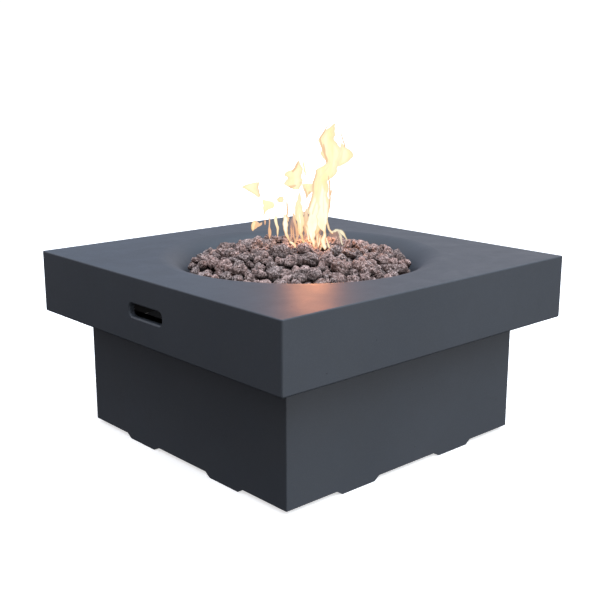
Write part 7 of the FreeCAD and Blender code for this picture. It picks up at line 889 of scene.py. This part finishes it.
# Tongues of fire, stage dressing only.  Each is a kind, a depth offset and
# rows of (height above the deck, left edge, right edge), in millimetres.
TONGUES = [
    ("pale", 0, [(300.8, 80.2, 82.1), (291.9, 68.7, 81.5), (283.5, 57.0, 79.3), (272.9, 49.6, 79.8), (262.3, 43.2, 81.5), (253.8, 44.3, 87.4), (245.4, 47.9, 93.8), (234.8, 50.0, 100.6), (224.2, 53.2, 96.3), (213.6, 60.6, 92.1), (203.1, 55.9, 90.0), (194.6, 37.2, 88.9), (184.0, 35.8, 85.7), (175.5, 36.8, 73.4), (167.1, 32.6, 65.5), (154.4, 29.4, 66.6), (139.6, 30.0, 67.6), (118.4, 23.2, 69.8), (101.5, 19.8, 69.1), (90.9, 21.9, 65.5), (82.4, 26.2, 62.3)]),
    ("pale", 8, [(258.1, 95.5, 96.8), (250.7, 94.2, 103.8), (241.1, 92.1, 115.5), (232.7, 90.0, 121.8), (224.2, 87.8, 121.4), (215.7, 87.4, 115.5), (209.4, 87.4, 104.8), (203.5, 88.3, 94.2)]),
    ("edge", 10, [(281.4, 95.1, 96.3), (270.8, 96.3, 98.9), (260.2, 99.3, 102.7), (250.7, 102.7, 106.1), (246.4, 104.4, 107.0)]),
    ("edge", -16, [(250.7, 53.8, 55.9), (234.8, 54.7, 58.9), (224.2, 56.4, 61.0), (214.5, 59.3, 62.3), (209.4, 60.2, 61.0)]),
    ("hot", -62, [(158.6, 50.4, 51.3), (141.7, 47.4, 56.4), (124.7, 44.3, 61.3), (107.8, 42.8, 64.4), (95.1, 42.1, 65.7), (82.4, 40.0, 64.4), (69.7, 38.9, 62.3), (60.2, 41.1, 61.0), (53.8, 46.4, 60.2), (47.5, 53.0, 61.0), (40.1, 52.5, 60.2), (33.7, 49.6, 59.8), (27.4, 48.3, 59.3), (21.0, 48.7, 60.6), (14.7, 50.8, 62.3), (9.4, 53.8, 61.0), (5.2, 56.4, 58.9)]),
    ("thin", -64, [(38.0, 48.3, 49.6), (31.6, 44.9, 48.7), (25.3, 44.0, 47.9), (18.9, 42.8, 46.6), (12.6, 41.9, 44.5), (8.3, 41.1, 42.8)]),
    ("thin", -64, [(33.7, 59.3, 61.0), (26.3, 60.6, 64.0), (20.0, 62.3, 66.6), (13.6, 64.4, 69.1), (8.3, 67.0, 70.4)]),
    ("thin", -64, [(23.2, 51.7, 53.0), (14.7, 49.6, 52.1), (7.3, 47.9, 50.0), (3.0, 47.0, 48.3)]),
    ("hot", -40, [(133.2, 34.3, 35.1), (120.5, 30.4, 39.4), (107.8, 24.5, 44.3), (95.1, 21.5, 46.4), (82.4, 19.8, 47.0), (69.7, 18.3, 45.7), (59.1, 16.8, 41.5), (50.7, 17.3, 37.2), (42.2, 20.2, 37.2), (33.7, 23.6, 37.2), (25.3, 27.0, 36.4), (17.9, 29.6, 36.0), (12.6, 31.7, 35.1), (7.3, 32.6, 34.1)]),
    ("gold", -24, [(107.8, 42.8, 43.6), (97.2, 35.1, 49.6), (82.4, 32.6, 51.7), (65.5, 31.7, 51.7), (52.8, 34.7, 47.4), (44.3, 36.4, 43.2)]),
    ("ember", -44, [(61.2, 36.0, 38.9), (50.7, 37.2, 41.9), (40.1, 36.8, 45.7), (29.5, 37.2, 47.4), (18.9, 36.4, 47.0), (12.6, 37.2, 43.2), (8.3, 38.9, 41.1)]),
    ("haze", -42, [(71.8, 34.7, 51.7), (57.0, 32.6, 55.9), (44.3, 35.1, 53.8), (31.6, 35.5, 49.6), (16.8, 35.1, 49.6), (6.2, 36.8, 45.3)]),
    ("thin", -75, [(192.5, 64.4, 65.7), (179.8, 53.8, 56.4), (167.1, 44.3, 46.6), (150.1, 41.7, 44.0), (133.2, 40.0, 42.6), (118.4, 37.2, 40.6), (105.7, 32.6, 36.8), (95.1, 30.0, 33.4), (84.5, 28.7, 30.9)]),
    ("edge", -76, [(171.3, 63.6, 65.3), (154.4, 65.3, 68.7), (135.3, 66.1, 70.0), (116.3, 66.1, 70.0), (99.3, 65.3, 68.3), (88.8, 64.0, 65.7)]),
    ("thin", -74, [(150.1, 55.5, 56.6), (133.2, 54.2, 56.4), (116.3, 53.0, 55.1), (99.3, 53.4, 55.3), (86.6, 53.8, 55.1)]),
    ("edge", -30, [(294.1, 70.8, 72.1), (284.5, 59.1, 62.3), (272.9, 52.5, 55.5), (260.2, 45.7, 48.7), (249.6, 47.4, 50.8), (236.9, 51.3, 55.1), (224.2, 55.5, 59.8), (211.5, 61.0, 64.4), (204.1, 59.8, 61.5)]),
    ("edge", -30, [(190.4, 36.4, 38.1), (179.8, 36.0, 38.9), (169.2, 33.0, 36.4), (156.5, 30.0, 33.0), (139.6, 29.6, 32.6), (124.7, 26.6, 29.6), (107.8, 21.1, 24.5), (95.1, 19.8, 21.9)]),
    ("pale", 14, [(143.8, -0.6, 0.7), (131.1, -4.4, 4.1), (120.5, -7.8, 5.4), (107.8, -10.4, 7.1), (97.2, -11.7, 8.8), (86.6, -8.9, 9.6), (78.2, -5.7, 8.1)]),
    ("gold", -22, [(111.0, -2.7, -1.4), (101.5, -7.0, 5.4), (90.9, -7.8, 9.2), (78.2, -6.5, 10.9), (65.5, -5.3, 10.5), (54.9, -4.0, 9.6), (46.4, -2.3, 8.3), (40.1, 1.5, 8.8), (31.6, 4.1, 10.5), (23.2, 6.6, 15.1), (16.8, 10.5, 20.7), (12.6, 15.1, 23.2), (9.2, 19.8, 23.2)]),
    ("hot", -26, [(99.3, -0.6, 0.7), (88.8, -3.1, 4.5), (76.1, -1.9, 5.4), (63.4, -1.0, 6.2), (52.8, -0.2, 5.8), (44.3, 1.5, 4.9)]),
    ("ember", -38, [(53.8, -2.7, 1.5), (44.3, -4.4, 0.3), (33.7, -8.2, -2.3), (23.2, -12.1, -6.1), (16.8, -12.9, -9.1), (12.6, -12.9, -11.2)]),
    ("thin", -42, [(26.3, -21.4, -19.7), (22.7, -22.3, -12.1), (18.9, -16.8, -9.1), (13.6, -12.1, -7.8), (7.3, -10.8, -7.4), (2.0, -9.9, -8.7)]),
    ("ember", -18, [(95.1, -15.9, -14.6), (86.6, -15.5, -9.9), (76.1, -14.2, -7.8), (65.5, -11.7, -6.1), (54.9, -9.1, -3.6), (44.3, -7.8, -4.4), (38.0, -7.4, -6.1)]),
    ("haze", -30, [(80.3, -20.6, -12.1), (65.5, -23.8, -6.8), (52.8, -24.8, -1.4), (40.1, -24.4, -1.4), (27.4, -20.6, -5.7), (16.8, -18.5, -6.8), (6.2, -16.3, -9.9)]),
    ("haze", -28, [(95.1, 7.1, 21.9), (82.4, 8.1, 24.1), (65.5, 8.1, 24.1), (50.7, 7.1, 28.3), (35.9, 7.1, 28.3), (23.2, 10.2, 28.3), (12.6, 15.6, 28.3)]),
    ("ember", -32, [(101.5, 15.1, 16.4), (93.0, 12.6, 18.5), (80.3, 10.9, 19.4), (65.5, 9.6, 18.5), (54.9, 10.9, 16.8), (46.4, 11.3, 15.1)]),
    ("thin", -43, [(62.3, 13.0, 14.3), (54.9, 13.9, 19.8), (44.3, 16.8, 21.9), (33.7, 19.0, 23.2), (27.4, 19.8, 21.9)]),
    ("ember", -43, [(40.1, 16.0, 17.7), (29.5, 13.9, 17.7), (21.0, 13.4, 16.8), (14.7, 14.3, 16.0)]),
    ("ember", -40, [(63.4, -19.7, -18.5), (52.8, -20.6, -17.2), (42.2, -19.3, -15.9), (31.6, -20.6, -17.6), (23.2, -21.9, -19.7)]),
    ("ember", -41, [(59.1, -14.6, -13.8), (48.5, -15.9, -12.5), (38.0, -14.2, -11.2), (27.4, -12.1, -9.5), (18.9, -10.4, -8.7)]),
    ("thin", -44, [(46.4, 40.6, 41.5), (38.0, 38.9, 41.9), (27.4, 39.8, 42.8), (16.8, 41.5, 44.0), (10.0, 42.8, 44.0)]),
    ("ember", -43, [(73.9, 16.0, 17.7), (61.2, 16.8, 19.8), (48.5, 13.9, 16.8), (38.0, 10.9, 13.4), (29.5, 11.7, 13.9), (18.9, 14.3, 16.8)]),
    ("hot", -10, [(89.2, -35.5, -34.2), (84.5, -37.2, -29.9), (76.1, -37.8, -25.3), (65.5, -38.2, -25.9), (54.9, -37.6, -27.0), (47.5, -35.5, -27.4), (40.1, -31.2, -24.8), (32.7, -27.0, -22.3), (26.3, -24.0, -20.6), (22.1, -21.4, -19.7)]),
    ("ember", 20, [(90.9, -29.9, -28.7), (85.6, -29.9, -23.6), (80.3, -29.1, -24.4), (76.1, -26.5, -24.4)]),
    ("edge", 23, [(129.0, -29.9, -28.7), (112.0, -30.8, -26.1), (97.2, -29.9, -25.7), (88.8, -33.3, -27.4)]),
    ("thin", -6, [(87.9, -54.6, -53.3), (84.5, -57.6, -51.2), (78.2, -58.4, -51.2), (71.8, -57.6, -49.9), (63.4, -55.0, -48.6), (54.9, -53.3, -47.8), (46.4, -52.5, -48.6), (38.0, -51.2, -49.9)]),
    ("ember", -6, [(84.5, -70.3, -69.5), (78.2, -70.7, -67.8), (65.5, -71.2, -67.8), (54.9, -72.0, -66.1), (46.4, -72.4, -65.2), (40.1, -71.6, -66.9), (33.7, -70.3, -68.6)]),
    ("ember", 29, [(83.5, -81.8, -80.5), (77.1, -82.6, -78.8), (69.7, -81.8, -80.1)]),
    ("gold", -4, [(77.8, -104.3, -102.2), (73.9, -108.6, -100.1), (68.7, -110.9, -100.9), (63.4, -112.0, -102.6), (58.1, -111.8, -104.3), (54.5, -110.3, -106.0), (52.4, -109.0, -107.7)]),
    ("ember", -5, [(76.1, -103.1, -100.9), (70.8, -106.5, -95.0), (65.5, -107.7, -92.4), (60.2, -107.7, -95.8), (56.0, -107.7, -101.8)]),
    ("ember", -3, [(72.3, -88.6, -85.2), (68.0, -96.3, -85.6), (64.6, -98.8, -90.3), (61.7, -99.2, -95.8)]),
    ("pale", 14, [(217.0, -2.7, -0.2), (207.3, -8.9, 3.9), (196.7, -16.3, 8.1), (191.4, -32.3, 8.1), (184.0, -35.9, 7.3), (178.1, -26.5, 6.8), (171.3, -29.9, 5.6), (162.8, -35.5, 4.1), (156.5, -25.9, 1.1), (151.2, -14.2, 0.7)]),
    ("edge", 12, [(215.7, -3.6, -1.4), (207.3, -9.1, -3.6), (197.8, -14.2, -8.7), (191.2, -18.0, -14.2)]),
    ("edge", 13, [(160.7, -12.1, -7.8), (157.8, -23.8, -9.9), (154.4, -22.7, -15.3), (152.3, -21.4, -19.3)]),
    ("gold", 18, [(221.3, 8.3, 9.6), (209.4, 7.5, 10.9), (200.9, 8.8, 13.4), (188.2, 11.7, 15.6), (180.8, 13.0, 14.3)]),
    ("pale", 8, [(163.3, 7.1, 34.3), (158.6, 8.8, 31.5), (150.1, 10.2, 28.7), (143.8, 11.7, 27.9), (137.0, 14.3, 21.9), (130.0, 16.0, 18.1)]),
    ("edge", 6, [(152.3, 10.9, 13.4), (143.8, 12.6, 16.8), (137.0, 14.3, 19.8), (131.9, 15.6, 18.5), (129.0, 16.4, 17.3)]),
    ("edge", 5, [(145.9, 21.1, 27.5), (142.5, 20.2, 25.3), (139.6, 19.8, 21.9)]),
    ("pale", 20, [(169.2, -100.3, -91.8), (163.9, -122.6, -94.6), (157.5, -132.8, -96.0), (152.3, -122.6, -96.0), (145.9, -113.0, -93.9), (139.6, -105.6, -91.2), (133.6, -97.1, -91.8)]),
    ("edge", 20, [(166.2, -96.3, -94.6), (156.5, -97.1, -95.0), (145.9, -94.6, -92.4), (136.2, -92.4, -90.7)]),
    ("gold", 12, [(127.9, -86.0, -84.3), (123.7, -86.9, -63.9), (118.4, -86.5, -58.8), (111.0, -84.3, -59.7), (107.4, -82.6, -62.7), (103.6, -82.6, -72.4), (97.2, -83.5, -78.8), (88.3, -83.9, -82.4)]),
    ("pale", 18, [(135.3, -45.0, -37.6), (129.0, -51.4, -35.5), (121.6, -49.3, -39.7)]),
    ("edge", 6, [(150.1, 74.2, 75.5), (143.8, 70.8, 75.1), (137.4, 68.3, 73.4), (132.1, 69.1, 71.3), (120.5, 70.0, 71.7), (107.8, 70.0, 72.1)]),
    ("hot", -46, [(80.3, 62.3, 63.6), (65.5, 62.3, 66.1), (54.9, 64.4, 70.0), (48.5, 67.9, 74.7), (44.3, 71.7, 77.6), (41.8, 74.2, 76.8)]),
    ("haze", -56, [(50.7, 77.2, 92.1), (42.2, 64.4, 96.3), (33.7, 65.5, 100.6), (27.4, 70.8, 102.7), (18.9, 85.7, 102.7)]),
]
# Curling tongues: kind, depth and a spine of (sideways, height, half width).
CURLS = [
    ("thin", -48, [(73.0, 46.0, 1.9), (79.3, 48.5, 3.2), (85.7, 50.7, 4.0), (93.1, 48.1, 4.3), (100.2, 41.8, 3.4), (105.3, 34.2, 2.3), (109.5, 27.8, 1.1)]),
    ("thin", -50, [(88.3, 46.4, 1.9), (92.9, 40.5, 2.8), (94.6, 31.6, 2.6), (96.3, 23.2, 2.3), (99.3, 15.5, 1.3)]),
    ("ember", -56, [(61.0, 44.3, 1.7), (65.3, 37.1, 2.3), (72.1, 31.6, 2.1), (79.8, 29.5, 1.9), (86.6, 31.6, 1.9), (91.7, 37.1, 1.7)]),
    ("thin", 8, [(0.7, 162.4, 1.3), (9.2, 162.4, 1.5), (19.8, 165.4, 1.7), (28.3, 168.3, 1.5), (34.7, 170.0, 1.1)]),
    ("edge", 9, [(1.1, 167.5, 1.9), (5.4, 162.8, 2.1), (8.3, 155.2, 1.7), (9.6, 150.1, 1.1)]),
]


def smooth(col, per=5):
    """Catmull-Rom through a column of numbers, per steps a span."""
    col = np.array(col, float)
    n = len(col)
    p = np.concatenate([[2 * col[0] - col[1]], col, [2 * col[-1] - col[-2]]])
    out = []
    for x in np.linspace(0, n - 1, (n - 1) * per + 1):
        i = min(int(x), n - 2)
        u = x - i
        a, b, c, d = p[i], p[i + 1], p[i + 2], p[i + 3]
        out.append(0.5 * (2 * b + (c - a) * u + (2 * a - 5 * b + 4 * c - d) * u * u + (3 * b - a - 3 * c + d) * u ** 3))
    return np.array(out)


def loft(name, rings):
    """Closed mesh through rings of equal length."""
    seg = len(rings[0])
    verts = [tuple(p) for r in rings for p in r]
    m = len(rings)
    faces = []
    for k in range(m - 1):
        for j in range(seg):
            a, b = k * seg + j, k * seg + (j + 1) % seg
            faces.append((a, b, b + seg, a + seg))
    c0 = len(verts)
    verts.append(tuple(np.mean(verts[:seg], axis=0)))
    verts.append(tuple(np.mean(verts[(m - 1) * seg:m * seg], axis=0)))
    for j in range(seg):
        faces.append((c0, (j + 1) % seg, j))
        faces.append((c0 + 1, (m - 1) * seg + j, (m - 1) * seg + (j + 1) % seg))
    me = bpy.data.meshes.new(name)
    me.from_pydata(verts, [], faces)
    me.update()
    ob = bpy.data.objects.new(name, me)
    scene.collection.objects.link(ob)
    ob.visible_shadow = False
    ob.visible_diffuse = False
    ob.visible_glossy = False
    return ob


def tongue(name, rows, depth, insets, seed, flat=0.62, seg=18):
    """Nested flame bodies from rows of left and right edges, one list per inset."""
    r2 = np.random.default_rng(seed)
    rows = np.array(rows, float)
    z, lo, hi = smooth(rows[:, 0]), smooth(rows[:, 1]), smooth(rows[:, 2])
    ph = r2.uniform(0, 6.28, 8)
    run = np.abs(z - z[0])
    mid, half = (lo + hi) / 2, np.maximum((hi - lo) / 2, 0.35)
    amp = np.minimum(0.12 * half, 0.9)
    mid = mid + amp * (np.sin(run / 5.2 + ph[0]) + 0.6 * np.sin(run / 2.6 + ph[1]))
    half = half + amp * (0.7 * np.sin(run / 4.1 + ph[2]) + 0.5 * np.sin(run / 2.2 + ph[3]))
    half = np.maximum(half, 0.3)
    drift = 5.0 * np.sin(run / 38.0 + ph[4])
    out = []
    for n, inset in enumerate(insets):
        sets, rings = [], []
        for k in range(len(z) + 1):
            h = half[k] - inset if k < len(z) else -1.0
            if inset == 0 and k < len(z):
                h = half[k]
            if h < 0.3 and (inset or k == len(z)):
                if len(rings) > 3:
                    sets.append(rings)
                rings = []
                continue
            ring = []
            for j in range(seg):
                t = 2 * math.pi * j / seg
                w = h * (1 + 0.07 * math.sin(2 * t + run[k] / 9.0 + ph[5]))
                u = mid[k] + w * math.cos(t)
                d = depth + drift[k] + w * flat * math.sin(t)
                ring.append((RIGHT * (u / 1000) + AWAY * (d / 1000) + Vector((0, 0, DECK + (z[k] - 0.244 * depth) / 1000)))[:])
            rings.append(ring)
        out.append([loft("%s_%d%s" % (name, n, "abcdefgh"[i % 8]), r) for i, r in enumerate(sets)])
    return out


def curl(name, stations, depth, scales, seed, flat=0.85, seg=16):
    r2 = np.random.default_rng(seed)
    st = np.array(stations, float)
    su, sz, sw = smooth(st[:, 0]), smooth(st[:, 1]), np.maximum(smooth(st[:, 2]), 0.15)
    ph = r2.uniform(0, 6.28, 6)
    run = np.concatenate([[0], np.cumsum(np.hypot(np.diff(su), np.diff(sz)))])
    sw = sw * (1 + 0.14 * np.sin(run / 6.5 + ph[0]) + 0.10 * np.sin(run / 3.1 + ph[1]))
    m = len(su)
    out = []
    for scale in scales:
        rings = []
        for k in range(m):
            k0, k1 = max(k - 1, 0), min(k + 1, m - 1)
            du, dz = su[k1] - su[k0], sz[k1] - sz[k0]
            L = math.hypot(du, dz) or 1.0
            nu, nz = dz / L, -du / L
            ring = []
            for j in range(seg):
                a = 2 * math.pi * j / seg
                w = sw[k] * scale
                u, z = su[k] + w * math.cos(a) * nu, sz[k] + w * math.cos(a) * nz
                ring.append((RIGHT * (u / 1000) + AWAY * ((depth + w * flat * math.sin(a)) / 1000) + Vector((0, 0, DECK + (z - 0.244 * depth) / 1000)))[:])
            rings.append(ring)
        out.append(loft("%s_%d" % (name, len(out)), rings))
    return out


def gas(name, sigma, warm, cool, thin=(0.35, 0.3, 0.65, 1.7), lemon=None):
    """A glowing gas: absorbs sigma per metre, glows between the colours warm
    and cool, and is drawn out into rising streaks. thin gives the noise values
    and densities its thinnest and thickest streaks sit at; higher up the gas
    turns to the colour lemon."""
    m = bpy.data.materials.new(name)
    m.use_nodes = True
    t = m.node_tree
    t.nodes.clear()

    def node(kind, **values):
        n = t.nodes.new(kind)
        for k, v in values.items():
            n.inputs[k].default_value = v
        return n

    out = node("ShaderNodeOutputMaterial")
    add = node("ShaderNodeAddShader")
    ab = node("ShaderNodeVolumeAbsorption")
    em = node("ShaderNodeEmission")
    tc = node("ShaderNodeTexCoord")

    def streaks(scale, detail, wander):
        mp = node("ShaderNodeMapping", Scale=scale)
        t.links.new(tc.outputs["Object"], mp.inputs[0])
        no = node("ShaderNodeTexNoise", Scale=1.0, Detail=detail, Distortion=wander)
        t.links.new(mp.outputs[0], no.inputs["Vector"])
        return no.outputs["Fac"]

    mr = t.nodes.new("ShaderNodeMapRange")
    for i, v in zip((1, 3, 2, 4), thin):
        mr.inputs[i].default_value = v
    t.links.new(streaks((150.0, 150.0, 30.0), 2.0, 0.8), mr.inputs[0])
    top = max(sigma) * 1.0001
    dens = t.nodes.new("ShaderNodeMath")
    dens.operation = "MULTIPLY"
    dens.inputs[1].default_value = top
    t.links.new(mr.outputs[0], dens.inputs[0])
    ab.inputs["Color"].default_value = tuple(1 - s / top for s in sigma) + (1,)
    t.links.new(dens.outputs[0], ab.inputs["Density"])
    tone = t.nodes.new("ShaderNodeMapRange")
    tone.inputs[1].default_value, tone.inputs[2].default_value = 0.38, 0.60
    t.links.new(streaks((72.0, 72.0, 11.0), 2.0, 0.7), tone.inputs[0])
    mix = t.nodes.new("ShaderNodeMix")
    mix.data_type = "RGBA"
    mix.inputs[6].default_value = tuple(s / top * c for s, c in zip(sigma, warm)) + (1,)
    mix.inputs[7].default_value = tuple(s / top * c for s, c in zip(sigma, cool)) + (1,)
    t.links.new(tone.outputs[0], mix.inputs[0])
    sep = node("ShaderNodeSeparateXYZ")
    t.links.new(tc.outputs["Object"], sep.inputs[0])
    rise = t.nodes.new("ShaderNodeMapRange")
    rise.inputs[1].default_value, rise.inputs[2].default_value = DECK + 0.055, DECK + 0.115
    t.links.new(sep.outputs[2], rise.inputs[0])
    up = t.nodes.new("ShaderNodeMix")
    up.data_type = "RGBA"
    t.links.new(rise.outputs[0], up.inputs[0])
    t.links.new(mix.outputs[2], up.inputs[6])
    up.inputs[7].default_value = tuple(s / top * (c if lemon is None else k) for s, c, k in zip(sigma, cool, lemon or cool)) + (1,)
    if lemon is None:
        t.links.new(mix.outputs[2], up.inputs[7])
    t.links.new(up.outputs[2], em.inputs["Color"])
    t.links.new(dens.outputs[0], em.inputs["Strength"])
    t.links.new(ab.outputs[0], add.inputs[0])
    t.links.new(em.outputs[0], add.inputs[1])
    t.links.new(add.outputs[0], out.inputs["Volume"])
    m.cycles.volume_step_rate = 0.25
    return m


# Each kind of flame is a nest of gases: (inset mm, sigma, warm, cool, streaks).
KINDS = {
    "hot": [(0.0, (15, 19, 24), (0.90, 0.44, 0.22), (0.98, 0.62, 0.36), (0.38, 0.1, 0.66, 2.0), (1.01, 0.93, 0.62)),
            (0.7, (56, 60, 66), (0.98, 0.58, 0.29), (1.02, 0.80, 0.48), (0.35, 0.3, 0.65, 1.6), (1.03, 0.98, 0.66)),
            (1.7, (190, 190, 190), (1.04, 0.86, 0.46), (1.12, 1.06, 0.82), (0.35, 0.5, 0.65, 1.5), (1.06, 1.04, 0.78)),
            (3.0, (420, 420, 420), (1.12, 1.02, 0.64), (1.18, 1.18, 1.10), (0.35, 0.7, 0.65, 1.3), (1.10, 1.09, 0.92))],
    "gold": [(0.0, (11, 15, 20), (0.88, 0.40, 0.18), (0.96, 0.58, 0.30), (0.38, 0.1, 0.66, 2.0), (1.00, 0.90, 0.56)),
             (0.8, (44, 48, 56), (0.98, 0.56, 0.24), (1.04, 0.80, 0.40), (0.36, 0.2, 0.64, 1.7), (1.01, 0.96, 0.56)),
             (2.2, (110, 110, 116), (1.04, 0.80, 0.38), (1.12, 1.08, 0.74), (0.36, 0.4, 0.64, 1.6), (1.04, 1.02, 0.66))],
    "pale": [(0.0, (6, 8, 11), (0.95, 0.68, 0.42), (1.00, 0.92, 0.64), (0.44, 0.0, 0.66, 2.8)),
             (1.6, (7, 8, 13), (0.99, 0.93, 0.50), (1.02, 1.01, 0.64), (0.40, 0.0, 0.66, 1.9)),
             (5.0, (13, 13, 17), (1.01, 1.00, 0.46), (1.04, 1.05, 0.72), (0.36, 0.3, 0.64, 1.8)),
             (10.0, (18, 18, 21), (1.02, 1.03, 0.54), (1.06, 1.07, 0.88), (0.36, 0.3, 0.64, 1.8))],
    "ember": [(0.0, (7, 10, 14), (0.86, 0.36, 0.20), (0.94, 0.54, 0.32), (0.38, 0.1, 0.64, 1.8), (0.98, 0.78, 0.56)),
              (1.0, (18, 22, 28), (0.96, 0.50, 0.26), (1.02, 0.74, 0.42), (0.38, 0.1, 0.64, 1.8), (0.98, 0.82, 0.54))],
    "thin": [(0.0, (50, 66, 84), (0.95, 0.46, 0.22), (1.00, 0.70, 0.40), (0.36, 0.3, 0.66, 1.7), (1.00, 0.88, 0.56)),
             (0.7, (420, 420, 440), (1.04, 0.88, 0.52), (1.14, 1.10, 0.84), (0.36, 0.4, 0.66, 1.6), (1.04, 1.00, 0.64))],
    "edge": [(0.0, (150, 190, 250), (0.93, 0.52, 0.30), (0.98, 0.74, 0.48), (0.40, 0.1, 0.64, 1.6), (0.94, 0.62, 0.38))],
    "haze": [(0.0, (1.0, 1.4, 1.8), (0.56, 0.22, 0.16), (0.80, 0.42, 0.30), (0.50, 0.0, 0.64, 3.0), (0.98, 0.86, 0.74)),
             (4.0, (1.5, 2.0, 2.5), (0.60, 0.24, 0.16), (0.84, 0.44, 0.30), (0.50, 0.0, 0.64, 3.0), (0.98, 0.86, 0.74))],
}
GAS = {k: [gas("flame_%s_%d" % (k, i), *v[1:]) for i, v in enumerate(shells)] for k, shells in KINDS.items()}
for i, (kind, depth, rows) in enumerate(TONGUES):
    for mat, obs in zip(GAS[kind], tongue("flame_%02d" % i, rows, depth, [v[0] for v in KINDS[kind]], 300 + i)):
        for o in obs:
            o.data.materials.append(mat)
for i, (kind, depth, st) in enumerate(CURLS):
    for mat, o in zip(GAS[kind], curl("flame_curl_%02d" % i, st, depth, (1.25, 0.80, 0.5, 0.3)[:len(GAS[kind])], 500 + i)):
        o.data.materials.append(mat)

# ------------------------------------------------------------------- lights


def area(name, loc, target, size, energy, color=(1, 1, 1), size_y=None):
    d = bpy.data.lights.new(name, "AREA")
    d.energy = energy
    d.color = color
    d.shape = "RECTANGLE"
    d.size = size
    d.size_y = size_y or size
    o = bpy.data.objects.new(name, d)
    o.location = loc
    o.rotation_euler = (Vector(target) - Vector(loc)).to_track_quat("-Z", "Y").to_euler()
    scene.collection.objects.link(o)
    return o


sun = bpy.data.lights.new("soft_sky", "SUN")
sun.energy = 2.0
sun.color = (0.947, 1.065, 1.206)
sun.angle = math.radians(70)
sun_o = bpy.data.objects.new("soft_sky", sun)
sun_o.rotation_euler = (math.radians(14), math.radians(10), 0)
scene.collection.objects.link(sun_o)
glowcard = area("fire_reflection", RIGHT * 0.031 + AWAY * 0.0 + Vector((0, 0, DECK + 0.13)), CAM * 1.0, 0.095, 0.46,
                color=(0.80, 0.188, 0.022), size_y=0.24)
glowcard.visible_camera = False
glowcard.visible_diffuse = False
for nm, (u, z, dd), e in (("fire_a", (38, 52, -20), 0.40), ("fire_b", (2, 45, -25), 0.25)):
    d = bpy.data.lights.new(nm, "POINT")
    d.energy = e
    d.color = (1.0, 0.50, 0.22)
    d.shadow_soft_size = 0.035
    o = bpy.data.objects.new(nm, d)
    o.location = RIGHT * (u / 1000) + AWAY * (dd / 1000) + Vector((0, 0, DECK + z / 1000))
    scene.collection.objects.link(o)

# sky: a few broad soft lobes, each (direction, tightness, colour)
SKY = [
    ((0.20, -0.90, 0.35), 3.0, (2.082, 2.036, 2.058)),
    ((-0.90, 0.20, 0.35), 3.0, (0.408, 0.386, 0.398)),
    ((0.86, 0.44, 0.24), 8.0, (0.868, 0.774, 0.766)),
    ((0.36, 0.90, 0.24), 8.0, (0.000, 0.074, 0.196)),
    ((-0.24, 0.62, 0.70), 4.0, (1.225, 1.229, 1.334)),
    ((0.37, -0.34, 0.85), 4.0, (0.260, 0.490, 0.745)),
]
w = bpy.data.worlds.new("studio")
scene.world = w
w.use_nodes = True
wt = w.node_tree
wt.nodes.clear()
wo = wt.nodes.new("ShaderNodeOutputWorld")
cam_bg = wt.nodes.new("ShaderNodeBackground")
cam_bg.inputs["Color"].default_value = (1, 1, 1, 1)
cam_bg.inputs["Strength"].default_value = 1.06
lit_bg = wt.nodes.new("ShaderNodeBackground")
tc = wt.nodes.new("ShaderNodeTexCoord")
total = None
for direction, tight, colour in SKY:
    dot = wt.nodes.new("ShaderNodeVectorMath")
    dot.operation = "DOT_PRODUCT"
    dot.inputs[1].default_value = Vector(direction).normalized()
    wt.links.new(tc.outputs["Generated"], dot.inputs[0])
    pos = wt.nodes.new("ShaderNodeMath")
    pos.operation = "MAXIMUM"
    pos.inputs[1].default_value = 0.0001
    wt.links.new(dot.outputs["Value"], pos.inputs[0])
    pw = wt.nodes.new("ShaderNodeMath")
    pw.operation = "POWER"
    pw.inputs[1].default_value = tight
    wt.links.new(pos.outputs[0], pw.inputs[0])
    sc = wt.nodes.new("ShaderNodeVectorMath")
    sc.operation = "SCALE"
    sc.inputs[0].default_value = colour
    wt.links.new(pw.outputs[0], sc.inputs["Scale"])
    if total is None:
        total = sc.outputs[0]
    else:
        ad = wt.nodes.new("ShaderNodeVectorMath")
        ad.operation = "ADD"
        wt.links.new(total, ad.inputs[0])
        wt.links.new(sc.outputs[0], ad.inputs[1])
        total = ad.outputs[0]
wt.links.new(total, lit_bg.inputs["Color"])
lit_bg.inputs["Strength"].default_value = 1.0
lp = wt.nodes.new("ShaderNodeLightPath")
mixw = wt.nodes.new("ShaderNodeMixShader")
wt.links.new(lp.outputs["Is Camera Ray"], mixw.inputs[0])
wt.links.new(lit_bg.outputs[0], mixw.inputs[1])
wt.links.new(cam_bg.outputs[0], mixw.inputs[2])
wt.links.new(mixw.outputs[0], wo.inputs[0])

# ------------------------------------------------------------------- camera
cd = bpy.data.cameras.new("camera")
cd.lens = 59.21
cd.sensor_width = 36.0
cd.clip_start = 0.01
cd.clip_end = 100.0
cam = bpy.data.objects.new("camera", cd)
cam.location = CAM
el = math.radians(13.748)
fwd = Vector((math.sin(yaw) * math.cos(el), math.cos(yaw) * math.cos(el), -math.sin(el)))
cam.rotation_euler = fwd.to_track_quat("-Z", "Y").to_euler()
scene.collection.objects.link(cam)
scene.camera = cam
scene.view_settings.view_transform = "Standard"
scene.view_settings.look = "None"
scene.view_settings.exposure = 0.0
scene.view_settings.gamma = 1.0
